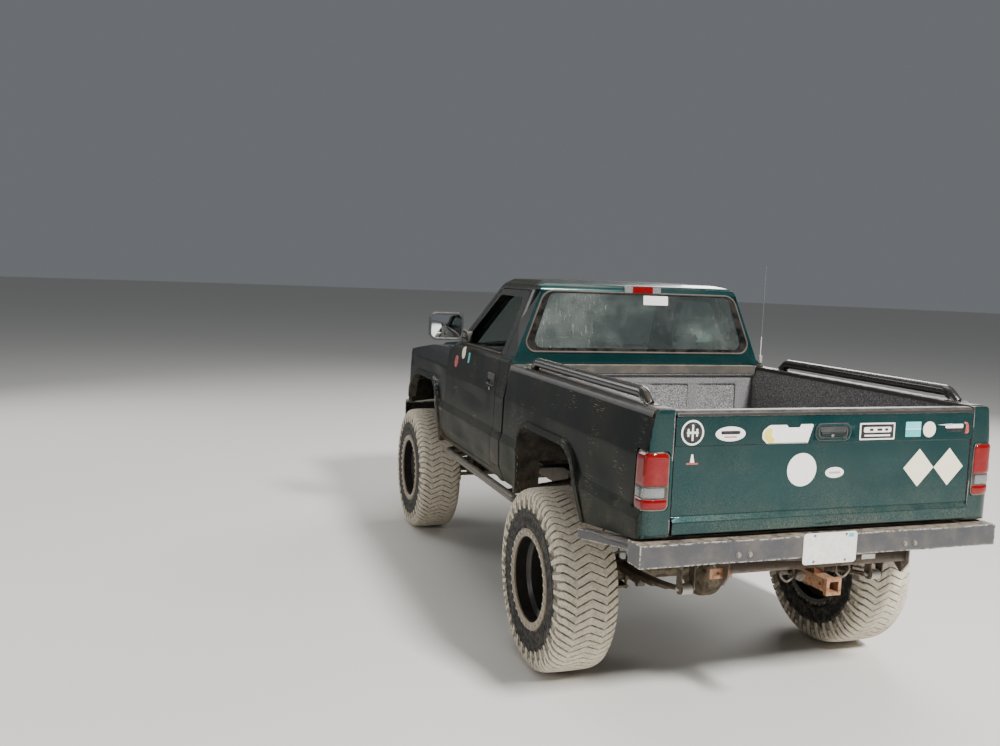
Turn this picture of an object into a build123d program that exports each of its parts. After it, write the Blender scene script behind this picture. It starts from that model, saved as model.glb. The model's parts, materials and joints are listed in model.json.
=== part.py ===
"""Lifted off-road pickup with a regular cab and a short bed, on flat ground at its ride height.

Frame: origin on the ground under the middle of the vehicle, +Z up, +X to the vehicle's left,
-Y towards its nose. Sizes are in millimetres.
"""

from build123d import *
from math import cos, hypot, radians, sin, sqrt, tan
import os

# Driving dimensions of the running gear
WHEELBASE = 3015
TRACK = 1870
TYRE_RADIUS = 508
TYRE_WIDTH = 343
BEAD_RADIUS = 254
BEADLOCK_RADIUS = 280
KINGPIN_X = 735
ARM_REACH = 170

# Driving dimensions of the body
REAR_OVERHANG = 1080
FRONT_OVERHANG = 965
HITCH_REACH = 90
BED_LENGTH = 1980
CAB_GAP = 30
BODY_HALF = 996
BED_RISE = 540
BED_DEPTH = 571
ROCKER_DROP = 198
BELT_RISE = 612
ROOF_RISE = 1132
BED_WALL = 153
TUB_HALF = 650
SIDE_LEAN = 290
HOOD_HALF = 662
DOOR_WALL = 128
WALL = 56
PANEL_GAP = 6
RAIL_HALF = 430
RAIL_WIDTH = 80

# Places worked out from the driving dimensions
AXLE_Z = TYRE_RADIUS
FRONT_AXLE_Y = (FRONT_OVERHANG - WHEELBASE - REAR_OVERHANG - HITCH_REACH) / 2
REAR_AXLE_Y = FRONT_AXLE_Y + WHEELBASE
TAIL_Y = REAR_AXLE_Y + REAR_OVERHANG
NOSE_Y = FRONT_AXLE_Y - FRONT_OVERHANG
BED_FRONT_Y = TAIL_Y - BED_LENGTH
CAB_BACK_Y = BED_FRONT_Y - CAB_GAP
FIREWALL_Y = FRONT_AXLE_Y + TYRE_RADIUS + 92
BED_Z = AXLE_Z + BED_RISE
BED_TOP_Z = BED_Z + BED_DEPTH
BED_INNER_HALF = BODY_HALF - BED_WALL
ROOF_HALF = BODY_HALF - SIDE_LEAN
BED_FLOOR_Z = BED_Z + 38
ROCKER_Z = BED_Z - ROCKER_DROP
FLOOR_Z = BED_Z - 100
BELT_Z = BED_Z + BELT_RISE
ROOF_Z = BED_Z + ROOF_RISE
DOOR_BOTTOM_Z = ROCKER_Z + 55
DOOR_FRONT_Y = FIREWALL_Y + 50
DOOR_REAR_Y = CAB_BACK_Y - 175
HINGE_X = BODY_HALF - 1
HINGE_Y = DOOR_FRONT_Y + 2
WHEEL_X = TRACK / 2
RAIL_OUT = RAIL_HALF + RAIL_WIDTH
SPRING_X = RAIL_OUT + 55
COIL_X = RAIL_OUT + 65

# The body's skin seen from the tail: inset from BODY_HALF, rise above BED_Z, corner radius
BODY_SKIN = [(46, -198, 20), (4, -88, 60), (0, 72, 30), (18, 127, 12), (24, 352, 150)]


def face(corners):
    """A flat face from corners (u, v, radius): straight sides with a tangent arc at each corner."""
    count = len(corners)
    points = [Vector(u, v) for u, v, radius in corners]
    starts, middles, ends = [], [], []
    for i, (u, v, radius) in enumerate(corners):
        corner = points[i]
        if radius == 0:
            starts.append(corner)
            middles.append(None)
            ends.append(corner)
            continue
        back = (points[i - 1] - corner).normalized()
        ahead = (points[(i + 1) % count] - corner).normalized()
        half = radians(back.get_angle(ahead)) / 2
        starts.append(corner + back * (radius / tan(half)))
        ends.append(corner + ahead * (radius / tan(half)))
        middles.append(corner + (back + ahead).normalized() * (radius / sin(half) - radius))
    edges = []
    for i in range(count):
        if middles[i] is not None:
            edges.append(ThreePointArc(starts[i], middles[i], ends[i]))
        following = starts[(i + 1) % count]
        if (following - ends[i]).length > 1e-6:
            edges.append(Line(ends[i], following))
    return make_face(edges)


def along_x(corners, x0, x1):
    """A side-view outline of (y, z, radius) corners, from x0 to x1."""
    return extrude(Plane.YZ.offset(x0) * face(corners), x1 - x0, dir=(1, 0, 0))


def along_y(corners, y0, y1):
    """A cross-section of (x, z, radius) corners, from y0 to y1."""
    plane = Plane(origin=(0, y0, 0), x_dir=(1, 0, 0), z_dir=(0, -1, 0))
    return extrude(plane * face(corners), y1 - y0, dir=(0, 1, 0))


def along_z(corners, z0, z1):
    """A plan outline of (x, y, radius) corners, from z0 to z1."""
    return extrude(Plane.XY.offset(z0) * face(corners), z1 - z0, dir=(0, 0, 1))


def block(x0, x1, y0, y1, z0, z1):
    """A box between two corners."""
    centre = Pos((x0 + x1) / 2, (y0 + y1) / 2, (z0 + z1) / 2)
    return centre * Box(x1 - x0, y1 - y0, z1 - z0)


def rod(start, end, radius):
    """A round bar between two points."""
    run = Vector(*end) - Vector(*start)
    return extrude(Plane(origin=start, z_dir=run.normalized()) * Circle(radius), run.length)


def tube_path(points, radius, bend):
    """A bent round bar through points, each bend a tangent arc."""
    line = FilletPolyline(*points, radius=bend)
    return sweep(Plane(origin=line @ 0, z_dir=line % 0) * Circle(radius), path=line)


def turned(profile, x=0, y=0, z=0):
    """A ring or disc about an X axis at (y, z), from (x, radius, corner radius) points."""
    flat = Plane.XY * face(profile)
    return Pos(x, y, z) * revolve(flat, Axis.X)


def other_side(shape):
    """The mirror image on the vehicle's right."""
    return mirror(shape, about=Plane.YZ)


def skin(proud=0):
    """The left body skin's corners, standing proud of the panel by that much."""
    return [(BODY_HALF - inset + proud, BED_Z + rise, r) for inset, rise, r in BODY_SKIN]


def both_sides(corners):
    """A closed symmetrical outline from its left half, bottom to top."""
    return corners + [(-x, z, r) for x, z, r in reversed(corners)]


def rear_arch(grow=0):
    """The rear wheel opening, trimmed ahead of the tyre, as side-view corners from its foot at the back."""
    back, ahead, top = REAR_AXLE_Y + TYRE_RADIUS, REAR_AXLE_Y - TYRE_RADIUS, BED_Z + 235
    return [
        (back - 34 + grow, ROCKER_Z - 60, 0),
        (back - 56 + grow, BED_Z - 110, 60),
        (back - 293 + grow, top + grow, 260 + grow),
        (ahead - 45 - grow, top + grow, 110 + grow),
        (ahead - 67 - grow, ROCKER_Z - 60, 0),
    ]


def front_arch(grow=0):
    """The front wheel opening, trimmed for the turned tyre, as side-view corners from its rear foot."""
    back, ahead, top = FRONT_AXLE_Y + TYRE_RADIUS, FRONT_AXLE_Y - TYRE_RADIUS, BED_Z + 252
    return [
        (back + 84 + grow, ROCKER_Z - 60, 0),
        (back + 67 + grow, BED_Z - 130, 80),
        (back - 163 + grow, top + grow, 240 + grow),
        (ahead + 128 - grow, top + grow, 260 + grow),
        (ahead - 52 - grow, BED_Z - 60, 80),
        (ahead - 67 - grow, ROCKER_Z - 60, 0),
    ]


# Load bed
LAMP_Z0, LAMP_Z1 = BED_Z + 114, BED_TOP_Z - 187
LAMP_INNER_X = BED_INNER_HALF + 13
LAMP_DEPTH = 105
LAMP_THICK = 46
CORNER_RADIUS = 95
TAILGATE_HALF = BED_INNER_HALF - 7


def bed_plan(inset=0):
    """The bed's left half in plan, with the rounded tail corner."""
    x, y = BODY_HALF + 20 - inset, TAIL_Y - inset
    front = BED_FRONT_Y - inset
    return [(500, front, 0), (x, front, 0), (x, y, CORNER_RADIUS - inset), (500, y, 0)]


def lamp_block(gap=0):
    """The space of a tail lamp: the corner of the bed between two depths of its skin."""
    window = along_y(
        [
            (LAMP_INNER_X - gap, LAMP_Z0 - gap, 22),
            (BODY_HALF + 40, LAMP_Z0 - gap, 0),
            (BODY_HALF + 40, LAMP_Z1 + gap, 0),
            (LAMP_INNER_X - gap, LAMP_Z1 + gap, 22),
        ],
        TAIL_Y - LAMP_DEPTH - gap,
        TAIL_Y + 20,
    )
    return window - along_z(bed_plan(LAMP_THICK + 20 + gap), LAMP_Z0 - 50, LAMP_Z1 + 50)


def bed_side():
    """Left bed side: skin, inner wall and the wheel tub, with the torn-open arch and the lamp's recess."""
    section = [(BED_INNER_HALF, ROCKER_Z, 0)] + skin()
    section += [(BODY_HALF - 62, BED_TOP_Z, 26), (BED_INNER_HALF, BED_TOP_Z, 5)]
    wall = along_y(section, BED_FRONT_Y, TAIL_Y)
    profile = [
        (BED_FRONT_Y, ROCKER_Z, 0),
        (REAR_AXLE_Y - 400, ROCKER_Z, 0),
        (REAR_AXLE_Y + 465, BED_Z - 98, 0),
        (TAIL_Y, BED_Z - 12, 24),
        (TAIL_Y, BED_TOP_Z + 30, 0),
        (BED_FRONT_Y, BED_TOP_Z + 30, 0),
    ]
    wall = wall & along_x(profile, BED_INNER_HALF - 10, BODY_HALF + 30)
    wall = wall & along_z(bed_plan(), ROCKER_Z - 10, BED_TOP_Z + 10)
    lip = [(BED_INNER_HALF + 60, ROCKER_Z + 4, 0), (BODY_HALF + 2, ROCKER_Z + 4, 0)]
    lip += [(BODY_HALF + 9, BED_Z + 72, 30), (BODY_HALF - 11, BED_Z + 276, 8)]
    lip += [(BED_INNER_HALF + 60, BED_Z + 290, 0)]
    ends = BED_FRONT_Y + 60, REAR_AXLE_Y + TYRE_RADIUS + 7
    flare = along_y(lip, *ends) & along_x(rear_arch(38), BED_INNER_HALF, BODY_HALF + 40)
    flare = flare & along_x(profile, BED_INNER_HALF, BODY_HALF + 40)
    tub = along_x(rear_arch(10), TUB_HALF, BED_INNER_HALF + 20)
    tub = tub & block(0, BODY_HALF, BED_FRONT_Y, TAIL_Y, BED_FLOOR_Z - 30, BED_TOP_Z)
    side = wall + flare + tub - along_x(rear_arch(), TUB_HALF + 10, BODY_HALF + 60)
    return side - lamp_block(1)


def tail_lamp():
    """Left tail lamp, wrapped round the bed's corner and standing 4 mm proud of its skin."""
    shell = along_z([(x, y, r) for x, y, r in bed_plan(-4)], LAMP_Z0 - 5, LAMP_Z1 + 5)
    section = [(LAMP_INNER_X - 50, LAMP_Z0 - 40, 0)] + skin(4) + [(LAMP_INNER_X - 50, LAMP_Z1 + 60, 0)]
    return lamp_block() & shell & along_y(section, TAIL_Y - 200, TAIL_Y + 20)


BED_SILL_YS = [BED_FRONT_Y + 150, REAR_AXLE_Y - 330, REAR_AXLE_Y + 500, TAIL_Y - 145]


def bed_floor():
    """Ribbed floor between the bed sides, notched round the wheel tubs, on four cross sills."""
    rib_count, rib_width, rib_height = 11, 74, 12
    pitch = 2 * BED_INNER_HALF / rib_count
    top = []
    for i in range(rib_count):
        middle = -BED_INNER_HALF + pitch * (i + 0.5)
        near, far = middle - rib_width / 2, middle + rib_width / 2
        top += [(near - 8, BED_FLOOR_Z, 0), (near, BED_FLOOR_Z + rib_height, 0)]
        top += [(far, BED_FLOOR_Z + rib_height, 0), (far + 8, BED_FLOOR_Z, 0)]
    section = [(-BED_INNER_HALF, BED_FLOOR_Z, 0)] + top + [(BED_INNER_HALF, BED_FLOOR_Z, 0)]
    section += [(BED_INNER_HALF, BED_FLOOR_Z - 14, 0), (-BED_INNER_HALF, BED_FLOOR_Z - 14, 0)]
    floor = along_y(section, BED_FRONT_Y + 40, TAIL_Y - 80)
    for y in BED_SILL_YS:
        floor += block(-BED_INNER_HALF + 70, BED_INNER_HALF - 70, y, y + 62, BED_Z - 42, BED_FLOOR_Z - 10)
    notch = along_x(rear_arch(10), TUB_HALF, BED_INNER_HALF + 5)
    return floor - notch - other_side(notch)


def bed_front_wall():
    """Bulkhead at the front of the bed, with a top rail and pressed panels."""
    y = BED_FRONT_Y
    wall = along_x(
        [
            (y, BED_Z, 0),
            (y + 40, BED_Z, 0),
            (y + 40, BED_TOP_Z - 70, 10),
            (y + 66, BED_TOP_Z - 60, 8),
            (y + 66, BED_TOP_Z - 4, 10),
            (y, BED_TOP_Z - 4, 10),
        ],
        -BED_INNER_HALF,
        BED_INNER_HALF,
    )
    panel_half, low, high = 150, BED_Z + 110, BED_TOP_Z - 120
    for middle in (-560, -187, 187, 560):
        near, far = middle - panel_half, middle + panel_half
        corners = [(near, low, 20), (far, low, 20), (far, high, 20), (near, high, 20)]
        wall -= along_y(corners, y + 28, y + 50)
    return wall


TAILGATE_THICK = 62
HANDLE_Z0, HANDLE_Z1 = BED_TOP_Z - 153, BED_TOP_Z - 75
HANDLE_HALF = 98


def tailgate():
    """Tailgate: a crowned top edge, an upper band over a crease, a lower lip and the handle's recess."""
    y, z, top = TAIL_Y, BED_Z, BED_TOP_Z
    profile = [
        (y - TAILGATE_THICK, z + 2, 6),
        (y + 11, z + 2, 6),
        (y + 14, z + 60, 14),
        (y - 4, z + 84, 14),
        (y - 5, top - 169, 2),
        (y + 2, top - 162, 2),
        (y, top - 23, 16),
        (y - 14, top - 8, 8),
        (y - TAILGATE_THICK, top - 8, 10),
    ]
    gate = along_x(profile, -TAILGATE_HALF, TAILGATE_HALF)
    recess = both_sides([(HANDLE_HALF, HANDLE_Z0, 34), (HANDLE_HALF, HANDLE_Z1, 34)])
    gate -= along_y(recess, y - 20, y + 20)
    panel = both_sides([(TAILGATE_HALF - 136, z + 90, 30), (TAILGATE_HALF - 136, top - 91, 30)])
    return gate - along_y(panel, y - TAILGATE_THICK - 2, y - TAILGATE_THICK + 8)


def tailgate_handle():
    """Bezel and paddle in the tailgate's recess."""
    half, low, high = HANDLE_HALF, HANDLE_Z0, HANDLE_Z1
    rim = both_sides([(half - 1, low + 1, 33), (half - 1, high - 1, 33)])
    hole = both_sides([(half - 14, low + 12, 22), (half - 14, high - 12, 22)])
    bezel = along_y(rim, TAIL_Y - 20, TAIL_Y + 6) - along_y(hole, TAIL_Y - 14, TAIL_Y + 10)
    paddle = both_sides([(half - 32, low + 20, 8), (half - 32, high - 18, 8)])
    return bezel + along_y(paddle, TAIL_Y - 15, TAIL_Y + 2)


def bed_rail():
    """Left tubular rail on the bed side, bent down to a foot at each end."""
    x, z, rise, slope = BED_INNER_HALF + 46, BED_TOP_Z, 50, 62
    front, rear = BED_FRONT_Y + 300, TAIL_Y - 165
    radius = 24
    points = [(x, front, z), (x, front + slope, z + rise), (x, rear - slope, z + rise), (x, rear, z)]
    bar = tube_path(points, radius, 60)
    bar = bar & block(x - 60, x + 60, front - 80, rear + 80, z + 4, z + 200)
    for y in (front, rear):
        bar += Pos(x, y, z + 3) * Box(76, 96, 6)
    return bar


SEAT = 0.3
RAIL_END_Y = TAIL_Y - 90
BUMPER_TOP_Z = BED_Z - 30
BUMPER_HEIGHT = 105
BUMPER_HALF = BODY_HALF + 8
BUMPER_FACE_Y = TAIL_Y + 40


def rear_bumper():
    """Steel channel across the tail, welded to arms that run forward along the bed sides and flare out."""
    top, bottom, plate, depth = BUMPER_TOP_Z, BUMPER_TOP_Z - BUMPER_HEIGHT, 6, 118
    front = BUMPER_FACE_Y - depth
    bar = block(-BUMPER_HALF, BUMPER_HALF, front, BUMPER_FACE_Y, bottom, top)
    inside = BUMPER_HALF - plate
    bar -= block(-inside, inside, front - 1, BUMPER_FACE_Y - plate, bottom + plate, top - plate)
    reach, flare, fall, width, height, weld = 416, 70, 62, 58, 50, 20
    end_y = front - reach
    plan = [
        (BUMPER_HALF - width, front + weld, 0),
        (BUMPER_HALF - 1, front + weld, 0),
        (BUMPER_HALF - 1, front, 0),
        (BUMPER_HALF + flare, end_y, 8),
        (BUMPER_HALF + flare - width, end_y - 6, 8),
        (BUMPER_HALF - width, front, 0),
    ]
    low, high = top - height, top - 3
    side = [(front + weld, low, 0), (front + weld, high, 0), (front, high, 0)]
    side += [(end_y - 20, top - fall, 0), (end_y - 20, top - fall - height, 0), (front, low, 0)]
    arm = along_z(plan, bottom - 100, top + 10) & along_x(side, BUMPER_HALF - 200, BUMPER_HALF + 200)
    back = BUMPER_FACE_Y - plate / 2
    bracket = block(RAIL_HALF + 10, RAIL_OUT - 10, RAIL_END_Y + SEAT, back, bottom + plate / 2, BED_Z - 50)
    return bar + arm + other_side(arm) + bracket + other_side(bracket)


HITCH_Z = BED_Z - 178
RECEIVER_Z = HITCH_Z - 92
RECEIVER_MOUTH_Y = TAIL_Y + HITCH_REACH
RECEIVER_BORE = 51
RECEIVER_OUT = 64
PIN_HOLE_R = 8.2
PIN_HOLE_Y = RECEIVER_MOUTH_Y - 62


def hitch_receiver():
    """Receiver hitch: a cross tube between two side plates, and the receiver under it with its pin hole."""
    half, tube = RAIL_OUT + SEAT, 64
    tube_y = RAIL_END_Y + tube / 2 + 2
    z = HITCH_Z
    cross = block(-half, half, tube_y - tube / 2, tube_y + tube / 2, z - tube / 2, z + tube / 2)
    plate = [(tube_y - 95, z + 40, 6), (tube_y + 50, z + 40, 6), (tube_y + 50, z - 40, 6)]
    plate += [(tube_y + 5, z - 100, 8), (tube_y - 95, z - 20, 6)]
    for x in (-half - 10, half):
        cross += along_x(plate, x, x + 10)
    half_out, half_in = RECEIVER_OUT / 2, RECEIVER_BORE / 2
    back = tube_y - 110
    body = block(-half_out, half_out, back, RECEIVER_MOUTH_Y, RECEIVER_Z - half_out, RECEIVER_Z + half_out)
    collar, mouth, z = half_out + 9, RECEIVER_MOUTH_Y, RECEIVER_Z
    body += block(-collar, collar, mouth - 22, mouth, z - collar, z + collar)
    body += block(-26, 26, tube_y - 30, tube_y + 30, z + half_out - 2, HITCH_Z - tube / 2 + 2)
    cross += body
    cross -= block(-half_in, half_in, back - 1, mouth + 1, z - half_in, z + half_in)
    return cross - rod((-200, PIN_HOLE_Y, RECEIVER_Z), (200, PIN_HOLE_Y, RECEIVER_Z), PIN_HOLE_R)


# Cab
BOW_RADIUS = 3200
CAB_FRONT_WALL = 40
SCREEN_RISE, SCREEN_RUN = 508, 560
SCREEN_FOOT_Z = BELT_Z - 40
FLOOR_THICK = 20
POST_NOTCH = 70


DOOR_SHOULDER = (BODY_HALF - 58, BELT_Z - 18)


def cab_section(outer):
    """The cab's cross-section, outside or inside."""
    if outer:
        left = skin() + [(*DOOR_SHOULDER, 40), (BODY_HALF - 90, BELT_Z, 16)]
        left += [(ROOF_HALF + 12, ROOF_Z - 52, 46), (ROOF_HALF - 60, ROOF_Z - 12, 60), (60, ROOF_Z, 0)]
        return both_sides(left)
    inner = BODY_HALF - DOOR_WALL
    left = [(inner, FLOOR_Z, 0), (inner, BELT_Z - 20, 20), (inner - 16, BELT_Z + 6, 16)]
    left += [(ROOF_HALF - WALL + 8, ROOF_Z - 82, 40), (ROOF_HALF - 110, ROOF_Z - 50, 50)]
    left += [(60, ROOF_Z - 42, 0)]
    return both_sides(left)


REAR_LEAN, REAR_LEAN_RISE = -36, ROOF_Z - 34 - BELT_Z - 40


def cab_profile(outer):
    """The cab seen from the side, outside or inside, with its front face left to cab_front."""
    back, front = CAB_BACK_Y, FIREWALL_Y - 200
    if outer:
        return [
            (front, ROCKER_Z, 0),
            (front, ROOF_Z - 2, 0),
            (back - 320, ROOF_Z - 2, 900),
            (back + REAR_LEAN, BELT_Z + 40 + REAR_LEAN_RISE, 60),
            (back, BELT_Z + 40, 300),
            (back, ROCKER_Z, 0),
        ]
    return [
        (front, FLOOR_Z, 0),
        (front, ROOF_Z - 44, 0),
        (back - 340, ROOF_Z - 44, 0),
        (back - WALL + REAR_LEAN, BELT_Z - 2 + REAR_LEAN_RISE, 30),
        (back - WALL, BELT_Z + 40, 0),
        (back - WALL, FLOOR_Z, 0),
    ]


def bowed(outline):
    """A side-view outline of (y, z) points, turned about a far upright axis so that its front is bowed."""
    axis_y = FIREWALL_Y + BOW_RADIUS
    plane = Plane(origin=(0, axis_y, 0), x_dir=(0, 1, 0), z_dir=(1, 0, 0))
    flat = plane * face([(axis_y - y, z, 0) for y, z in outline])
    return revolve(flat, Axis((0, axis_y, 0), (0, 0, 1)))


def cab_front(setback):
    """Everything behind the cab's front, set back: a flat firewall, then the windscreen's bowed slope."""
    slope = hypot(SCREEN_RISE, SCREEN_RUN) / SCREEN_RISE
    foot_z, high = SCREEN_FOOT_Z, ROOF_Z + 20
    run = SCREEN_RUN * (high - foot_z) / SCREEN_RISE
    foot_y = FIREWALL_Y + setback * slope
    axis_y = FIREWALL_Y + BOW_RADIUS
    above = [(axis_y, foot_z), (foot_y, foot_z), (foot_y + run, high), (axis_y, high)]
    wide, back = BODY_HALF + 50, CAB_BACK_Y + 20
    low = block(-wide, wide, FIREWALL_Y + setback, back, ROCKER_Z - 10, foot_z)
    return low + (bowed(above) & block(-wide, wide, FIREWALL_Y, back, foot_z, high))


def screen_plane():
    """The windscreen's plane at the middle of the cab, u to the left, v up the slope."""
    normal = (0, -SCREEN_RISE, SCREEN_RUN)
    return Plane(origin=(0, FIREWALL_Y, SCREEN_FOOT_Z), x_dir=(1, 0, 0), z_dir=normal)


def screen_hole(shrink):
    """The windscreen's opening, cut square to the glass."""
    length = hypot(SCREEN_RISE, SCREEN_RUN)
    foot, head = BODY_HALF - 196, ROOF_HALF - 88
    corners = [(foot, 26, 70), (head, length - 34, 70), (-head, length - 34, 70), (-foot, 26, 70)]
    outline = offset(face(corners), -shrink) if shrink else face(corners)
    return extrude(screen_plane() * outline, BODY_HALF / 5, both=True)


REAR_GLASS_FOOT = (BODY_HALF - 200, BELT_Z + 58)
REAR_GLASS_HEAD = (ROOF_HALF - 34, ROOF_Z - 84)


def rear_glass_hole(shrink):
    """The rear window's opening through the cab's back wall."""
    (foot, low), (head, high) = REAR_GLASS_FOOT, REAR_GLASS_HEAD
    corners = both_sides([(foot - shrink, low + shrink, 60), (head - shrink, high - shrink, 70)])
    return along_y(corners, CAB_BACK_Y - 150, CAB_BACK_Y + 30)


PILLAR_FOOT_Y = FIREWALL_Y + BODY_HALF**2 / (2 * BOW_RADIUS) + 80
PILLAR_HEAD_Y = FIREWALL_Y + ROOF_HALF**2 / (2 * BOW_RADIUS) + 607


def door_space(gap):
    """The space of the left door. Its rear edge is a cylinder about the hinge, so it swings clear."""
    front, bottom, top = DOOR_FRONT_Y - gap, DOOR_BOTTOM_Z - gap, ROOF_Z - 88 + gap
    outline = [
        (front, bottom, 60),
        (front, BELT_Z - 60, 30),
        (PILLAR_FOOT_Y - gap, BELT_Z - 30, 20),
        (PILLAR_HEAD_Y - gap, top, 70),
        (DOOR_REAR_Y + 60, top, 0),
        (DOOR_REAR_Y + 60, bottom, 0),
    ]
    inner, wide = BODY_HALF - DOOR_WALL - 1, BODY_HALF + 60
    band = [(inner, bottom - 1, 0), (wide, bottom - 1, 0), (wide, top + 1, 0)]
    band += [(ROOF_HALF - 170, top + 1, 0), (inner, BELT_Z - 120, 0)]
    radius = DOOR_REAR_Y - HINGE_Y + gap
    swing = Pos(HINGE_X, HINGE_Y, bottom) * extrude(Circle(radius), top - bottom)
    return along_x(outline, 400, wide) & along_y(band, front - 10, DOOR_REAR_Y + 60) & swing


def window_space(shrink):
    """The opening for the left door's glass."""
    front, sill, top = PILLAR_FOOT_Y + 66, BELT_Z + 10, ROOF_Z - 132
    head = PILLAR_HEAD_Y + 66 - 0.93 * (ROOF_Z - 88 - top)
    outline = [
        (front + shrink, sill + shrink, 30),
        (head + shrink, top - shrink, 60),
        (DOOR_REAR_Y - 116 - shrink, top - shrink, 50),
        (DOOR_REAR_Y - 86 - shrink, sill + shrink, 30),
    ]
    return along_x(outline, 400, BODY_HALF + 60)


def cab_outside():
    """The cab's closed outer form."""
    body = along_y(cab_section(True), FIREWALL_Y - 150, CAB_BACK_Y + 10)
    return body & along_x(cab_profile(True), -BODY_HALF - 10, BODY_HALF + 10) & cab_front(0)


def cab_inside():
    """The hollow inside the cab."""
    body = along_y(cab_section(False), FIREWALL_Y - 150, CAB_BACK_Y)
    return body & along_x(cab_profile(False), -BODY_HALF, BODY_HALF) & cab_front(CAB_FRONT_WALL)


def cab_pieces():
    """The cab's welded shell, cut where its panels meet, and the two glasses set in it."""
    outside, inside = cab_outside(), cab_inside()
    wide, top = BODY_HALF + 20, ROOF_Z + 20
    under = BODY_HALF - DOOR_WALL - 24
    shell = outside - inside
    shell -= block(-under, under, FIREWALL_Y - 20, CAB_BACK_Y + 20, ROCKER_Z - 20, FLOOR_Z - FLOOR_THICK)
    doorway, notch_top = door_space(PANEL_GAP), FENDER_TOP_Z + PANEL_GAP
    notch = block(BODY_HALF - POST_NOTCH, wide, FIREWALL_Y - 20, DOOR_FRONT_Y, ROCKER_Z - 20, notch_top)
    for cut in (doorway, notch):
        shell -= cut
        shell -= other_side(cut)
    shell -= screen_hole(0)
    shell -= rear_glass_hole(0)
    roof_split, rear_split = BELT_Z - 60, DOOR_REAR_Y - 30
    low = block(-wide, wide, FIREWALL_Y - 20, CAB_BACK_Y + 20, ROCKER_Z - 20, FLOOR_Z)
    back = block(-wide, wide, rear_split, CAB_BACK_Y + 20, FLOOR_Z, top)
    roof = block(-wide, wide, FIREWALL_Y - 20, rear_split, roof_split, top)
    front = block(-wide, wide, FIREWALL_Y - 20, rear_split, FLOOR_Z, roof_split)
    screen = (cab_front(8) - cab_front(14)) & screen_hole(1) & outside
    square = Vector(1, 0, 0).cross(Vector(0, REAR_LEAN, REAR_LEAN_RISE).normalized())
    plane = Plane(origin=(0, CAB_BACK_Y - 30, BELT_Z + 40), x_dir=(1, 0, 0), z_dir=square)
    pane = extrude(plane * Rectangle(2400, 1400), 5)
    return {
        "cab_floor": [shell & low, seat_riser()],
        "cab_back_wall": shell & back,
        "cab_roof": shell & roof,
        "firewall": shell & front,
        "cab_glass": [screen, pane & rear_glass_hole(1)],
    }


DOOR_HANDLE_DROP = 174
DOOR_HANDLE_LENGTH = 158
DOOR_HANDLE_HALF = 31


def skin_slab(front, back, low, high, under, over):
    """A slab in the left door's leaning upper skin, from that far under it to that far over it."""
    shoulder_inset, shoulder_rise, _ = BODY_SKIN[-1]
    foot, head = (BODY_HALF - shoulder_inset, BED_Z + shoulder_rise), DOOR_SHOULDER
    lean = (foot[0] - head[0]) / (head[1] - foot[1])
    low_x, high_x = head[0] + lean * (head[1] - low), head[0] + lean * (head[1] - high)
    band = [(low_x - under, low, 0), (low_x + over, low, 0)]
    band += [(high_x + over, high, 0), (high_x - under, high, 0)]
    return along_y(band, front, back)


def door():
    """Left door: the whole thickness of the cab's side, with its window and its handle's cup cut."""
    wall = cab_outside() - cab_inside()
    back, middle = DOOR_REAR_Y - 56, BELT_Z - DOOR_HANDLE_DROP
    front, low, high = back - DOOR_HANDLE_LENGTH, middle - DOOR_HANDLE_HALF, middle + DOOR_HANDLE_HALF
    outline = [(front, low, 16), (back, low, 16), (back, high, 16), (front, high, 16)]
    cup = skin_slab(front, back, low, high, 17, 30) & along_x(outline, 800, BODY_HALF + 40)
    flap_low, root = middle - 4, high + 3
    flap = [(front + 9, flap_low, 8), (back - 9, flap_low, 8), (back - 9, root, 0), (front + 9, root, 0)]
    pull = skin_slab(front, back, flap_low, root, 8, 2) & along_x(flap, 800, BODY_HALF + 40)
    return (wall & door_space(0)) - window_space(0) - cup + pull


def door_glass():
    """Left door's glass, leaning in with the cab's side."""
    lean = (BODY_HALF - 90) - (ROOF_HALF + 12)
    rise = ROOF_Z - 52 - BELT_Z
    inset, thick, low, high = 34, 5, -40, rise + 20
    foot = BODY_HALF - 90 - inset
    band = [
        (foot - lean * low / rise, BELT_Z + low, 0),
        (foot - thick - lean * low / rise, BELT_Z + low, 0),
        (foot - thick - lean * high / rise, BELT_Z + high, 0),
        (foot - lean * high / rise, BELT_Z + high, 0),
    ]
    return along_y(band, DOOR_FRONT_Y, DOOR_REAR_Y) & window_space(0.5)


MIRROR_X, MIRROR_Y, MIRROR_Z = BODY_HALF + 86, DOOR_FRONT_Y + 350, BELT_Z + 135


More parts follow.
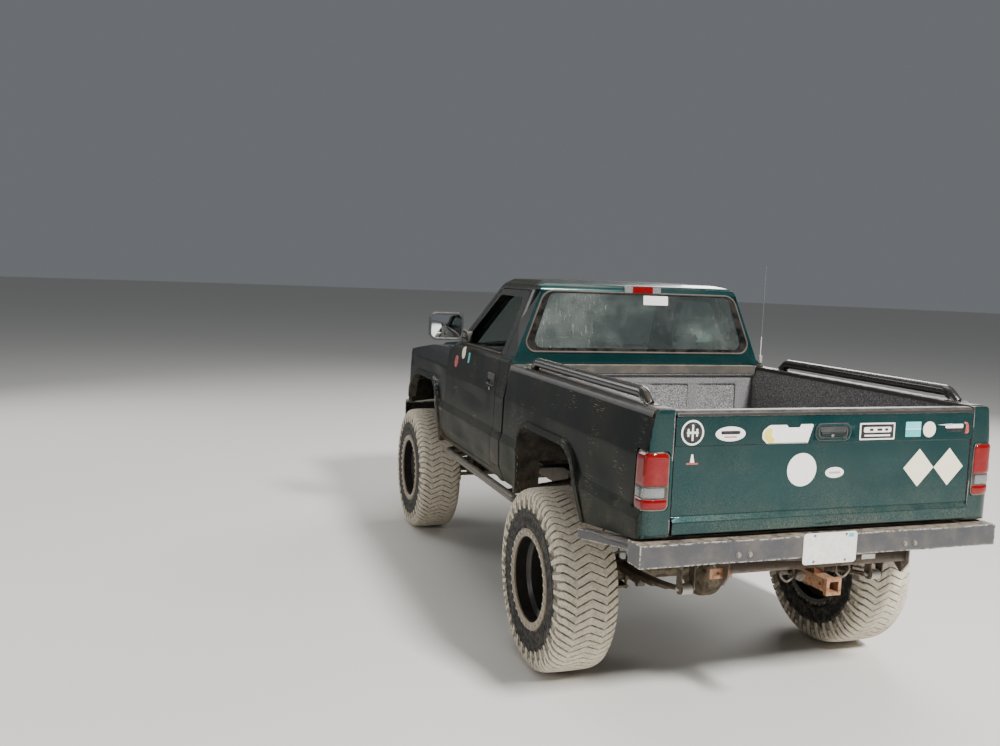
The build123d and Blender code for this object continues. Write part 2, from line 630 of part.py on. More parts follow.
def door_mirror():
    """Left mirror: a wide head on two stays from the door's front corner."""
    wide, tall, deep = 262, 206, 84
    x, y, z = MIRROR_X, MIRROR_Y, MIRROR_Z
    plan = [(x - wide / 2, y + deep / 2, 6), (x - wide / 2, y - 10, 30), (x - 40, y - deep / 2, 50)]
    plan += [(x + 60, y - deep / 2, 60), (x + wide / 2, y - 6, 34), (x + wide / 2, y + deep / 2, 6)]
    front = [(x - wide / 2, z - tall / 2, 46), (x + wide / 2, z - tall / 2, 60)]
    front += [(x + wide / 2, z + tall / 2, 60), (x - wide / 2, z + tall / 2, 46)]
    head = along_z(plan, z - tall, z + tall) & along_y(front, y - deep, y + deep)
    rim = offset(face(front), -12)
    plane = Plane(origin=(0, y + deep / 2 - 8, 0), x_dir=(1, 0, 0), z_dir=(0, -1, 0))
    head -= extrude(plane * rim, 20, dir=(0, 1, 0))
    base_x = BODY_HALF - 96
    foot = [(y - 130, BELT_Z + 12, 10), (y + 20, BELT_Z + 12, 10)]
    foot += [(y + 10, BELT_Z + 96, 20), (y - 30, BELT_Z + 96, 20)]
    foot_plate = along_x(foot, base_x - 60, base_x + 14) - along_y(cab_section(True), y - 300, y + 300)
    lower = rod((base_x - 18, y - 30, BELT_Z + 34), (x - 80, y, z - 60), 11)
    upper = rod((base_x - 30, y - 10, BELT_Z + 76), (x - 80, y, z - 10), 11)
    stays = lower + upper - along_y(cab_section(True), y - 300, y + 300)
    return head + foot_plate + stays


def dashboard():
    """Dashboard across the cab against the firewall, with the steering column."""
    y, z = FIREWALL_Y + CAB_FRONT_WALL + SEAT, BELT_Z
    half = BODY_HALF - DOOR_WALL - 12
    profile = [(y, z - 43, 0), (y, z - 330, 0), (y + 206, z - 350, 30), (y + 336, z - 180, 40)]
    profile += [(y + 351, z - 78, 40), (y + 260, z - 43, 40)]
    column = column_plane() * Pos(0, 0, -128) * Cylinder(32, 134)
    return along_x(profile, -half, half) + column


WHEEL_HUB = (400, FIREWALL_Y + 520, BELT_Z - 80)
COLUMN_TILT = 28
STEERING_RADIUS = 190


def column_plane():
    """The steering wheel's plane, its normal up the column to the driver."""
    along = (0, cos(radians(COLUMN_TILT)), sin(radians(COLUMN_TILT)))
    return Plane(origin=WHEEL_HUB, x_dir=(1, 0, 0), z_dir=along)


def steering_wheel():
    """Steering wheel: rim, three spokes, hub and the pad over it."""
    plane = column_plane()
    wheel = plane * Torus(STEERING_RADIUS, 15)
    wheel += plane * Pos(0, 0, -34) * Cylinder(62, 44)
    spoke = Pos(STEERING_RADIUS / 2 + 14, 0, -16) * Box(STEERING_RADIUS - 40, 30, 14)
    for angle in (0, 180, 270):
        wheel += plane * Rot(0, 0, angle) * spoke
    return wheel


SEAT_HALF = BODY_HALF - DOOR_WALL - 148


def seat_riser():
    """Box under the bench seat."""
    half, back_y = SEAT_HALF - 60, CAB_BACK_Y - WALL - 20
    return block(-half, half, back_y - 560, back_y - 170, FLOOR_Z, FLOOR_Z + 200)


def bench_seat():
    """Bench seat: cushion, and the backrest with its two raised heads."""
    half, back_y = SEAT_HALF, CAB_BACK_Y - WALL - 20
    z = FLOOR_Z + 200 + SEAT
    cushion = [(back_y - 690, z, 40), (back_y - 700, z + 172, 60)]
    cushion += [(back_y - 200, z + 140, 30), (back_y - 200, z, 0)]
    outline = [(half, z, 0), (half, z + 540, 60), (half - 150, z + 565, 60)]
    outline += [(half - 190, z + 700, 60), (half - 420, z + 700, 60), (half - 460, z + 565, 60)]
    outline = [(-x, zz, r) for x, zz, r in outline] + outline[::-1]
    rest = [(back_y - 199, z, 0), (back_y - 196, z + 200, 30), (back_y - 110, z + 710, 40)]
    rest += [(back_y - 20, z + 710, 40), (back_y - 60, z, 0)]
    backrest = along_x(rest, -half, half) & along_y(outline, back_y - 300, back_y + 20)
    return along_x(cushion, -half, half) + backrest


# Front end
HOOD_FRONT_Y = NOSE_Y + 185
FENDER_FRONT_Y = NOSE_Y + 190
FENDER_TOP_Z = BED_Z + 556


def fender_top(drop=0):
    """The fender's upper edge from the door forward, as side-view corners."""
    rear = DOOR_FRONT_Y - PANEL_GAP
    return [
        (rear, FENDER_TOP_Z - drop, 0),
        (FRONT_AXLE_Y, FENDER_TOP_Z - 26 - drop, 400),
        (FENDER_FRONT_Y + 150 + drop, FENDER_TOP_Z - 112 - drop, 200),
        (FENDER_FRONT_Y + 22 + drop, FENDER_TOP_Z - 196 - drop, 60),
    ]


def fender_form(inset):
    """The left front corner of the body as a closed form, its skin moved in by inset."""
    rear, z = DOOR_FRONT_Y - PANEL_GAP, FENDER_TOP_Z
    section = [(HOOD_HALF - 80, ROCKER_Z, 0)] + skin(-inset)[:4]
    section += [(BODY_HALF - 30 - inset, BED_Z + 400, 100), (BODY_HALF - 80 - inset, z - inset, 90)]
    section += [(HOOD_HALF + PANEL_GAP, z + 12 - inset, 0), (HOOD_HALF - 80, z + 12 - inset, 0)]
    form = along_y(section, FENDER_FRONT_Y - 50, rear)
    y, foot = FENDER_FRONT_Y + inset, BED_Z - 50
    profile = [(rear, ROCKER_Z, 0)] + fender_top(inset) + [(y, foot, 0), (FRONT_AXLE_Y - 500, foot, 0)]
    profile += [(FRONT_AXLE_Y - 490, ROCKER_Z, 0)]
    form = form & along_x(profile, HOOD_HALF - 90, BODY_HALF + 10)
    plan = [(HOOD_HALF - 90, y, 0), (HOOD_HALF + 60, y, 0), (BODY_HALF + 10 - inset, y + 170, 220)]
    plan += [(BODY_HALF + 10 - inset, rear, 0), (HOOD_HALF - 90, rear, 0)]
    return form & along_z(plan, ROCKER_Z - 10, BED_Z + 600)


LAMP_BOX = (HOOD_HALF + PANEL_GAP + 20, BODY_HALF - 90, BED_Z + 150, BED_Z + 300)


def headlamp_window(gap):
    """The headlamp's opening seen from ahead."""
    x0, x1, z0, z1 = LAMP_BOX
    corners = [(x0 - gap, z0 - gap, 16), (x1 + gap, z0 - gap, 40)]
    corners += [(x1 + gap, z1 + gap, 40), (x0 - gap, z1 + gap, 16)]
    return along_y(corners, FENDER_FRONT_Y - 60, FENDER_FRONT_Y + 260)


def front_fender():
    """Left front fender: a shell with its trimmed arch, lamp opening and the apron beside the engine."""
    wall, rear = 26, DOOR_FRONT_Y - PANEL_GAP
    shell, low = fender_form(0) - fender_form(wall), ROCKER_Z - 20
    shell &= block(HOOD_HALF + PANEL_GAP, BODY_HALF + 20, FENDER_FRONT_Y - 60, rear, low, ROOF_Z)
    post = BODY_HALF - POST_NOTCH + PANEL_GAP
    shell -= block(0, post, FIREWALL_Y - PANEL_GAP, rear + 10, low, ROOF_Z)
    apron_x, back, nose = HOOD_HALF - 62, FIREWALL_Y - SEAT, FENDER_FRONT_Y + 190
    top = [(back, FENDER_TOP_Z - 68, 0), (FRONT_AXLE_Y, FENDER_TOP_Z - 98, 0)]
    top += [(nose, FENDER_TOP_Z - 178, 0)]
    apron = along_x([(back, BED_Z + 30, 0)] + top + [(nose, BED_Z + 30, 0)], apron_x, apron_x + 10)
    shelf = along_x(top + [(y, z - 12, 0) for y, z, r in reversed(top)], apron_x, BODY_HALF - 50)
    lip = [(BODY_HALF - 60, ROCKER_Z + 4, 0), (BODY_HALF + 4, ROCKER_Z + 4, 0)]
    lip += [(BODY_HALF + 11, BED_Z + 72, 30), (BODY_HALF - 9, BED_Z + 296, 10)]
    lip += [(BODY_HALF - 60, BED_Z + 306, 0)]
    flare = along_y(lip, FRONT_AXLE_Y - 520, rear)
    flare = flare & along_x(front_arch(40), BODY_HALF - 100, BODY_HALF + 40)
    fender = shell + flare + apron + (shelf & fender_form(wall - 4))
    fender -= along_x(front_arch(), apron_x + 20, BODY_HALF + 60)
    return fender - headlamp_window(0.5)


def headlamp():
    """Left headlamp: the fender's own curved surface, 70 mm deep."""
    return (fender_form(1) - fender_form(22)) & headlamp_window(0)


def hood_form(inset):
    """The hood's closed form: crowned, falling to the nose."""
    half, z = HOOD_HALF - inset, FENDER_TOP_Z + 14 - inset
    section = [(half, BED_Z + 380, 0), (half, z, 40), (half - 160, z + 30, 60), (120, z + 38, 0)]
    rear = FIREWALL_Y - PANEL_GAP
    form = along_y(both_sides(section), HOOD_FRONT_Y - 20, rear)
    top = z + 36
    profile = [(rear, BED_Z + 300, 0), (rear, top, 0), (FIREWALL_Y - 120, top, 300)]
    profile += [(HOOD_FRONT_Y + 260 + inset, top - 96, 300), (HOOD_FRONT_Y + inset, top - 166, 70)]
    profile += [(HOOD_FRONT_Y + inset, BED_Z + 300, 0)]
    return form & along_x(profile, -half - 10, half + 10)


def hood():
    """Hood: a crowned lid with a rolled nose, open underneath."""
    bottom = BED_Z + 436
    keep = [
        (FIREWALL_Y, FENDER_TOP_Z - 16, 0),
        (FIREWALL_Y, BELT_Z, 0),
        (HOOD_FRONT_Y - 30, BELT_Z, 0),
        (HOOD_FRONT_Y - 30, bottom, 0),
        (HOOD_FRONT_Y + 260, bottom, 0),
    ]
    return (hood_form(0) - hood_form(22)) & along_x(keep, -HOOD_HALF - 5, HOOD_HALF + 5)


def grille():
    """Grille panel between the fenders: an upper opening crossed by slats and a lower air slot."""
    half, y = HOOD_HALF + PANEL_GAP - SEAT, HOOD_FRONT_Y
    z0, z1 = BED_Z - 40, BED_Z + 420
    body = along_y([(-half, z0, 30), (half, z0, 30), (half, z1, 20), (-half, z1, 20)], y + 8, y + 60)
    hole_half, low, high = half - 90, BED_Z + 130, z1 - 46
    for bottom, top in ((low, high), (z0 + 34, z0 + 104)):
        right = [(hole_half, bottom, 24), (hole_half, top, 24)]
        body -= along_y(both_sides(right), y, y + 70)
    slats, thick = 6, 9
    for i in range(slats):
        z = low + (high - low) * (i + 1) / (slats + 1)
        body += block(-hole_half - 2, hole_half + 2, y + 16, y + 50, z - thick / 2, z + thick / 2)
    return body + block(-14, 14, y + 12, y + 54, low - 2, high + 2)


def front_bumper():
    """Plain formed steel bumper with its two brackets to the frame."""
    low, high, plate, y = BED_Z - 232, BED_Z - 66, 8, NOSE_Y
    outer = [(BODY_HALF - 8, y + 260, 0), (BODY_HALF - 50, y + 90, 60), (BODY_HALF - 330, y, 120)]
    inner = [(BODY_HALF - 16, y + 262, 0), (BODY_HALF - 58, y + 96, 54)]
    inner += [(BODY_HALF - 332, y + plate, 116)]
    bumper = along_z(both_sides(outer), low, high)
    bumper -= along_z(both_sides(inner), low + plate, high - plate)
    bumper -= block(-RAIL_OUT - 60, RAIL_OUT + 60, y + 90, y + 300, low - 10, high + 10)
    for x in (RAIL_HALF + 10, -RAIL_OUT + 10):
        bumper += block(x, x + RAIL_WIDTH - 20, y + 4, RAIL_FRONT_Y - SEAT, low + 22, high - 24)
    return bumper


# Chassis
RAIL_FRONT_Y = NOSE_Y + 150
RAIL_EDGES = [  # side-view stations of a rail: y, top z, depth
    (RAIL_FRONT_Y, BED_Z - 90, 138),
    (FRONT_AXLE_Y + 400, BED_Z - 90, 138),
    (FRONT_AXLE_Y + 590, BED_Z - 132, 136),
    (REAR_AXLE_Y - 700, BED_Z - 132, 136),
    (REAR_AXLE_Y - 430, BED_Z - 48, 128),
    (RAIL_END_Y, BED_Z - 48, 128),
]
LEAF_SEAT_Z = AXLE_Z + 82
LEAF_COUNT, LEAF_THICK = 4, 9
HANGER_REACH, SHACKLE_REACH = 700, 780
SHACKLE_Z = BED_Z - 370
SHACKLE_TOP_Z = BED_Z - 236
LEAF_RISE = SHACKLE_Z - LEAF_SEAT_Z
LEAF_RADIUS = (SHACKLE_REACH**2 + LEAF_RISE**2) / (2 * LEAF_RISE)
HANGER_Z = LEAF_SEAT_Z + LEAF_RADIUS - sqrt(LEAF_RADIUS**2 - HANGER_REACH**2)
HANGER_Y = REAR_AXLE_Y - HANGER_REACH
SHACKLE_Y = REAR_AXLE_Y + SHACKLE_REACH
STEERING_BOX_X = RAIL_OUT + 36
GEARBOX_LOW_Z = FLOOR_Z - 246
GEARBOX_MOUNT_Y = FIREWALL_Y + 655
ENGINE_LOW_Z = BED_Z - 170
DAMPER_REAR_LOW = (SPRING_X - 92, REAR_AXLE_Y + 130, AXLE_Z - 20)
DAMPER_REAR_HIGH = (RAIL_HALF - 60, REAR_AXLE_Y + 30, BED_Z - 110)
DAMPER_FRONT_LOW = (COIL_X + 16, FRONT_AXLE_Y + 122, AXLE_Z - 10)
DAMPER_FRONT_HIGH = (COIL_X - 6, FRONT_AXLE_Y + 122, BED_Z - 60)
DAMPER_EYE, DAMPER_EYE_HALF = 22, 22
LINK_X = COIL_X - 101
LINK_EYE, LINK_EYE_HALF = 26, 30
LINKS = [  # axle-end y and rise above the axle, frame-end y and z
    (FRONT_AXLE_Y + 62, -58, FRONT_AXLE_Y + 740, BED_Z - 362),
    (FRONT_AXLE_Y + 62, 74, FRONT_AXLE_Y + 740, BED_Z - 302),
]
TRACK_BAR_Y = FRONT_AXLE_Y - 96
TRACK_BAR_FRAME = (RAIL_HALF + 10, TRACK_BAR_Y, BED_Z - 290)
TRACK_BAR_AXLE = (-COIL_X + 45, TRACK_BAR_Y, AXLE_Z + 64)


def rail_outline(inset):
    """One frame rail seen from the side, with its flanges taken off by inset."""
    top = [(y, z - inset, 0) for y, z, depth in RAIL_EDGES]
    return top + [(y, z - depth + inset, 0) for y, z, depth in reversed(RAIL_EDGES)]


def clevis(x, outline, half, plate=6):
    """Two upright plates on either side of an eye that is 2 * half wide."""
    near = along_x(outline, x - half - SEAT - plate, x - half - SEAT)
    return near + along_x(outline, x + half + SEAT, x + half + SEAT + plate)


def ladder_frame():
    """Ladder frame: channel rails, cross members, and brackets for springs, dampers, links and engine."""
    web = 6
    rail = along_x(rail_outline(0), RAIL_HALF, RAIL_OUT)
    rail -= along_x(rail_outline(web), RAIL_HALF - 1, RAIL_OUT - web)
    y, z = HANGER_Y, HANGER_Z
    hanger = [(y - 60, z + 120, 10), (y - 40, z - 34, 20), (y + 40, z - 34, 20)]
    hanger += [(y + 80, z + 180, 10), (y - 60, z + 180, 10)]
    rail += clevis(SPRING_X, hanger, 31.5, 10)
    rail += block(RAIL_OUT - web, SPRING_X + 41, y - 58, y + 74, z + 160, z + 172)
    y, z = SHACKLE_Y, SHACKLE_TOP_Z
    rear = [(y - 30, z - 28, 20), (y + 30, z - 28, 20), (y + 70, z + 70, 10), (y - 70, z + 70, 10)]
    rail += clevis(SPRING_X, rear, 39, 6)
    rail += block(RAIL_OUT - web, SPRING_X + 45, y - 66, y + 66, z + 56, z + 70)
    tower_z = BED_Z - 140
    rail += Pos(COIL_X, FRONT_AXLE_Y, tower_z + 10) * Cylinder(64, 20)
    rail += block(RAIL_OUT - web, COIL_X, FRONT_AXLE_Y - 60, FRONT_AXLE_Y + 60, tower_z, tower_z + 20)
    x, y, z = DAMPER_FRONT_HIGH
    rail += block(RAIL_OUT - web, x - DAMPER_EYE_HALF - SEAT, y - 26, y + 26, z - 64, z + 24)
    y, z = LINKS[0][2:]
    link_bracket = [(y - 34, z - 32, 20), (y + 34, z - 32, 20), (y + 60, z + 104, 0), (y - 60, z + 104, 0)]
    rail += clevis(RAIL_OUT - 50, link_bracket, LINK_EYE_HALF)
    middle = (RAIL_HALF + RAIL_OUT) / 2
    for y in (FIREWALL_Y + 140, CAB_BACK_Y - 140):
        rail += Pos(middle, y, 0) * block(-36, 36, -36, 36, BED_Z - 134, FLOOR_Z - FLOOR_THICK - SEAT)
    for y in BED_SILL_YS[1:]:
        rail += block(middle - 30, middle + 30, y + 6, y + 56, BED_Z - 50, BED_Z - 42 - SEAT)
    frame = rail + other_side(rail)
    x, y, z = TRACK_BAR_FRAME
    bar_bracket = [(x - 24, z - 30, 16), (x + 24, z - 30, 16), (x + 40, z + 70, 0), (x - 10, z + 70, 0)]
    for start in (y - 26 - SEAT - 8, y + 26 + SEAT):
        frame += along_y(bar_bracket, start, start + 8)
    x, y, z = DAMPER_REAR_HIGH
    members = [  # y, half length along y, low z, high z
        (RAIL_FRONT_Y + 36, 36, BED_Z - 215, BED_Z - 110),
        (FRONT_AXLE_Y + 330, 30, BED_Z - 228, ENGINE_LOW_Z - SEAT),
        (REAR_AXLE_Y - 560, 30, BED_Z - 170, BED_Z - 110),
        (REAR_AXLE_Y - 120, 34, BED_Z - 150, BED_Z - 70),
        (TAIL_Y - 190, 30, BED_Z - 160, BED_Z - 70),
    ]
    for at, half, low, high in members:
        frame += block(-RAIL_OUT + 3, RAIL_OUT - 3, at - half, at + half, low, high)
    for side in (-1, 1):
        arm = block(-16, 16, REAR_AXLE_Y - 90, y - DAMPER_EYE - SEAT, z - 16, z + 16)
        frame += Pos(side * x, 0, 0) * arm
    low, high, rail_low = GEARBOX_LOW_Z - 22, GEARBOX_LOW_Z - SEAT, BED_Z - 268
    outside = [(RAIL_OUT - 3, rail_low + 20, 0), (RAIL_OUT - 3, rail_low - 6, 0), (RAIL_HALF - 10, low, 0)]
    inside = [(RAIL_HALF - 30, high, 0), (RAIL_HALF, rail_low + 20, 0)]
    hoop = both_sides(outside) + [(-x, z, r) for x, z, r in reversed(inside)] + inside
    return frame + along_y(hoop, GEARBOX_MOUNT_Y - 50, GEARBOX_MOUNT_Y + 50)


def leaf_spring():
    """Left leaf pack with its eyes, shackle and U-bolts."""
    width, centre_z = 63, LEAF_SEAT_Z + LEAF_RADIUS
    near_x, reaches = SPRING_X - width / 2, [(698, 778), (560, 640), (430, 500), (300, 360)]
    pack = rod((near_x, HANGER_Y, HANGER_Z), (near_x + width, HANGER_Y, HANGER_Z), 27)
    pack += rod((near_x, SHACKLE_Y, SHACKLE_Z), (near_x + width, SHACKLE_Y, SHACKLE_Z), 27)
    for i, (ahead, behind) in enumerate(reaches):
        radius = LEAF_RADIUS + LEAF_THICK * i
        strip = Pos(REAR_AXLE_Y, centre_z) * (Circle(radius + LEAF_THICK) - Circle(radius))
        strip &= Pos(REAR_AXLE_Y + (behind - ahead) / 2, centre_z - radius) * Rectangle(ahead + behind, 600)
        pack += extrude(Plane.YZ.offset(near_x) * strip, width, dir=(1, 0, 0))
    pack += rod((SPRING_X - 39, SHACKLE_Y, SHACKLE_Z), (SPRING_X + 39, SHACKLE_Y, SHACKLE_Z), 11)
    y, low, high = SHACKLE_Y, SHACKLE_Z, SHACKLE_TOP_Z
    shackle = [(y - 24, low - 24, 20), (y + 24, low - 24, 20)]
    shackle += [(y + 24, high + 24, 20), (y - 24, high + 24, 20)]
    pack += along_x(shackle, SPRING_X - 39, SPRING_X - 32) + along_x(shackle, SPRING_X + 32, SPRING_X + 39)
    pack += rod((SPRING_X - 39, y, high), (SPRING_X + 39, y, high), 14)
    axle_y = REAR_AXLE_Y
    for y in (axle_y - 58, axle_y + 58):
        for x in (near_x - 9, near_x + width + 9):
            pack += rod((x, y, AXLE_Z - 74), (x, y, LEAF_SEAT_Z + 28), 7)
        pack += block(near_x - 16, near_x + width + 16, y - 7, y + 7, LEAF_SEAT_Z - 2, LEAF_SEAT_Z + 12)
    return pack + block(SPRING_X - 50, SPRING_X + 50, axle_y - 72, axle_y + 72, AXLE_Z - 66, AXLE_Z - 54)


REAR_NOSE, FRONT_NOSE = -290, 250


def diff_housing(x, y, radius, nose):
    """A round differential housing with its pinion nose along Y."""
    profile = [(-105, 0.01, 0), (-105, 62, 30), (-52, radius, 50)]
    profile += [(-x, r, corner) for x, r, corner in reversed(profile)]
    return turned(profile, x, y, AXLE_Z) + rod((x, y, AXLE_Z), (x, y + nose, AXLE_Z), 58)


def rear_axle():
    """Rear axle: tube, differential, spring perches, damper brackets and brake backing plates."""
    plate_x = WHEEL_X - TYRE_WIDTH / 2 - 12
    axle = rod((-plate_x, REAR_AXLE_Y, AXLE_Z), (plate_x, REAR_AXLE_Y, AXLE_Z), 44)
    axle += diff_housing(0, REAR_AXLE_Y, 168, REAR_NOSE)
    perch_top = LEAF_SEAT_Z - LEAF_COUNT * LEAF_THICK - SEAT
    x, y, z = DAMPER_REAR_LOW
    left = Pos(plate_x - 6, REAR_AXLE_Y, AXLE_Z) * Rot(0, 90, 0) * Cylinder(160, 12)
    left += block(SPRING_X - 32, SPRING_X + 32, REAR_AXLE_Y - 50, REAR_AXLE_Y + 50, AXLE_Z + 20, perch_top)
    left += block(x - 16, x + 16, REAR_AXLE_Y + 20, y - DAMPER_EYE - SEAT, z - 14, z + 14)
    left += rod((plate_x - 10, REAR_AXLE_Y, AXLE_Z), (plate_x + 50, REAR_AXLE_Y, AXLE_Z), 24)
    return axle + left + other_side(left)


YOKE_Z = 117
FRONT_DIFF_X = 206


def front_axle():
    """Front axle: tube, offset differential, coil perches, brackets and forked ends for the knuckles."""
    inner_x, y, z, ear = KINGPIN_X - 95, FRONT_AXLE_Y, AXLE_Z, 25
    axle = rod((-inner_x, y, z), (inner_x, y, z), 41) + diff_housing(FRONT_DIFF_X, y, 152, FRONT_NOSE)
    left = block(inner_x, inner_x + 30, y - 38, y + 38, z - YOKE_Z, z + YOKE_Z)
    for at in (z + YOKE_Z - ear / 2, z - YOKE_Z + ear / 2):
        left += block(inner_x + 10, KINGPIN_X, y - 36, y + 36, at - ear / 2, at + ear / 2)
        left += Pos(KINGPIN_X, y, at) * Cylinder(36, ear)
        left -= Pos(KINGPIN_X, y, at) * Cylinder(10, ear + 2)
    left += Pos(COIL_X, y, z + 48) * Cylinder(64, 26)
    bracket = [(y - 34, z - 24, 0), (y + 48, z - 90, 20), (y + 94, z - 72, 20), (y + 94, z + 100, 20)]
    bracket += [(y + 40, z + 104, 20), (y - 34, z + 24, 0)]
    left += clevis(LINK_X, bracket, LINK_EYE_HALF)
    at_x, at_y, at_z = DAMPER_FRONT_LOW
    left += block(at_x - 16, at_x + 16, y + 20, at_y - DAMPER_EYE - SEAT, at_z - 14, at_z + 14)
    axle += left + other_side(left)
    x, bar_y, bar_z = TRACK_BAR_AXLE
    for start in (bar_y - 26 - SEAT - 8, bar_y + 26 + SEAT):
        axle += block(x - 28, x + 28, start, start + 8, bar_z - 46, bar_z + 28)
    return axle + block(x - 28, x + 28, bar_y - 26 - SEAT - 8, y - 20, bar_z - 46, bar_z - 28)


TIE_ARM_Z = AXLE_Z - 72
TIE_ROD_Z = TIE_ARM_Z - 38
DRAG_ARM_Z = AXLE_Z + 72
DRAG_LINK_Z = DRAG_ARM_Z + 44
ARM_Y = FRONT_AXLE_Y - ARM_REACH
PITMAN_AXIS = (STEERING_BOX_X, FRONT_AXLE_Y - 150)
PITMAN_Z = BED_Z - 278


def steering_arm(z):
    """A forward arm from the left kingpin, with the hole for its link's stud."""
    x, y = KINGPIN_X, FRONT_AXLE_Y
    plan = [(x + 24, y, 0), (x + 20, ARM_Y - 20, 18), (x - 20, ARM_Y - 20, 18), (x - 24, y, 0)]
    return along_z(plan, z - 12, z + 12) - Pos(x, ARM_Y, z) * Cylinder(9, 40)


def knuckle(left):
    """A steering knuckle about its upright kingpin, with spindle, brake caliper and steering arms."""
    x, y, half = KINGPIN_X, FRONT_AXLE_Y, YOKE_Z - 25 - 5
    body = Pos(x, y, AXLE_Z) * Cylinder(35, 2 * half)
    for z in (AXLE_Z + half + 12, AXLE_Z - half - 12):
        body += Pos(x, y, z) * Cylinder(9, 52)
    face_x = WHEEL_X - TYRE_WIDTH / 2 + 36
    body += rod((x, y, AXLE_Z), (face_x, y, AXLE_Z), 40)
    body += rod((face_x, y, AXLE_Z), (face_x + 66, y, AXLE_Z), 24)
    body += steering_arm(TIE_ARM_Z)
    body += block(face_x - 20, face_x - 8, y - 10, y + 110, AXLE_Z - 40, AXLE_Z + 40)
    caliper = block(face_x - 20, face_x + 54, y + 92, y + 192, AXLE_Z - 62, AXLE_Z + 62)
    body += caliper - Pos(face_x + 17, y, AXLE_Z) * Rot(0, 90, 0) * Cylinder(172, 36)
    return body if left else other_side(body + steering_arm(DRAG_ARM_Z))


def ball_end(x, y, z, stud_up):
    """A rod end: its ball housing with a stud up or down."""
    end = Pos(x, y, z) * Sphere(20)
    return end + Pos(x, y, z + stud_up / 2) * Cylinder(7, abs(stud_up))


def tie_rod():
    """Tie rod between the two knuckles' arms, its studs up through them."""
    link = rod((-KINGPIN_X, ARM_Y, TIE_ROD_Z), (KINGPIN_X, ARM_Y, TIE_ROD_Z), 15)
    for x in (-KINGPIN_X, KINGPIN_X):
        link += ball_end(x, ARM_Y, TIE_ROD_Z, 58)
    return link


def pitman_arm():
    """Pitman arm under the steering box, pointing forward like the knuckles' arms."""
    x, y = PITMAN_AXIS
    tip = y - ARM_REACH
    plan = [(x - 24, y + 22, 20), (x + 24, y + 22, 20), (x + 20, tip - 20, 18), (x - 20, tip - 20, 18)]
    arm = along_z(plan, PITMAN_Z + 14, PITMAN_Z + 36)
    arm -= Pos(x, tip, PITMAN_Z + 25) * Cylinder(9, 40)
    return arm + Pos(x, y, PITMAN_Z + 44) * Cylinder(18, 36)


def drag_link():
    """Drag link from the pitman arm to the right knuckle's upper arm."""
    x, y = PITMAN_AXIS
    start = (x, y - ARM_REACH, PITMAN_Z - 14)
    end = (-KINGPIN_X, ARM_Y, DRAG_LINK_Z)
    link = rod(start, end, 15)
    link += ball_end(*start, 52)
    return link + ball_end(*end, -52)


def steering_box():
    """Steering box on the outside of the left rail, over the pitman arm."""
    x, y = PITMAN_AXIS
    return block(RAIL_OUT + SEAT, x + 40, y - 70, y + 70, PITMAN_Z + 68, BED_Z - 60)


def wheel_hub(front):
    """What turns with a wheel inboard of its disc: hub and brake disc, or hub and drum."""
    inner = WHEEL_X - TYRE_WIDTH / 2
    disc_face = inner + 110
    if front:
        near = inner + 42
        profile = [(near, 25, 0), (near, 162, 3), (near + 22, 162, 3), (near + 22, 76, 6)]
        radius, bored = 76, inner + 108
    else:
        near = inner - 6
        profile = [(near, 25, 0), (near, 166, 6), (near + 82, 166, 14), (near + 86, 84, 6)]
        radius, bored = 84, inner + 60
    end = [(disc_face + 2, radius, 0), (disc_face + 2, 0.01, 0), (bored, 0.01, 0), (bored, 25, 0)]
    return profile + end


def rim(front):
    """Left wheel: barrel with a drop centre, deep-set disc with round holes, beadlock ring and hub."""
    half = TYRE_WIDTH / 2 - 14
    b, c = BEAD_RADIUS, WHEEL_X
    inner, outer = c - half, c + half
    barrel = [
        (inner, b + 14, 0),
        (inner + 7, b + 14, 3),
        (inner + 10, b, 4),
        (inner + 58, b, 4),
        (inner + 76, b - 30, 10),
        (outer - 84, b - 30, 10),
        (outer - 66, b - 2, 4),
        (outer - 12, b - 2, 0),
        (outer - 12, b + 4, 0),
        (outer - 3, b + 4, 0),
        (outer - 3, b - 14, 0),
        (outer - 70, b - 12, 6),
        (outer - 88, b - 39, 10),
        (inner + 80, b - 39, 10),
        (inner + 62, b - 9, 6),
        (inner + 5, b - 9, 3),
    ]
    ring = [(outer - 4, b - 18, 3), (outer + 9, b - 18, 3), (outer + 12, b - 6, 4)]
    ring += [(outer + 12, BEADLOCK_RADIUS - 4, 4), (outer + 8, BEADLOCK_RADIUS, 3)]
    ring += [(outer - 4, BEADLOCK_RADIUS, 2)]
    disc_x = WHEEL_X - TYRE_WIDTH / 2 + 110
    disc = [
        (disc_x, 0.01, 0),
        (disc_x, 96, 6),
        (disc_x + 34, 118, 12),
        (disc_x + 34, 176, 20),
        (disc_x + 4, b - 36, 0),
        (disc_x + 16, b - 36, 0),
        (disc_x + 46, 180, 20),
        (disc_x + 46, 112, 14),
        (disc_x + 12, 90, 6),
        (disc_x + 12, 0.01, 0),
    ]
    axle_y = FRONT_AXLE_Y if front else REAR_AXLE_Y
    wheel = turned(barrel) + turned(ring) + turned(disc)
    holes = 8
    for i in range(holes):
        angle = radians(360 / holes * i)
        at = (disc_x - 20, 148 * cos(angle), 148 * sin(angle))
        wheel -= rod(at, (disc_x + 80, at[1], at[2]), 21)
    wheel += turned(wheel_hub(front))
    wheel += rod((disc_x, 0, 0), (disc_x + 66, 0, 0), 42)
    return Pos(0, axle_y, AXLE_Z) * wheel


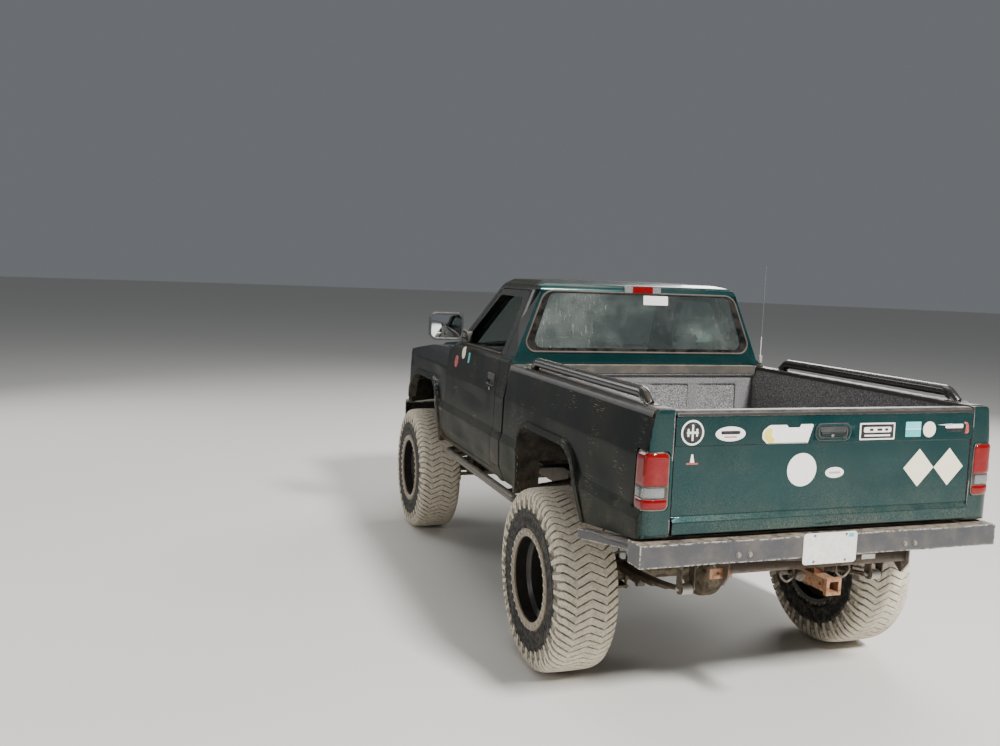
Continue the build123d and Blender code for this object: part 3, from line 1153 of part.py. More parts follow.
def tyre(front):
    """Left tyre, flat across the tread with square shoulders; its tread blocks are left to the finish."""
    half, c = TYRE_WIDTH / 2, WHEEL_X
    b, top = BEAD_RADIUS, TYRE_RADIUS
    rise = top - b
    profile = [
        (c - half + 24.5, b + 0.4, 6),
        (c - half + 21.5, b + 14, 0),
        (c - half + 10, b + 14.3, 6),
        (c - half + 2, b + 0.42 * rise, 90),
        (c - half, b + 0.6 * rise, 60),
        (c - half + 8, top - 46, 20),
        (c - half + 26, top - 6, 14),
        (c - half + 90, top, 300),
        (c + half - 90, top, 300),
        (c + half - 26, top - 6, 14),
        (c + half - 8, top - 46, 20),
        (c + half, b + 0.6 * rise, 60),
        (c + half - 2, b + 0.42 * rise, 90),
        (c + half - 6, b + 40, 10),
        (c + half - 19, b + 24, 6),
        (c + half - 19, b + 4.5, 0),
        (c + half - 26.5, b + 4.5, 0),
        (c + half - 26.5, b - 1.6, 0),
        (c + half - 79, b - 1.6, 0),
        (c + half - 79, b + 20, 4),
        (c + half - 44, b + 40, 10),
        (c + half - 16, b + 0.5 * rise, 60),
        (c + half - 22, top - 60, 30),
        (c + half - 60, top - 24, 40),
        (c - half + 60, top - 24, 40),
        (c - half + 22, top - 60, 30),
        (c - half + 16, b + 0.5 * rise, 60),
        (c - half + 44, b + 40, 10),
        (c - half + 71, b + 20, 4),
        (c - half + 71, b + 0.4, 0),
    ]
    axle_y = FRONT_AXLE_Y if front else REAR_AXLE_Y
    return turned(profile, 0, axle_y, AXLE_Z)


def coil_spring():
    """Left front coil spring between its perch and tower."""
    low, high, wire, radius = AXLE_Z + 61, BED_Z - 140, 9, 50
    turns = 5
    height = high - low - 2 * wire - 0.6
    helix = Helix(pitch=height / turns, height=height, radius=radius)
    coil = sweep(Plane(origin=helix @ 0, z_dir=helix % 0) * Circle(wire), path=helix, is_frenet=True)
    return Pos(COIL_X, FRONT_AXLE_Y, low + wire + 0.3) * coil


def suspension_links():
    """Front axle links: two arms a side to the frame, and the track bar across."""
    left = []
    for axle_y, rise, frame_y, frame_z in LINKS:
        start, end = (LINK_X, axle_y, AXLE_Z + rise), (RAIL_OUT - 50, frame_y, frame_z)
        bar = rod(start, end, 19)
        for x, y, z in (start, end):
            bar += rod((x - LINK_EYE_HALF, y, z), (x + LINK_EYE_HALF, y, z), LINK_EYE)
        left.append(bar)
    track_bar = rod(TRACK_BAR_FRAME, TRACK_BAR_AXLE, 16)
    for x, y, z in (TRACK_BAR_FRAME, TRACK_BAR_AXLE):
        track_bar += rod((x, y - 26, z), (x, y + 26, z), 24)
    return left + [other_side(bar) for bar in left] + [track_bar]


def damper(low, high):
    """A damper: a body, a thinner rod, its shroud and an eye at each end."""
    start, end = Vector(*low), Vector(*high)
    run = end - start
    body = rod(tuple(start + run * 0.09), tuple(start + run * 0.55), 28) + rod(low, high, 11)
    for x, y, z in (low, high):
        body += rod((x - DAMPER_EYE_HALF, y, z), (x + DAMPER_EYE_HALF, y, z), DAMPER_EYE)
    return body + rod(tuple(start + run * 0.5), tuple(start + run * 0.84), 32)


def shock_absorbers():
    """Four dampers, one near each wheel."""
    left = [damper(DAMPER_FRONT_LOW, DAMPER_FRONT_HIGH), damper(DAMPER_REAR_LOW, DAMPER_REAR_HIGH)]
    return left + [other_side(one) for one in left]


ENGINE_HALF = 290
CASE_REAR_Y = FIREWALL_Y + 920


def engine_and_gearbox():
    """Engine with its gearbox and transfer case, as one plain heavy block."""
    y, low, high = FIREWALL_Y, GEARBOX_LOW_Z, FLOOR_Z - 34
    engine = block(-ENGINE_HALF, ENGINE_HALF, FRONT_AXLE_Y - 170, y - 60, ENGINE_LOW_Z, BED_Z + 330)
    side = [(y - 62, low, 0), (y - 62, high, 0), (y + 700, high - 12, 30), (y + 700, low, 20)]
    gearbox = along_x(side, -150, 150)
    return engine + gearbox + block(-120, 260, y + 690, CASE_REAR_Y, low + 4, FLOOR_Z - 60)


def driveshaft(start, end, radius):
    """A propeller shaft along Y between two flanges."""
    sign = 1 if end[1] > start[1] else -1
    (x0, y0, z0), (x1, y1, z1) = start, end
    y0, y1, thick = y0 + sign * SEAT, y1 - sign * SEAT, sign * 14
    shaft = rod((x0, y0, z0), (x0, y0 + thick, z0), 52) + rod((x1, y1 - thick, z1), (x1, y1, z1), 52)
    return shaft + rod((x0, y0 + thick, z0), (x1, y1 - thick, z1), radius)


def driveshafts():
    """Propeller shafts from the transfer case to the two axles."""
    x, z = FRONT_DIFF_X, FLOOR_Z - 158
    rear = driveshaft((0, CASE_REAR_Y, z), (0, REAR_AXLE_Y + REAR_NOSE, AXLE_Z), 36)
    front = driveshaft((x, FIREWALL_Y + 690, z), (x, FRONT_AXLE_Y + FRONT_NOSE, AXLE_Z), 30)
    return [rear, front]


def exhaust():
    """Exhaust pipe down the engine's side, through a muffler and over the rear axle to behind the tyre."""
    z, radius = BED_Z - 300, 32
    x, run_x = -ENGINE_HALF - radius - SEAT, 130 - RAIL_HALF
    points = [
        (x, FIREWALL_Y - 120, BED_Z - 90),
        (x, FIREWALL_Y - 120, z - 10),
        (x, FIREWALL_Y + 260, z - 10),
        (run_x, FIREWALL_Y + 800, z + 4),
        (run_x, REAR_AXLE_Y - 420, z + 4),
        (run_x - 30, REAR_AXLE_Y - 40, AXLE_Z + 215),
        (run_x - 60, REAR_AXLE_Y + TYRE_RADIUS - 128, z),
        (-RAIL_OUT - 130, REAR_AXLE_Y + TYRE_RADIUS + 52, z - 20),
        (116 - BODY_HALF, REAR_AXLE_Y + TYRE_RADIUS + 102, z - 50),
    ]
    pipe = tube_path(points, radius, 60)
    y, low, high = CAB_BACK_Y - 60, z - 66, z + 66
    left, right = run_x + 110, run_x - 110
    muffler = [(right, low, 60), (left, low, 60), (left, high, 60), (right, high, 60)]
    return pipe + along_y(muffler, y, y + 520)


def fuel_tank():
    """Fuel tank inside the left rail, with strap grooves across it."""
    y0, y1 = CAB_BACK_Y - 420, CAB_BACK_Y + 330
    x0, x1 = 120, RAIL_HALF - SEAT
    z0, z1 = BED_Z - 350, BED_Z - 140
    tank = along_y([(x0, z0, 40), (x1, z0, 60), (x1, z1, 20), (x0, z1, 20)], y0, y1)
    for y in (y0 + 180, y1 - 220):
        tank -= block(x0 - 1, x1 + 1, y, y + 40, z0 - 1, z0 + 4)
    return tank


def rock_slider():
    """Left rock slider: a tube under the rocker, turned in at its ends, on struts from the frame."""
    x, z, foot_z = BODY_HALF - 30, ROCKER_Z - 52, BED_Z - 196
    front, rear = FRONT_AXLE_Y + TYRE_RADIUS + 192, REAR_AXLE_Y - TYRE_RADIUS - 72
    points = [(x - 150, front - 20, z), (x, front + 60, z), (x, rear - 60, z), (x - 150, rear + 20, z)]
    bar = tube_path(points, 28, 70)
    for y in (front + 240, (front + rear) / 2, rear - 260):
        bar += rod((RAIL_OUT + 6, y, foot_z), (x - 10, y, z), 20)
        bar += block(RAIL_OUT + SEAT, RAIL_OUT + 10, y - 40, y + 40, foot_z - 45, foot_z + 45)
    return bar


def whip_antenna():
    """Whip antenna on a spring foot at the bed's right front corner."""
    x, y, z = -(BED_INNER_HALF + 24), BED_FRONT_Y + 78, BED_TOP_Z
    height = 694
    mast = Pos(x, y, z + 8) * Cylinder(22, 16)
    mast += Pos(x, y, z + 46) * Cylinder(11, 64)
    return mast + rod((x, y, z + 70), (x, y, z + height), 2.5)


def licence_plate():
    """Blank number plate hung on the bumper's face."""
    z = BUMPER_TOP_Z + 12
    corners = [(-152, z - 152, 10), (152, z - 152, 10), (152, z, 10), (-152, z, 10)]
    return along_y(corners, BUMPER_FACE_Y + SEAT, BUMPER_FACE_Y + SEAT + 3)


def high_brake_lamp():
    """High brake lamp over the rear window."""
    z = ROOF_Z - 58
    corners = [(-135, z - 20, 8), (135, z - 20, 8), (135, z + 22, 8), (-135, z + 22, 8)]
    return along_y(corners, CAB_BACK_Y - 52, CAB_BACK_Y - 18) - cab_outside()


def radiator():
    """Radiator and its support, standing on the rails behind the grille."""
    half, y, low = RAIL_HALF + 20, HOOD_FRONT_Y + 120, BED_Z - 90 + SEAT
    return block(-half, half, y, y + 60, low, BED_Z + 380)


def pair(left):
    """A left piece and its mirror image."""
    return [left, other_side(left)]


def pieces():
    """Every node of the model by name: a shape, or a list of shapes that don't touch."""
    found = {
        "ladder_frame": ladder_frame(),
        "engine_and_gearbox": engine_and_gearbox(),
        "driveshafts": driveshafts(),
        "front_axle": front_axle(),
        "rear_axle": rear_axle(),
        "coil_springs": pair(coil_spring()),
        "suspension_links": suspension_links(),
        "leaf_springs": pair(leaf_spring()),
        "shock_absorbers": shock_absorbers(),
        "exhaust": exhaust(),
        "fuel_tank": fuel_tank(),
        "steering_box": steering_box(),
        "dashboard": dashboard(),
        "bench_seat": bench_seat(),
        "front_fenders": pair(front_fender()),
        "headlamps": pair(headlamp()),
        "grille": grille(),
        "radiator": radiator(),
        "front_bumper": front_bumper(),
        "hood": hood(),
        "bed_sides": pair(bed_side()),
        "bed_floor": bed_floor(),
        "bed_front_wall": bed_front_wall(),
        "tailgate": [tailgate(), tailgate_handle()],
        "tail_lamps": pair(tail_lamp()) + [high_brake_lamp()],
        "bed_rails": pair(bed_rail()),
        "rear_bumper": rear_bumper(),
        "hitch_receiver": hitch_receiver(),
        "licence_plate": licence_plate(),
        "rock_sliders": pair(rock_slider()),
        "whip_antenna": whip_antenna(),
        "door_glass_right": other_side(door_glass()),
        "steering_wheel": steering_wheel(),
        "tie_rod": tie_rod(),
        "pitman_arm": pitman_arm(),
        "drag_link": drag_link(),
        "knuckle_left": knuckle(True),
        "knuckle_right": knuckle(False),
    }
    found.update(cab_pieces())
    found["door_left"], found["door_right"] = pair(door())
    found["mirror_left"], found["mirror_right"] = pair(door_mirror())
    for place, front in (("front", True), ("rear", False)):
        found[f"rim_{place}_left"], found[f"rim_{place}_right"] = pair(rim(front))
        found[f"tyre_{place}_left"], found[f"tyre_{place}_right"] = pair(tyre(front))
    return found


def solids_of(shape):
    """The solids of one shape or of a list of shapes."""
    several = shape if isinstance(shape, list) else [shape]
    return [solid for one in several for solid in one.solids()]


if __name__ == "__main__":
    os.makedirs("parts", exist_ok=True)
    for name, shape in pieces().items():
        export_step(Compound(solids_of(shape)), f"parts/{name}.step")
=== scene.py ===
"""Looks of a lifted off-road pickup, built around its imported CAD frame. Metres, nose towards -Y."""

import json
from math import cos, pi, radians, sin, sqrt, tan

import bmesh
import bpy
from mathutils import Matrix, Vector
from mathutils.bvhtree import BVHTree

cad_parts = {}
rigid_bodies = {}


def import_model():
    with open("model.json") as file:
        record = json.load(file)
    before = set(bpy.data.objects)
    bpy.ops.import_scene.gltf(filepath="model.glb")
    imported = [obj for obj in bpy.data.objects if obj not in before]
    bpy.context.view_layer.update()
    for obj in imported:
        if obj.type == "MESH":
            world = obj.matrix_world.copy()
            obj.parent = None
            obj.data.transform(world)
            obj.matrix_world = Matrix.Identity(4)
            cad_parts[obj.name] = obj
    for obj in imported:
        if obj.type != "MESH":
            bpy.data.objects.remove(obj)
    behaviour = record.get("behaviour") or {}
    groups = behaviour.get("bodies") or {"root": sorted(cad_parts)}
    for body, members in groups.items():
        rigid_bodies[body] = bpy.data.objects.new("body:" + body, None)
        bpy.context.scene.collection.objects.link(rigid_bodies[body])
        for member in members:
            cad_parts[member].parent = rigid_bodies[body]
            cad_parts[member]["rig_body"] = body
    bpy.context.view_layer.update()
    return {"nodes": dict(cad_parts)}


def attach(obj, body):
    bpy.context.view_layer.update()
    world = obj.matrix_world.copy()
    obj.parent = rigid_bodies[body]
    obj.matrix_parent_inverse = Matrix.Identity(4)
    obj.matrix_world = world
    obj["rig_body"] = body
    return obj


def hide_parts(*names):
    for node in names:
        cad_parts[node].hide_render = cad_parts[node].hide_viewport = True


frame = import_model()
NODES = frame["nodes"]
MM = 0.001


# Colours and shader nodes


def colour(code):
    """An sRGB hex value as linear red, green, blue and alpha."""
    values = [int(code[i : i + 2], 16) / 255 for i in (0, 2, 4)]
    return [v / 12.92 if v <= 0.04045 else ((v + 0.055) / 1.055) ** 2.4 for v in values] + [1.0]


def add(tree, kind, inputs=None, **settings):
    """Adds a node; inputs are its sockets' values, or the sockets that feed them."""
    made = tree.nodes.new(kind)
    for name, value in settings.items():
        setattr(made, name, value)
    for name, value in (inputs or {}).items():
        if isinstance(value, bpy.types.NodeSocket):
            tree.links.new(value, made.inputs[name])
        else:
            made.inputs[name].default_value = value
    return made


class Look:
    """A material in the making: its node tree, its shader and the piece's own coordinates, in metres."""

    def __init__(self, name, **sockets):
        self.material = bpy.data.materials.new(name)
        self.material.use_nodes = True
        self.tree = self.material.node_tree
        self.shader = self.tree.nodes["Principled BSDF"]
        for socket, value in sockets.items():
            self.shader.inputs[socket.replace("_", " ")].default_value = value
        coordinates = self.add("ShaderNodeTexCoord").outputs
        self.at, self.facing = coordinates["Object"], coordinates["Normal"]

    def add(self, kind, inputs=None, **settings):
        """Adds a node to this material."""
        return add(self.tree, kind, inputs, **settings)

    def gives(self, socket, value):
        """Leads a value into one of the shader's inputs."""
        self.tree.links.new(value, self.shader.inputs[socket])

    def speckle(self, size, detail=3.0, roughness=0.55, stretch=None):
        """Noise from 0 to 1 whose grains are about size metres across, drawn out by stretch."""
        at = self.at
        if stretch:
            at = self.add("ShaderNodeMapping", {"Vector": at, "Scale": stretch}).outputs[0]
        settings = {"Vector": at, "Scale": 1 / size, "Detail": detail, "Roughness": roughness}
        return self.add("ShaderNodeTexNoise", settings).outputs[0]

    def ramp(self, value, low, high, first=0.0, last=1.0):
        """Value spread from first at low to last at high, and held beyond them."""
        settings = {"Value": value, "From Min": low, "From Max": high, "To Min": first, "To Max": last}
        return self.add("ShaderNodeMapRange", settings, interpolation_type="SMOOTHSTEP").outputs[0]

    def patches(self, size, detail, low, high, first=0.0, last=1.0):
        """Speckle spread from first where it is below low to last where it is above high."""
        return self.ramp(self.speckle(size, detail), low, high, first, last)

    def sums(self, operation, a, b, clamped=True):
        """One sum of two numbers or sockets."""
        return self.add("ShaderNodeMath", {0: a, 1: b}, operation=operation, use_clamp=clamped).outputs[0]

    def times(self, a, b):
        """Two shares multiplied."""
        return self.sums("MULTIPLY", a, b)

    def plus(self, a, b):
        """Two shares added, up to 1."""
        return self.sums("ADD", a, b)

    def blended(self, share, a, b):
        """Colour a turning to colour b by share; a colour is a socket, an sRGB hex value or four numbers."""
        a, b = (colour(tone) if isinstance(tone, str) else tone for tone in (a, b))
        return self.add("ShaderNodeMix", {0: share, 6: a, 7: b}, data_type="RGBA").outputs[2]

    def part(self, vector, i):
        """One of a vector's three numbers."""
        return self.add("ShaderNodeSeparateXYZ", {0: vector}).outputs[i]

    def edges(self, radius):
        """How much a point lies on an outer or inner edge, within radius metres."""
        rounded_off = self.add("ShaderNodeBevel", {"Radius": radius}, samples=4).outputs[0]
        flat = self.add("ShaderNodeNewGeometry").outputs["Normal"]
        along = self.add("ShaderNodeVectorMath", {0: rounded_off, 1: flat}, operation="DOT_PRODUCT")
        return self.ramp(along.outputs["Value"], 0.995, 0.9)

    def lying_dust(self, low, high, grain=0.05):
        """Dust that settles on what faces up, and dust that thickens from z high down to z low."""
        cloud = self.speckle(grain, 6.0, 0.65)
        settled = self.times(self.ramp(self.part(self.facing, 2), 0.2, 1.0), self.ramp(cloud, 0.3, 0.65))
        splashed = self.times(self.ramp(self.part(self.at, 2), high, low), self.ramp(cloud, 0.25, 0.7))
        return settled, splashed

    def grained(self, height, distance, strength):
        """Gives the shader small relief, distance metres deep."""
        settings = {"Height": height, "Distance": distance, "Strength": strength}
        self.gives("Normal", self.add("ShaderNodeBump", settings).outputs[0])


DUST = colour("b7a58a")
PALE_DUST = colour("d2c4ab")


# Materials, each named for what the real one is


def enamel(
    name, base, flake, low=0.9, high=1.32, dust=1.0, bare="8d8a84", chips=0.35, lacquer=0.85,
    rough=0.3, scratch=0.35, shaded_flank=None,
):
    """Metallic enamel under clear lacquer: flake glints, dust greys it, and edges are chipped.

    Where a side tone is given, the paint turns to it, duller and darker, where it faces sideways: painted
    shade.
    """
    look = Look(name, Coat_Roughness=0.07, IOR=1.45, Specular_IOR_Level=0.12)
    glint = look.speckle(1.6 * MM, 1.0)  # real flake is 0.05 mm, drawn coarser to show
    green = look.blended(look.ramp(glint, 0.45, 0.75), base, flake)
    fade = look.speckle(0.9, 3.0)
    green = look.blended(look.ramp(fade, 0.3, 0.8, 0.0, 0.12), green, flake)
    shine = lacquer
    # Painted shade: the paint darkens towards the side tone where it faces sideways
    if shaded_flank:
        across = look.add("ShaderNodeMath", {0: look.part(look.facing, 0)}, operation="ABSOLUTE").outputs[0]
        across = look.ramp(across, 0.35, 0.85)
        green = look.blended(across, green, shaded_flank)
        shine = look.ramp(across, 0.0, 1.0, lacquer, 0.2 * lacquer)
    settled, splashed = look.lying_dust(low, high, 0.4)
    film = look.ramp(look.speckle(0.3, 6.0, 0.6), 0.35, 0.8, 0.005, 0.05)
    spots = look.patches(3.5 * MM, 2.0, 0.54, 0.66, 0.0, 0.8)
    splashed = look.times(splashed, look.plus(spots, 0.07))
    settled = look.times(settled, look.plus(look.times(spots, 0.3), 0.09))
    cover = look.plus(film, look.plus(settled, splashed))
    cover = look.times(cover, dust)
    hair = look.speckle(2.2 * MM, 2.0, 0.5, (1.0, 0.03, 1.0))
    hair = look.times(look.ramp(hair, 0.64, 0.69), look.ramp(look.speckle(0.2), 0.5, 0.66))
    cover = look.sums("MAXIMUM", cover, look.times(hair, scratch))
    worn = look.times(look.edges(2.5 * MM), look.ramp(look.speckle(0.03), 0.52, 0.6))
    worn = look.times(worn, chips)
    tone = look.blended(cover, green, DUST)
    tone = look.blended(worn, tone, bare)
    look.gives("Base Color", tone)
    look.gives("Metallic", look.ramp(cover, 0.0, 0.8, 0.4, 0.0))
    look.gives("Roughness", look.ramp(cover, 0.0, 0.7, rough, 0.85))
    look.gives("Coat Weight", look.ramp(cover, 0.02, 0.5, shine, 0.05))
    look.grained(look.speckle(0.35, 2.0), 0.8 * MM, 0.25)
    return look.material


def coated_steel(name, base, bare, low=0.3, high=1.2, chips=1.0, rough=0.5, dust=1.0, rust=0.0, edge=4 * MM):
    """Painted or powder-coated steel: bare along its edges, scuffed, dusty, with rust where it is bare."""
    look = Look(name, IOR=1.5)
    settled, splashed = look.lying_dust(low, high, 0.045)
    cover = look.times(look.sums("MAXIMUM", settled, splashed), 0.62 * dust)
    cover = look.plus(cover, look.patches(0.12, 5.0, 0.4, 0.75, 0.02, 0.16 * dust))
    rub = look.times(look.edges(edge), look.patches(0.02, 5.0, 0.4, 0.56))
    scuff = look.speckle(3 * MM, 3.0, 0.6, (0.12, 1.0, 1.0))
    scuff = look.times(look.ramp(scuff, 0.68, 0.76), look.ramp(look.speckle(0.1), 0.5, 0.62))
    rub = look.times(look.sums("MAXIMUM", rub, scuff), chips)
    stain = look.ramp(look.speckle(0.035, 6.0, 0.7), 0.62 - 0.32 * rust, 0.75 - 0.25 * rust)
    metal = look.blended(look.times(stain, 0.2 + 0.8 * rust), bare, "7a3f22")
    coat = look.blended(look.patches(0.006, 2.0, 0.4, 0.7, 0.0, 0.3), base, "4a4a4a")
    coat = look.blended(look.times(stain, rust), coat, "6b3a20")
    tone = look.blended(cover, look.blended(rub, coat, metal), DUST)
    look.gives("Base Color", tone)
    shine = look.times(rub, look.sums("SUBTRACT", 1.0, cover))
    look.gives("Metallic", look.times(shine, 0.6 - 0.5 * rust))
    look.gives("Roughness", look.ramp(cover, 0.0, 0.7, rough, 0.9))
    look.grained(look.speckle(1.5 * MM, 3.0), 0.15 * MM, 0.6)
    return look.material


def bare_steel(name, base, rust, amount, low=0.3, high=1.1, dust=0.7):
    """Bare forged or rolled steel, spotted with rust and dusty where it faces up."""
    look = Look(name, Metallic=0.55, IOR=1.5)
    scale = look.ramp(look.speckle(0.03, 8.0, 0.68), 0.62 - 0.3 * amount, 0.7)
    scale = look.times(scale, 0.35 + 0.65 * amount)
    mottle = look.patches(0.008, 4.0, 0.35, 0.7)
    rusty = look.blended(mottle, rust, "4b2a1b")
    tone = look.blended(scale, base, rusty)
    settled, splashed = look.lying_dust(low, high, 0.04)
    cover = look.times(look.sums("MAXIMUM", settled, splashed), dust)
    tone = look.blended(cover, tone, DUST)
    look.gives("Base Color", tone)
    look.gives("Roughness", look.ramp(look.sums("MAXIMUM", scale, cover), 0.0, 0.8, 0.42, 0.92))
    look.grained(look.speckle(2.5 * MM, 5.0), 0.3 * MM, 0.7)
    return look.material


def moulded(name, base, grain=0.9 * MM, rough=0.55, dust=0.5, low=0.4, high=1.5, pale="7d776c"):
    """Moulded plastic or rubber with a fine leather grain, faded and dusty."""
    look = Look(name, IOR=1.46)
    settled, splashed = look.lying_dust(low, high, 0.05)
    cover = look.times(look.sums("MAXIMUM", settled, splashed), dust)
    fade = look.patches(0.08, 5.0, 0.35, 0.7, 0.0, 0.16)
    tone = look.blended(fade, base, pale)
    look.gives("Base Color", look.blended(cover, tone, DUST))
    look.gives("Roughness", look.ramp(cover, 0.0, 0.8, rough, 0.92))
    cells = look.add("ShaderNodeTexVoronoi", {"Vector": look.at, "Scale": 1 / grain}).outputs["Distance"]
    look.grained(cells, 0.12 * MM, 0.5)
    return look.material


def pane(name, tint, dust, haze=0.25):
    """Toughened glass, smooth and tinted in its mass, with a film of dust and wiped streaks."""
    look = Look(name, IOR=1.5, Coat_Weight=0.0)
    film = look.ramp(look.speckle(0.3, 6.0, 0.62), 0.3, 0.75, 0.05, haze)
    streak = look.speckle(0.012, 4.0, 0.6, (1.0, 1.0, 0.12))
    film = look.plus(film, look.ramp(streak, 0.55, 0.8, 0.0, haze * 0.8))
    film = look.plus(film, look.patches(2.5 * MM, 1.0, 0.68, 0.74, 0.0, haze * 0.7))
    film = look.times(film, dust)
    look.gives("Base Color", look.blended(film, tint, PALE_DUST))
    look.gives("Transmission Weight", look.ramp(film, 0.0, 0.8, 0.96, 0.1))
    look.gives("Roughness", look.ramp(film, 0.0, 0.6, 0.02, 0.7))
    return look.material


def lens(name, tint, pitch, through=0.55, along=2):
    """Moulded acrylic lens: flutes on the inside, drawn as darker stripes in the tint that are partly painted
    shade, patches of dust and a hard outer gloss.
    """
    gloss = {"Coat_Weight": 0.5, "Coat_Roughness": 0.05, "Specular_IOR_Level": 0.2}
    look = Look(name, IOR=1.49, Transmission_Weight=through, **gloss)
    flute = look.sums("MULTIPLY", look.part(look.at, along), 2 * pi / pitch, clamped=False)
    flute = look.add("ShaderNodeMath", {0: flute}, operation="SINE").outputs[0]
    # Partly painted shade: the flutes darken the tint in stripes
    painted_flute_shade = look.ramp(flute, -1.0, 1.0, 0.0, 0.35)
    deep = [v * 0.45 for v in colour(tint)[:3]] + [1.0]
    film = look.patches(0.05, 6.0, 0.45, 0.8, 0.0, 0.05)
    tone = look.blended(painted_flute_shade, tint, deep)
    look.gives("Base Color", look.blended(film, tone, DUST))
    look.gives("Roughness", look.ramp(film, 0.0, 0.3, 0.08, 0.35))
    look.grained(flute, 0.4 * MM, 0.35)
    return look.material


def plated(name, base, rough, film=0.3):
    """Chrome or bright metal, with a dull film of dust."""
    look = Look(name, Metallic=1.0)
    cover = look.patches(0.04, 6.0, 0.4, 0.8, 0.0, film)
    look.gives("Base Color", look.blended(cover, base, DUST))
    look.gives("Roughness", look.ramp(cover, 0.0, 0.5, rough, 0.7))
    return look.material


def tyre_rubber():
    """Cured rubber, tan where dust is worked into it and black elsewhere, set by the piece's dust map; the
    black in the grooves and on the sidewalls is painted shade.
    """
    look = Look("tyre_rubber_dusty_painted_shade", IOR=1.5, Specular_IOR_Level=0.3)
    dust_and_shade = look.add("ShaderNodeAttribute", attribute_name="dust").outputs["Fac"]
    cloud = look.speckle(0.03, 7.0, 0.68)
    cover = look.plus(dust_and_shade, look.ramp(cloud, 0.3, 0.7, -0.32, 0.3))
    cover = look.times(cover, look.ramp(dust_and_shade, 0.0, 0.15, 0.15, 1.0))
    tan_tone = look.blended(look.patches(0.008, 3.0, 0.35, 0.7), "c6b9a2", "ddd5c6")
    black = look.blended(look.ramp(cloud, 0.3, 0.7), "131211", "2a2724")
    look.gives("Base Color", look.blended(cover, black, tan_tone))
    look.gives("Roughness", look.ramp(cover, 0.0, 0.8, 0.62, 0.96))
    look.grained(look.speckle(3 * MM, 5.0), 0.35 * MM, 0.8)
    return look.material


def vinyl(name, base, fade="d8d4c8", film=0.25):
    """Printed vinyl film, faded and finely dusty."""
    look = Look(name, IOR=1.46, Roughness=0.42)
    cover = look.patches(0.02, 6.0, 0.35, 0.75, 0.0, film)
    look.gives("Base Color", look.blended(cover, base, fade))
    look.grained(look.speckle(0.01, 2.0), 0.1 * MM, 0.3)
    return look.material


def woven_cloth(name, base, thread=1.6 * MM):
    """Plain woven seat cloth: crossed threads drawn at 1.6 mm, soft sheen, faded in patches."""
    look = Look(name, Roughness=0.95, Sheen_Weight=0.35, Sheen_Roughness=0.5, IOR=1.5)
    waves = []
    for i in (0, 2):
        slant = look.sums("ADD", look.part(look.at, i), look.part(look.at, 1), clamped=False)
        slant = look.sums("MULTIPLY", slant, 2 * pi / thread, clamped=False)
        waves.append(look.add("ShaderNodeMath", {0: slant}, operation="SINE").outputs[0])
    weave = look.sums("MULTIPLY", *waves, clamped=False)
    fade = look.patches(0.15, 5.0, 0.35, 0.7, 0.0, 0.35)
    tone = look.blended(look.ramp(weave, -1.0, 1.0, 0.0, 0.3), base, "4c4c50")
    look.gives("Base Color", look.blended(fade, tone, "a39f98"))
    look.grained(weave, 0.25 * MM, 0.6)
    return look.material


def sprayed_liner():
    """Sprayed polyurethane bed liner: a coarse pebble, dark grey flecked with dust and worn spots."""
    look = Look("polyurethane_liner_sprayed", IOR=1.5, Roughness=0.8)
    pebble = look.add("ShaderNodeTexVoronoi", {"Vector": look.at, "Scale": 1 / (5 * MM)}).outputs["Distance"]
    fleck = look.ramp(look.speckle(5 * MM, 3.0, 0.7), 0.45, 0.66, 0.0, 0.7)
    settled, _ = look.lying_dust(0.9, 1.3, 0.12)
    cover = look.plus(fleck, look.times(settled, 0.5))
    tone = look.blended(cover, "4c4c50", "cbc6bf")
    look.gives("Base Color", tone)
    look.grained(pebble, 0.8 * MM, 0.9)
    return look.material


# Sprayed enamel: deep green with a fine glint, glossy behind, dull beside and dark low down; its dark tone
# beside is painted shade
PAINT = enamel("green_metallic_enamel_lacquered", "042425", "125152", dust=0.6, lacquer=0.45, shaded_flank="060f10")
# Painted shade: a near-black copy of the green paint for the sides, also scuffed and chipped
SHADED_SIDE_PAINT = enamel(
    "green_metallic_enamel_scuffed_painted_shade", "030908", "0a1c1b", dust=0.65, chips=0.6, lacquer=0.08,
    rough=0.5, scratch=0.7,
)
LOW_PAINT = enamel(
    "green_enamel_stone_chipped", "0d1715", "1b2b26", low=0.7, high=1.3, dust=0.9, lacquer=0.05, rough=0.55
)
ROOF_PAINT = enamel("green_enamel_sun_dulled", "0d1413", "1a2925", dust=0.5, lacquer=0.05, rough=0.6)
# Sprayed and cured: a coarse pebble in the bed, tan dust worked into the tyres, kept black as painted shade
# in their grooves and on their sidewalls
LINER = sprayed_liner()
RUBBER = tyre_rubber()
# Powder-coated or enamelled steel: satin black to grey, bright where an edge is rubbed
BUMPER_COAT = coated_steel(
    "black_powder_coat_scuffed", "35373d", "d8d5cd", high=1.05, chips=1.0, rough=0.34, dust=0.75,
    edge=11 * MM,
)
FRAME_COAT = coated_steel("black_chassis_paint_chipped", "151515", "6d665c", chips=0.5, rust=0.25, dust=1.1)
TUBE_COAT = coated_steel(
    "black_tube_enamel_satin", "101112", "77746d", low=0.5, high=1.3, chips=0.25, rough=0.3, dust=0.6
)
WHEEL_COAT = coated_steel(
    "black_wheel_enamel_dusty", "0b0d12", "6f6b64", low=0.1, high=0.9, chips=0.3, rough=0.28, dust=0.12
)
RING_COAT = coated_steel(
    "grey_bead_ring_dusty", "857b6b", "cfc7b6", low=0.1, high=0.9, chips=0.7, rough=0.5, dust=1.2
)
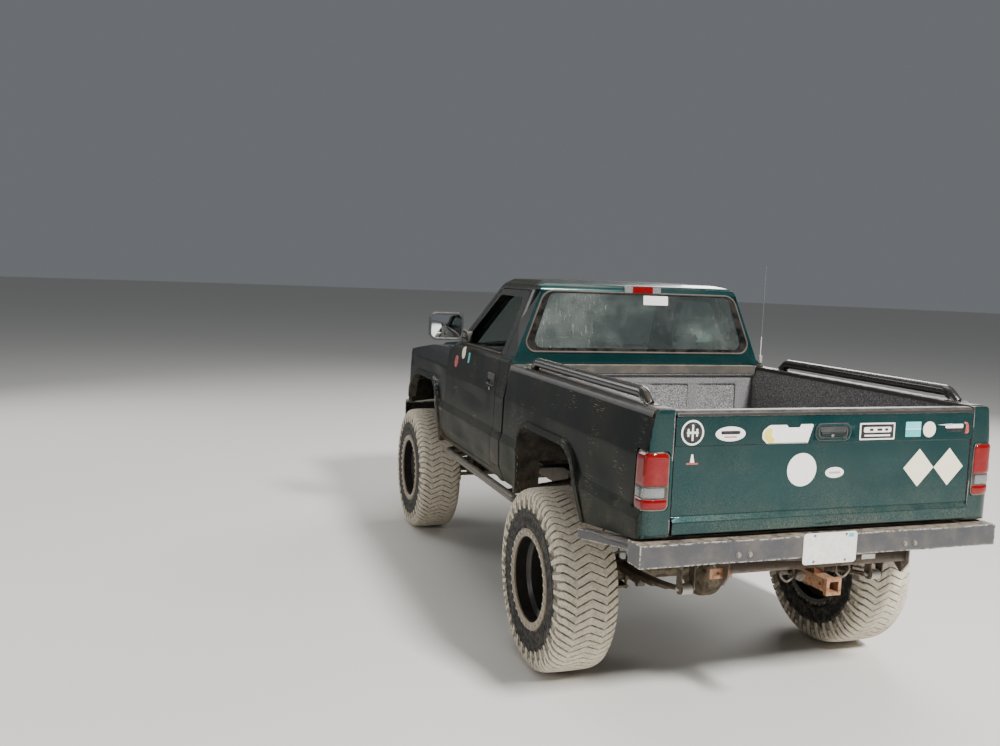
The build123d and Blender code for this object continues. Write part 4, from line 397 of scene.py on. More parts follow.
# Cast, forged and rolled steel: dark or grey metal, brown to orange where rust has taken it
CAST_IRON = bare_steel("cast_iron_axle_dusty", "2b2724", "5b3824", 0.25)
HITCH_STEEL = bare_steel("rolled_steel_rusted", "5a534c", "7d5236", 0.55, dust=0.4)
ORANGE_STEEL = bare_steel("plate_steel_fresh_rust", "b08a6d", "b5713f", 0.8, dust=0.2)
PALE_STEEL = bare_steel("turned_steel_bright", "b9b6ae", "8a7a66", 0.2, dust=0.5)
DULL_STEEL = bare_steel("machined_steel_dull", "8a8780", "6d4a32", 0.15)
# Moulded plastic: matt black with a leather grain, greying with dust
BLACK_PLASTIC = moulded("black_polypropylene_grained", "1a1b1c")
# Caps and rails: smoother and blacker than the plastic, pale where loads have rubbed them
CAP_PLASTIC = coated_steel("bed_cap_black_worn", "131416", "8f8a80", chips=0.7, rough=0.42, dust=0.22)
RAIL_COAT = coated_steel("black_rail_enamel_gloss", "0c0d10", "77746d", chips=0.2, rough=0.24, dust=0.12)
WALL_CAP = coated_steel("bed_header_dusty", "3a3733", "8f8a80", chips=0.5, rough=0.6, dust=0.9)
# Trim inside the cab and rubber: even and matt, the grey a shade lighter
GREY_PLASTIC = moulded("grey_abs_grained", "5a5b5e", dust=0.15)
BLACK_RUBBER = moulded("black_epdm_seal", "101010", rough=0.7, dust=0.35)
# Woven cloth: a fine check of crossed threads, soft at grazing angles
SEAT_CLOTH = woven_cloth("grey_seat_tweed_woven", "77777c")
# Float glass and moulded acrylic: a clear hard gloss, fluted and coloured in the lamps
TINTED_GLASS = pane("tinted_toughened_glass_dusty", "a3b3b1", 0.7, 0.3)
RED_LENS = lens("red_acrylic_fluted", "7c0006", 9 * MM, 0.05)
CLEAR_LENS = lens("clear_acrylic_fluted", "d9dcda", 6 * MM, 0.75)
AMBER_LENS = lens("amber_acrylic_fluted", "d9771a", 8 * MM)
# Plated steel and silvered glass: mirror-bright under a thin film
CHROME = plated("chrome_plate_filmed", "c9cccf", 0.08)
MIRROR_SILVER = plated("silvered_mirror_glass", "e8ecee", 0.02, 0.12)
# Printed film: flat even colour with a low sheen, yellowed by dust
PLATE_PAINT = vinyl("white_reflective_sheet", "e6e4dd", "bdb6a6", 0.4)
WHITE_VINYL = vinyl("white_vinyl_film", "efece4")
YELLOW_VINYL = vinyl("yellow_vinyl_film", "e6d53a")
TEAL_VINYL = vinyl("teal_vinyl_film", "3db6b8")
BLACK_VINYL = vinyl("black_vinyl_film", "16171a", "5d5a54")
RED_VINYL = vinyl("red_vinyl_film", "a8322c")
CREAM_VINYL = vinyl("cream_vinyl_film", "efe8cd")
GREY_VINYL = vinyl("grey_vinyl_film", "a9a59c")
PALE_TEAL_VINYL = vinyl("pale_teal_vinyl_film", "63cdd2")
# Small parts: chipped red enamel, white glass fibre, grey nylon, black fired glass border
RED_ENAMEL = coated_steel("red_enamel_scuffed", "8a1a14", "6d665c", chips=0.8, rough=0.4)
WHITE_PLASTIC = moulded("white_fibreglass_mast", "d6d4cc", dust=0.2)
HANDLE_PLASTIC = moulded("grey_nylon_handle", "303133", dust=0.2, rough=0.4)
FRIT = moulded("black_ceramic_frit", "0b0c0d", rough=0.12, dust=0.1)
# Weathered rubber gone brown, looped carpet, brushed felt, rubbery underseal, dulled chrome
TRIM_RUBBER = moulded("brown_weathered_rubber", "4d453f", rough=0.75, dust=0.2, pale="857a70")
CARPET = moulded("grey_cab_carpet", "2b2b2d", grain=3 * MM, rough=0.95, dust=0.5)
HEADLINER = moulded("grey_headliner_felt", "6d6c6a", grain=2 * MM, rough=0.95, dust=0.1)
UNDERSEAL = moulded("black_underseal_sprayed", "121212", grain=4 * MM, rough=0.85, dust=0.45)
CHROME_DULL = plated("chrome_trim_dusty", "6f6d68", 0.3, 0.5)


# Turning meshes into pieces


def welded(node):
    """A CAD node's mesh with its triangles joined."""
    made = bmesh.new()
    made.from_mesh(NODES[node].data)
    bmesh.ops.remove_doubles(made, verts=made.verts, dist=0.01 * MM)
    return made


def keep_where(made, test):
    """Keeps only the separate parts of a mesh whose middle passes the test."""
    left = set(made.verts)
    while left:
        part, front = set(), [left.pop()]
        while front:
            point = front.pop()
            part.add(point)
            for edge in point.link_edges:
                other = edge.other_vert(point)
                if other in left:
                    left.discard(other)
                    front.append(other)
        middle = sum((v.co for v in part), Vector()) / len(part)
        if not test(middle):
            bmesh.ops.delete(made, geom=list(part), context="VERTS")
    return made


def gridded(made, axis, low, high, step):
    """Cuts a mesh across an axis every step, so that it can be bent smoothly."""
    normal = Vector((0, 0, 0))
    normal[axis] = 1
    for i in range(int((high - low) / step) + 1):
        everything = made.verts[:] + made.edges[:] + made.faces[:]
        cut = dict(geom=everything, plane_co=normal * (low + i * step), plane_no=normal)
        bmesh.ops.bisect_plane(made, dist=0.05 * MM, **cut)
    return made


WORKSHOP = bpy.data.scenes.new("workshop")


def carried(data):
    """An object outside the picture that carries a mesh while modifiers work on it."""
    carrier = bpy.data.objects.new("carrier", data)
    WORKSHOP.collection.objects.link(carrier)
    return carrier


def settled(carrier):
    """The plain mesh that a carrier's modifiers make."""
    layer = WORKSHOP.view_layers[0]
    layer.update()
    return bpy.data.meshes.new_from_object(carrier.evaluated_get(layer.depsgraph))


def evenly_shaded(data):
    """Shades a mesh so that its large faces stay flat and its small ones carry the bends."""
    carrier = carried(data)
    weighing = carrier.modifiers.new("weighing", "WEIGHTED_NORMAL")
    weighing.keep_sharp, weighing.weight = True, 80
    made = settled(carrier)
    bpy.data.objects.remove(carrier)
    return made


def piece(name, made, material, slot=None, sharp=32, body="chassis", stands_for=()):
    """Makes a mesh a finished piece: material, shading, the body it rides on and the nodes it stands for."""
    if isinstance(made, bmesh.types.BMesh):
        data = bpy.data.meshes.new(name)
        made.to_mesh(data)
        made.free()
    else:
        data = made
    several = material if isinstance(material, (list, tuple)) else [material]
    painted = [face.material_index for face in data.polygons]
    data.materials.clear()
    for one in several:
        data.materials.append(one)
    data.polygons.foreach_set("material_index", painted)
    data.shade_smooth()
    data.set_sharp_from_angle(angle=radians(sharp))
    if stands_for:
        data = evenly_shaded(data)
    data.name = name
    found = bpy.data.objects.new(name, data)
    bpy.context.scene.collection.objects.link(found)
    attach(found, body)
    if stands_for:
        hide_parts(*stands_for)
    return found


# Shapes


def rounded(corners, steps=5):
    """An outline through corners (x, y, radius), each corner rounded by its radius."""
    points = []
    for i, (x, y, radius) in enumerate(corners):
        here = Vector((x, y))
        if radius <= 0:
            points.append((x, y))
            continue
        before = Vector(corners[i - 1][:2]) - here
        after = Vector(corners[(i + 1) % len(corners)][:2]) - here
        half = before.angle(after) / 2
        reach = min(radius / tan(half), 0.49 * before.length, 0.49 * after.length)
        start, end = here + before.normalized() * reach, here + after.normalized() * reach
        centre = here + (before.normalized() + after.normalized()).normalized() * (reach / cos(half))
        for step in range(steps + 1):
            arm = (start - centre).lerp(end - centre, step / steps)
            points.append(tuple(centre + arm.normalized() * reach * tan(half)))
    return points


def box_outline(wide, tall, radius, x=0.0, y=0.0):
    """A rounded rectangle's outline about (x, y)."""
    corners = [(-1, -1), (1, -1), (1, 1), (-1, 1)]
    return rounded([(x + a * wide / 2, y + b * tall / 2, radius) for a, b in corners])


def disc_outline(radius, x=0.0, y=0.0, sides=28, tall=None):
    """A round or oval outline about (x, y)."""
    turns = [2 * pi * i / sides for i in range(sides)]
    return [(x + radius * cos(a), y + (tall or radius) * sin(a)) for a in turns]


def at_plane(origin, along, across):
    """A place whose X runs along, Y across and Z out of the two."""
    x = Vector(along).normalized()
    z = x.cross(Vector(across)).normalized()
    turned = Matrix((x, z.cross(x), z)).transposed().to_4x4()
    return Matrix.Translation(Vector(origin)) @ turned


# The two first axes of places that look to the tail, to the nose and to the left
TAIL = ((-1, 0, 0), (0, 0, 1))
AHEAD = ((1, 0, 0), (0, 0, 1))
LEFTWARD = ((0, 1, 0), (0, 0, 1))


def plate(outline, thick, spot=None, soft=0.0, hole=None):
    """A plate with its face on the place's XY plane, its thickness behind it and its edges softened."""
    made = bmesh.new()
    rims = [[made.verts.new((x, y, 0)) for x, y in line] for line in ([outline, hole] if hole else [outline])]
    for rim in rims:
        for i, point in enumerate(rim):
            made.edges.new((point, rim[(i + 1) % len(rim)]))
    if hole:
        bmesh.ops.triangle_fill(made, use_beauty=True, edges=made.edges[:])
    else:
        made.faces.new(rims[0])
    grown = bmesh.ops.extrude_face_region(made, geom=made.faces[:])
    moved = [item for item in grown["geom"] if isinstance(item, bmesh.types.BMVert)]
    bmesh.ops.translate(made, verts=moved, vec=(0, 0, -thick))
    bmesh.ops.recalc_face_normals(made, faces=made.faces)
    if soft:
        rims = [edge for edge in made.edges if edge.calc_face_angle(0) > radians(50)]
        bmesh.ops.bevel(made, geom=rims, offset=soft, segments=2, affect="EDGES", profile=0.5)
    if spot:
        made.transform(spot)
    return made


def skinned(made, rows, around):
    """Faces between each row of points and the next, that many from row to row; returns the faces."""
    found = []
    for first, second in zip(rows, rows[1:]):
        for j in range(around):
            k = (j + 1) % len(first)
            found.append(made.faces.new((first[j], first[k], second[k], second[j])))
    return found


def lathe(outline, steps, closed=True):
    """Turns an outline of (x, radius) points about the X axis."""
    made = bmesh.new()
    rings = []
    for i in range(steps):
        a = 2 * pi * i / steps
        rings.append([made.verts.new((x, r * sin(a), r * cos(a))) for x, r in outline])
    skinned(made, rings + rings[:1], len(outline) if closed else len(outline) - 1)
    bmesh.ops.remove_doubles(made, verts=made.verts, dist=0.01 * MM)
    bmesh.ops.recalc_face_normals(made, faces=made.faces)
    return made


def joined(*parts):
    """One mesh from several."""
    whole = bmesh.new()
    for part in parts:
        data = bpy.data.meshes.new("part")
        part.to_mesh(data)
        part.free()
        whole.from_mesh(data)
        bpy.data.meshes.remove(data)
    return whole


def mirrored(made):
    """The same shape on the other side of the vehicle."""
    made.transform(Matrix.Scale(-1, 4, (1, 0, 0)))
    bmesh.ops.reverse_faces(made, faces=made.faces)
    return made


def as_mesh(made, name="shape"):
    """Ends the editing of a mesh."""
    data = bpy.data.meshes.new(name)
    made.to_mesh(data)
    made.free()
    return data


# Node trees for what repeats or follows a path


def geometry_tree(name, *sockets):
    """A geometry tree with the named inputs; returns the tree, what is given to it and its output node."""
    tree = bpy.data.node_groups.new(name, "GeometryNodeTree")
    tree.interface.new_socket("Geometry", in_out="INPUT", socket_type="NodeSocketGeometry")
    for label, kind in (*sockets, ("Material", "NodeSocketMaterial")):
        tree.interface.new_socket(label, in_out="INPUT", socket_type=kind)
    tree.interface.new_socket("Geometry", in_out="OUTPUT", socket_type="NodeSocketGeometry")
    return tree, add(tree, "NodeGroupInput").outputs, add(tree, "NodeGroupOutput")


def close_tree(tree, given, end, kind, inputs):
    """Ends a tree with the node that makes its shape, as real geometry in its material."""
    shape = add(tree, kind, inputs).outputs[0]
    real = add(tree, "GeometryNodeRealizeInstances", {"Geometry": shape}).outputs[0]
    wanted = {"Geometry": real, "Material": given["Material"]}
    coated = add(tree, "GeometryNodeSetMaterial", wanted)
    tree.links.new(coated.outputs[0], end.inputs["Geometry"])
    return tree


def ring_tree():
    """Repeats a shape evenly about the X axis."""
    tree, given, end = geometry_tree("ring", ("Count", "NodeSocketInt"))
    points = add(tree, "GeometryNodePoints", {"Count": given["Count"], "Radius": 1.0}).outputs[0]
    index = add(tree, "GeometryNodeInputIndex").outputs[0]
    share = add(tree, "ShaderNodeMath", {0: index, 1: given["Count"]}, operation="DIVIDE").outputs[0]
    angle = add(tree, "ShaderNodeMath", {0: share, 1: 2 * pi}, operation="MULTIPLY").outputs[0]
    turned = add(tree, "ShaderNodeCombineXYZ", {"X": angle}).outputs[0]
    wanted = {"Points": points, "Instance": given["Geometry"], "Rotation": turned}
    return close_tree(tree, given, end, "GeometryNodeInstanceOnPoints", wanted)


def row_tree():
    """Repeats a shape along a line."""
    tree, given, end = geometry_tree("row", ("Count", "NodeSocketInt"), ("Step", "NodeSocketVector"))
    line = add(tree, "GeometryNodeMeshLine", {"Count": given["Count"], "Offset": given["Step"]}).outputs[0]
    wanted = {"Points": line, "Instance": given["Geometry"]}
    return close_tree(tree, given, end, "GeometryNodeInstanceOnPoints", wanted)


def run_tree():
    """Gives a line of points a round section."""
    tree, given, end = geometry_tree("run", ("Radius", "NodeSocketFloat"))
    path = add(tree, "GeometryNodeMeshToCurve", {"Mesh": given["Geometry"]}).outputs[0]
    sized = {"Resolution": 10, "Radius": given["Radius"]}
    ring = add(tree, "GeometryNodeCurvePrimitiveCircle", sized).outputs[0]
    wanted = {"Curve": path, "Profile Curve": ring, "Fill Caps": True}
    return close_tree(tree, given, end, "GeometryNodeCurveToMesh", wanted)


RING, ROW, RUN = ring_tree(), row_tree(), run_tree()


def grown(data, tree, **inputs):
    """Runs a node tree on a mesh and returns the plain mesh that it makes."""
    carrier = carried(data)
    modifier = carrier.modifiers.new("grown", "NODES")
    modifier.node_group = tree
    for item in tree.interface.items_tree:
        if item.item_type == "SOCKET" and item.in_out == "INPUT" and item.name in inputs:
            modifier[item.identifier] = inputs[item.name]
    made = settled(carrier)
    bpy.data.objects.remove(carrier)
    return made


def edited(data):
    """Opens a plain mesh for editing."""
    made = bmesh.new()
    made.from_mesh(data)
    return made


def curve_through(points, steps=5):
    """More points on a smooth line through the given ones."""
    found, last = [], len(points) - 1
    for i in range(last):
        a, b, c, d = (Vector(points[max(0, min(last, j))]) for j in range(i - 1, i + 3))
        for step in range(steps):
            t = step / steps
            bend, twist = 2 * a - 5 * b + 4 * c - d, 3 * b - a - 3 * c + d
            found.append(0.5 * (2 * b + (c - a) * t + bend * t * t + twist * t**3))
    return found + [Vector(points[-1])]


def run(points, radius, closed=False):
    """A round bar, hose or seal along points, as a mesh to edit."""
    line = bpy.data.meshes.new("line")
    pairs = [(i, i + 1) for i in range(len(points) - 1)] + ([(len(points) - 1, 0)] if closed else [])
    line.from_pydata([tuple(p) for p in points], pairs, [])
    return edited(grown(line, RUN, Radius=radius))


def hex_bolt(across, tall, spot):
    """A hexagon bolt head with its washer, standing on the place's plane."""
    point = across / 2 / cos(pi / 6)
    head = [(tall, 0.0), (tall, point * 0.86), (tall * 0.8, point), (tall * 0.25, point)]
    washer = [(0.25 * tall, point * 1.3), (0.0, point * 1.3)]
    made = lathe(head + [(0.25 * tall, point)], 6, closed=False)
    ring = lathe([(0.25 * tall, 0.0)] + washer, 16, closed=False)
    whole = joined(made, ring)
    whole.transform(spot @ Matrix.Rotation(-pi / 2, 4, "Y"))
    return whole


# Wheels and tyres

TYRE_RADIUS, WHEEL_X = 508 * MM, 935 * MM
# Radii of the side ribs, the crown and the bead, in millimetres
RIB_RADIUS, CROWN_RADIUS, BEAD_RADIUS = 385, 500, 285
BEAD_RING_X, BEAD_RING_INNER, RING_BOLTS = 153 * MM, 235 * MM, 32
FRONT_AXLE_Y, REAR_AXLE_Y = -1.610, 1.405
LUG_PITCHES = 34
LUG_PITCH = 2 * pi * TYRE_RADIUS / LUG_PITCHES
WHEEL_PLACES = {
    "front_left": (1, FRONT_AXLE_Y),
    "front_right": (-1, FRONT_AXLE_Y),
    "rear_left": (1, REAR_AXLE_Y),
    "rear_right": (-1, REAR_AXLE_Y),
}


def carcass():
    """The tyre under its tread blocks: crown, shoulders, ribbed sidewalls and beads."""
    half = [(145, 256, 3), (151, 266, 6), (153, 279, 6), (163, 292, 10), (166.5, 296, 3)]
    half += [(167.5, 306, 3), (165.5, 312, 3), (166.5, 350, 60), (168, 362, 4), (170, 366, 3)]
    half += [(170, 372, 3), (167.5, 378, 6), (165, 410, 60), (157, 456, 30), (138, 487, 16)]
    half += [(92, 492, 40), (88, 503, 2), (79, 503.5, 2), (75, 492.4, 4), (9, 493.4, 4), (5, 504, 2)]
    outline = half + [(-x, r, f) for x, r, f in reversed(half)]
    outline += [(-80, 258, 4), (-90, 300, 20), (90, 300, 20), (80, 258, 4)]
    made = lathe([(x * MM, r * MM) for x, r in rounded(outline, 3)], 96)
    layer = made.verts.layers.float.new("dust")
    # Dust map, partly painted shade: tan on the crown where dust lies, near black down the sidewall as if
    # shaded
    for point in made.verts:
        radius = sqrt(point.co.y**2 + point.co.z**2) / MM
        tread = min(1, max(0, (radius - RIB_RADIUS) / 30))
        flank_dust_and_shade = 0.035 + 0.4 * tread if radius < CROWN_RADIUS else 0.9
        point[layer] = flank_dust_and_shade if radius > BEAD_RADIUS else 0.25
    return made


# Tread blocks, drawn flat: places (across, radius) of the carcass from the crown to the sidewall
CROWN = [(0, 493.5), (20, 493.4), (42, 493.2), (62, 492.8), (84, 492)]
SHOULDER = [
    (82, 492), (100, 491), (120, 489), (139, 483), (149, 472), (156, 457), (161.5, 438),
    (165, 415), (166.5, 390),
]
SHOULDER_HEIGHTS = [14, 14, 14.5, 14.5, 12.5, 10, 8, 6, 4]
ZIGZAG, SLIT = 40, 6.0


def facing(line, i):
    """The way out of the carcass at one station of a line."""
    (x0, r0), (x1, r1) = line[max(0, i - 1)], line[min(len(line) - 1, i + 1)]
    return Vector((-(r1 - r0), x1 - x0)).normalized()


def lug(made, layer, stations):
    """One block: stations of (across, radius, outward, height, near edge, far edge) in millimetres."""
    rows = []
    for x, r, out, height, near, far in stations:
        foot, top = Vector((x, r)) - out * 3, Vector((x, r)) + out * height
        edge = min(3.0, height * 0.4)
        # Painted shade: each block's foot, down in the groove, keeps little dust and stays dark
        shape = [(foot, near - 2.5, 0.15), (top - out * edge, near, 0.75), (top, near + edge, 1.0)]
        shape += [(top, far - edge, 1.0), (top - out * edge, far, 0.75), (foot, far + 2.5, 0.15)]
        row = []
        for spot, run_at, dust in shape:
            angle = run_at * MM / TYRE_RADIUS
            radius = spot.y * MM
            point = made.verts.new((spot.x * MM, radius * sin(angle), radius * cos(angle)))
            point[layer] = dust
            row.append(point)
        rows.append(row)
    skinned(made, rows, 5)
    made.faces.new(list(reversed(rows[0])))
    made.faces.new(rows[-1])


def lug_pitch():
    """Zigzag crown blocks and their shoulder blocks, two of each on both sides, for one step around."""
    made = bmesh.new()
    layer = made.verts.layers.float.new("dust")
    step = LUG_PITCH / MM / 2
    for side in (1, -1):
        for half in (0, 1):
            start, last = half * step, len(SHOULDER) - (1 if half else 3)
            crown, shoulder = [], []
            for i, (x, r) in enumerate(CROWN):
                near, out = start + ZIGZAG * x / 84, facing(CROWN, i)
                crown.append((x * side, r, Vector((out.x * side, out.y)), 14.0, near, near + step - SLIT))
            for i, (x, r) in enumerate(SHOULDER[: last + 1]):
                near, out = start + ZIGZAG * max(0, 139 - x) / 57, facing(SHOULDER, i)
                gap, notch = SLIT + 1.2 * i, 3.0 * (i % 2 if i > 3 else 0)
                height = 2.5 if i == last else SHOULDER_HEIGHTS[i]
                edges_at = (near + notch, near + step - gap - notch)
                shoulder.append((x * side, r, Vector((out.x * side, out.y)), height, *edges_at))
            lug(made, layer, crown)
            lug(made, layer, shoulder)
    bmesh.ops.recalc_face_normals(made, faces=made.faces)
    return made


def side_ribs():
    """Small ribs between the shoulder blocks and the bead, one step around the tyre."""
    made = bmesh.new()
    layer = made.verts.layers.float.new("dust")
    for half in (0, 1):
        start = half * LUG_PITCH / MM / 2
        line = [(167.5, 384), (166.2, 398)]
        lug(made, layer, [(x, r, Vector((1, 0)), 2.2, start, start + 16) for x, r in line])
        line = [(166, 318), (166.4, 346)]
        lug(made, layer, [(x, r, Vector((1, 0)), 1.6, start + 4, start + 8) for x, r in line])
    # Painted shade: the small ribs keep almost no dust and stay near black, like the shaded sidewall
    for point in made.verts:
        point[layer] = 0.07
    bmesh.ops.recalc_face_normals(made, faces=made.faces)
    return made


def in_ring(made, count):
    """A shape repeated about the wheel's axis, as a mesh to edit."""
    return edited(grown(as_mesh(made), RING, Count=count))


def on_wheel(made, place_name):
    """Moves a shape from the wheel's own centre to its place on the vehicle."""
    side, axle_y = WHEEL_PLACES[place_name]
    if side < 0:
        mirrored(made)
    made.transform(Matrix.Translation((side * WHEEL_X, axle_y, TYRE_RADIUS)))
    return made


def wheel_bolt(radius, x, across, tall, count):
    """Bolts in a ring on the wheel's outer face."""
    spot = Matrix.Translation((x, 0, radius)) @ Matrix.Rotation(pi / 2, 4, "Y")
    return in_ring(hex_bolt(across, tall, spot), count)


def rim_faces(made):
    """Paints the bead ring apart from the wheel: material 1 on the ring, 0 elsewhere."""
    for face in made.faces:
        middle = face.calc_center_median()
        along = min((middle.y - y) ** 2 for y in (FRONT_AXLE_Y, REAR_AXLE_Y))
        radius = sqrt((middle.z - TYRE_RADIUS) ** 2 + along)
        outer_face = abs(middle.x) > WHEEL_X + BEAD_RING_X
        face.material_index = 1 if outer_face and radius > BEAD_RING_INNER else 0
    return made


tyre_mesh = carcass()
tread_mesh = in_ring(lug_pitch(), LUG_PITCHES)
rib_mesh = in_ring(side_ribs(), LUG_PITCHES)
bolt_mesh = wheel_bolt(263 * MM, 168.5 * MM, 17 * MM, 8 * MM, RING_BOLTS)
# Painted shadows: flat dark patches laid on the bead ring between its bolts
painted_shadow = plate(box_outline(0.017, 0.021, 0.004), 1.2 * MM, at_plane((167.8 * MM, 0, 0.265), *LEFTWARD))
painted_shadow.transform(Matrix.Rotation(pi / RING_BOLTS, 4, "X"))
painted_shadow_ring = in_ring(painted_shadow, RING_BOLTS)
nut_mesh = wheel_bolt(82.5 * MM, -49.5 * MM, 22 * MM, 16 * MM, 8)
for place_name in WHEEL_PLACES:
    body = f"wheel_{place_name}"
    made = on_wheel(joined(tyre_mesh.copy(), rib_mesh.copy()), place_name)
    piece(f"{body}_carcass", made, RUBBER, "tyre_rubber", 40, body=body, stands_for=[f"tyre_{place_name}"])
    piece(f"{body}_tread", on_wheel(tread_mesh.copy(), place_name), RUBBER, "tyre_rubber", 35, body=body)
    rim = rim_faces(welded(f"rim_{place_name}"))
    piece(
        f"{body}_rim", rim, [WHEEL_COAT, RING_COAT], "wheel_black", body=body,
        stands_for=[f"rim_{place_name}"],
    )
    bolts = on_wheel(joined(bolt_mesh.copy(), nut_mesh.copy()), place_name)
    piece(f"{body}_bolts", bolts, PALE_STEEL, "wheel_black", body=body)
    piece(f"{body}_painted_shadows", on_wheel(painted_shadow_ring.copy(), place_name), WHEEL_COAT, "wheel_black", body=body)


# Laying things on the panels


def surface_of(*nodes):
    """The CAD surfaces of some nodes, to lay things on."""
    corners, faces = [], []
    for node in nodes:
        data = NODES[node].data
        start = len(corners)
        corners += [point.co.copy() for point in data.vertices]
        faces += [[start + i for i in face.vertices] for face in data.polygons]
    return BVHTree.FromPolygons(corners, faces)


def film(outline, spot, surface, lift=0.8 * MM, grid=13 * MM):
    """A thin film of that outline laid on a surface; the place's Z points out of the surface."""
    made = bmesh.new()
    made.faces.new([made.verts.new((x, y, 0)) for x, y in outline])
    for axis in (0, 1):
        values = [point[axis] for point in outline]
        gridded(made, axis, min(values) + grid / 2, max(values), grid)
    bmesh.ops.triangulate(made, faces=made.faces[:])
    made.transform(spot)
    out = spot.to_3x3() @ Vector((0, 0, 1))
    for point in made.verts:
        found = surface.ray_cast(point.co + out * 0.15, -out, 0.5)[0]
        if found is not None:
            point.co = found + out * lift
    made.normal_update()
    if sum((face.normal.dot(out) * face.calc_area() for face in made.faces)) < 0:
        bmesh.ops.reverse_faces(made, faces=made.faces)
    skirt = bmesh.ops.extrude_edge_only(made, edges=[edge for edge in made.edges if edge.is_boundary])
    moved = [item for item in skirt["geom"] if isinstance(item, bmesh.types.BMVert)]
    bmesh.ops.translate(made, verts=moved, vec=-out * lift * 1.5)
    return made


def edge_distance(x, y, outline):
    """How far a point lies from the nearest edge of an outline."""
    here, nearest = Vector((x, y)), 1e9
    for i, start in enumerate(outline):
        a, b = Vector(start), Vector(outline[(i + 1) % len(outline)])
        along = b - a
        share = max(0, min(1, (here - a).dot(along) / max(along.length_squared, 1e-12)))
        nearest = min(nearest, (a + along * share - here).length)
    return nearest


def wrapped(outline, spot_of, lift, bulge, grid=7 * MM, soft=14 * MM, sink=4 * MM):
    """A pillowed piece wrapped on a curved surface; spot_of(u, v) gives a point and the way out."""
    made = bmesh.new()
    made.faces.new([made.verts.new((x, y, 0)) for x, y in outline])
    for axis in (0, 1):
        values = [point[axis] for point in outline]
        gridded(made, axis, min(values) + grid / 2, max(values), grid)
    bmesh.ops.triangulate(made, faces=[face for face in made.faces if len(face.verts) > 4])
    outs = {}
    for point in made.verts:
        u, v = point.co.x, point.co.y
        swell = 1 - (1 - min(1, edge_distance(u, v, outline) / soft)) ** 2
        point.co, out = spot_of(u, v)
        point.co += out * (lift + bulge * sqrt(max(0, swell)))
        outs[point] = out
    made.normal_update()
    if sum(face.normal.dot(outs[face.verts[0]]) for face in made.faces) < 0:
        bmesh.ops.reverse_faces(made, faces=made.faces)
    rims = [edge for edge in made.edges if edge.is_boundary]
    inward = {tuple(point.co): outs[point] for edge in rims for point in edge.verts}
    skirt = bmesh.ops.extrude_edge_only(made, edges=rims)
    for item in skirt["geom"]:
        if isinstance(item, bmesh.types.BMVert):
            item.co -= inward[tuple(item.co)] * (lift + sink)
    return made


def dented(made, dents):
    """Presses soft dents in: each is a middle, a reach across X, Y and Z and the push at its middle."""
    for middle, reach, push in dents:
        middle, push = Vector(middle), Vector(push)
        for point in made.verts:
            far = Vector([(point.co[i] - middle[i]) / reach[i] for i in range(3)]).length
            if far < 1:
                point.co += push * (cos(pi * far) + 1) / 2
    return made


def swelled(made, by, test):
    """Moves the points that pass the test outwards, to thicken a tube."""
    made.normal_update()
    moves = [(point, point.normal * by) for point in made.verts if test(point.co)]
    for point, move in moves:
        point.co += move
    return made


def painted(made, rule):
    """Gives each face the material that the rule picks from its middle and its way out, in millimetres."""
    made.normal_update()
    for face in made.faces:
        face.material_index = rule(face.calc_center_median() / MM, face.normal)
    return made


def finish(node, name, coats, slot, rule=None, cuts=(), dents=()):
    """Finishes a CAD node's own mesh: cut across by (axis, low, high, step), dented and painted."""
    made = welded(node)
    for cut in cuts:
        gridded(made, *cut)
    dented(made, dents)
    if rule:
        painted(made, rule)
    piece(name, made, coats, slot, body=NODES[node]["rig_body"], stands_for=[node])


def outward(middle, out):
    """How far a face looks away from the vehicle's middle plane, from -1 to 1."""
    return out.x if middle.x > 0 else -out.x


SIDES = (("left", 1), ("right", -1))


# Load bed

# Where the coats of the bed's sides meet, in millimetres
TUB_HALF, TUB_FRONT, TUB_REAR, TUB_TOP = 670, 830, 1940, 1288
ARCH_FRONT, ARCH_REAR, ARCH_TOP, ARCH_CENTRE_Z = 820, 1990, 1300, 900
LINER_HALF, WALL_HALF = 846, 930
CREASE_Z, CORNER_Y, LAMP_Y = 1180, 2420, 2385


def bed_side_rule(middle, out):
    """Paint behind, scuffed paint darkened as painted shade beside, chipped under the crease, liner in the
    tub, underseal in the arch.
    """
    x, y, z = abs(middle.x), middle.y, middle.z
    to_wheel = out.y * (REAR_AXLE_Y / MM - y) + out.z * (ARCH_CENTRE_Z - z)
    in_arch = z < TUB_TOP and TUB_FRONT < y < TUB_REAR
    if in_arch and (to_wheel > 100 or (x < TUB_HALF and outward(middle, out) > 0)):
        return 4
    if x < LINER_HALF or (out.x * middle.x < -0.3 and x < WALL_HALF):
        return 3
    arch_edge = ARCH_FRONT < y < ARCH_REAR and z < ARCH_TOP and abs(out.x) < 0.6
    if arch_edge or (z < CREASE_Z and y < CORNER_Y):
        return 2
    return 0 if y > LAMP_Y and out.y > 0.4 else 1


SIDE_DENTS = [
    ((0.996, 2.25, 1.15), (0.08, 0.11, 0.07), (-0.010, 0, 0.0)),
    ((0.996, 2.40, 1.20), (0.08, 0.05, 0.04), (-0.009, -0.004, 0)),
    ((0.985, 2.05, 1.30), (0.08, 0.26, 0.14), (-0.005, 0, 0)),
    ((0.975, 1.10, 1.43), (0.08, 0.30, 0.12), (-0.006, 0, 0)),
    ((0.985, 0.72, 1.05), (0.08, 0.14, 0.12), (-0.012, 0, 0)),
    ((0.972, 0.62, 1.40), (0.08, 0.14, 0.20), (-0.004, 0, 0)),
    ((-0.99, 2.15, 1.18), (0.08, 0.22, 0.10), (0.008, 0, 0)),
    ((-0.98, 1.00, 1.42), (0.08, 0.25, 0.14), (0.006, 0, 0)),
    ((-0.98, 0.75, 1.02), (0.08, 0.12, 0.10), (0.011, 0, 0)),
]
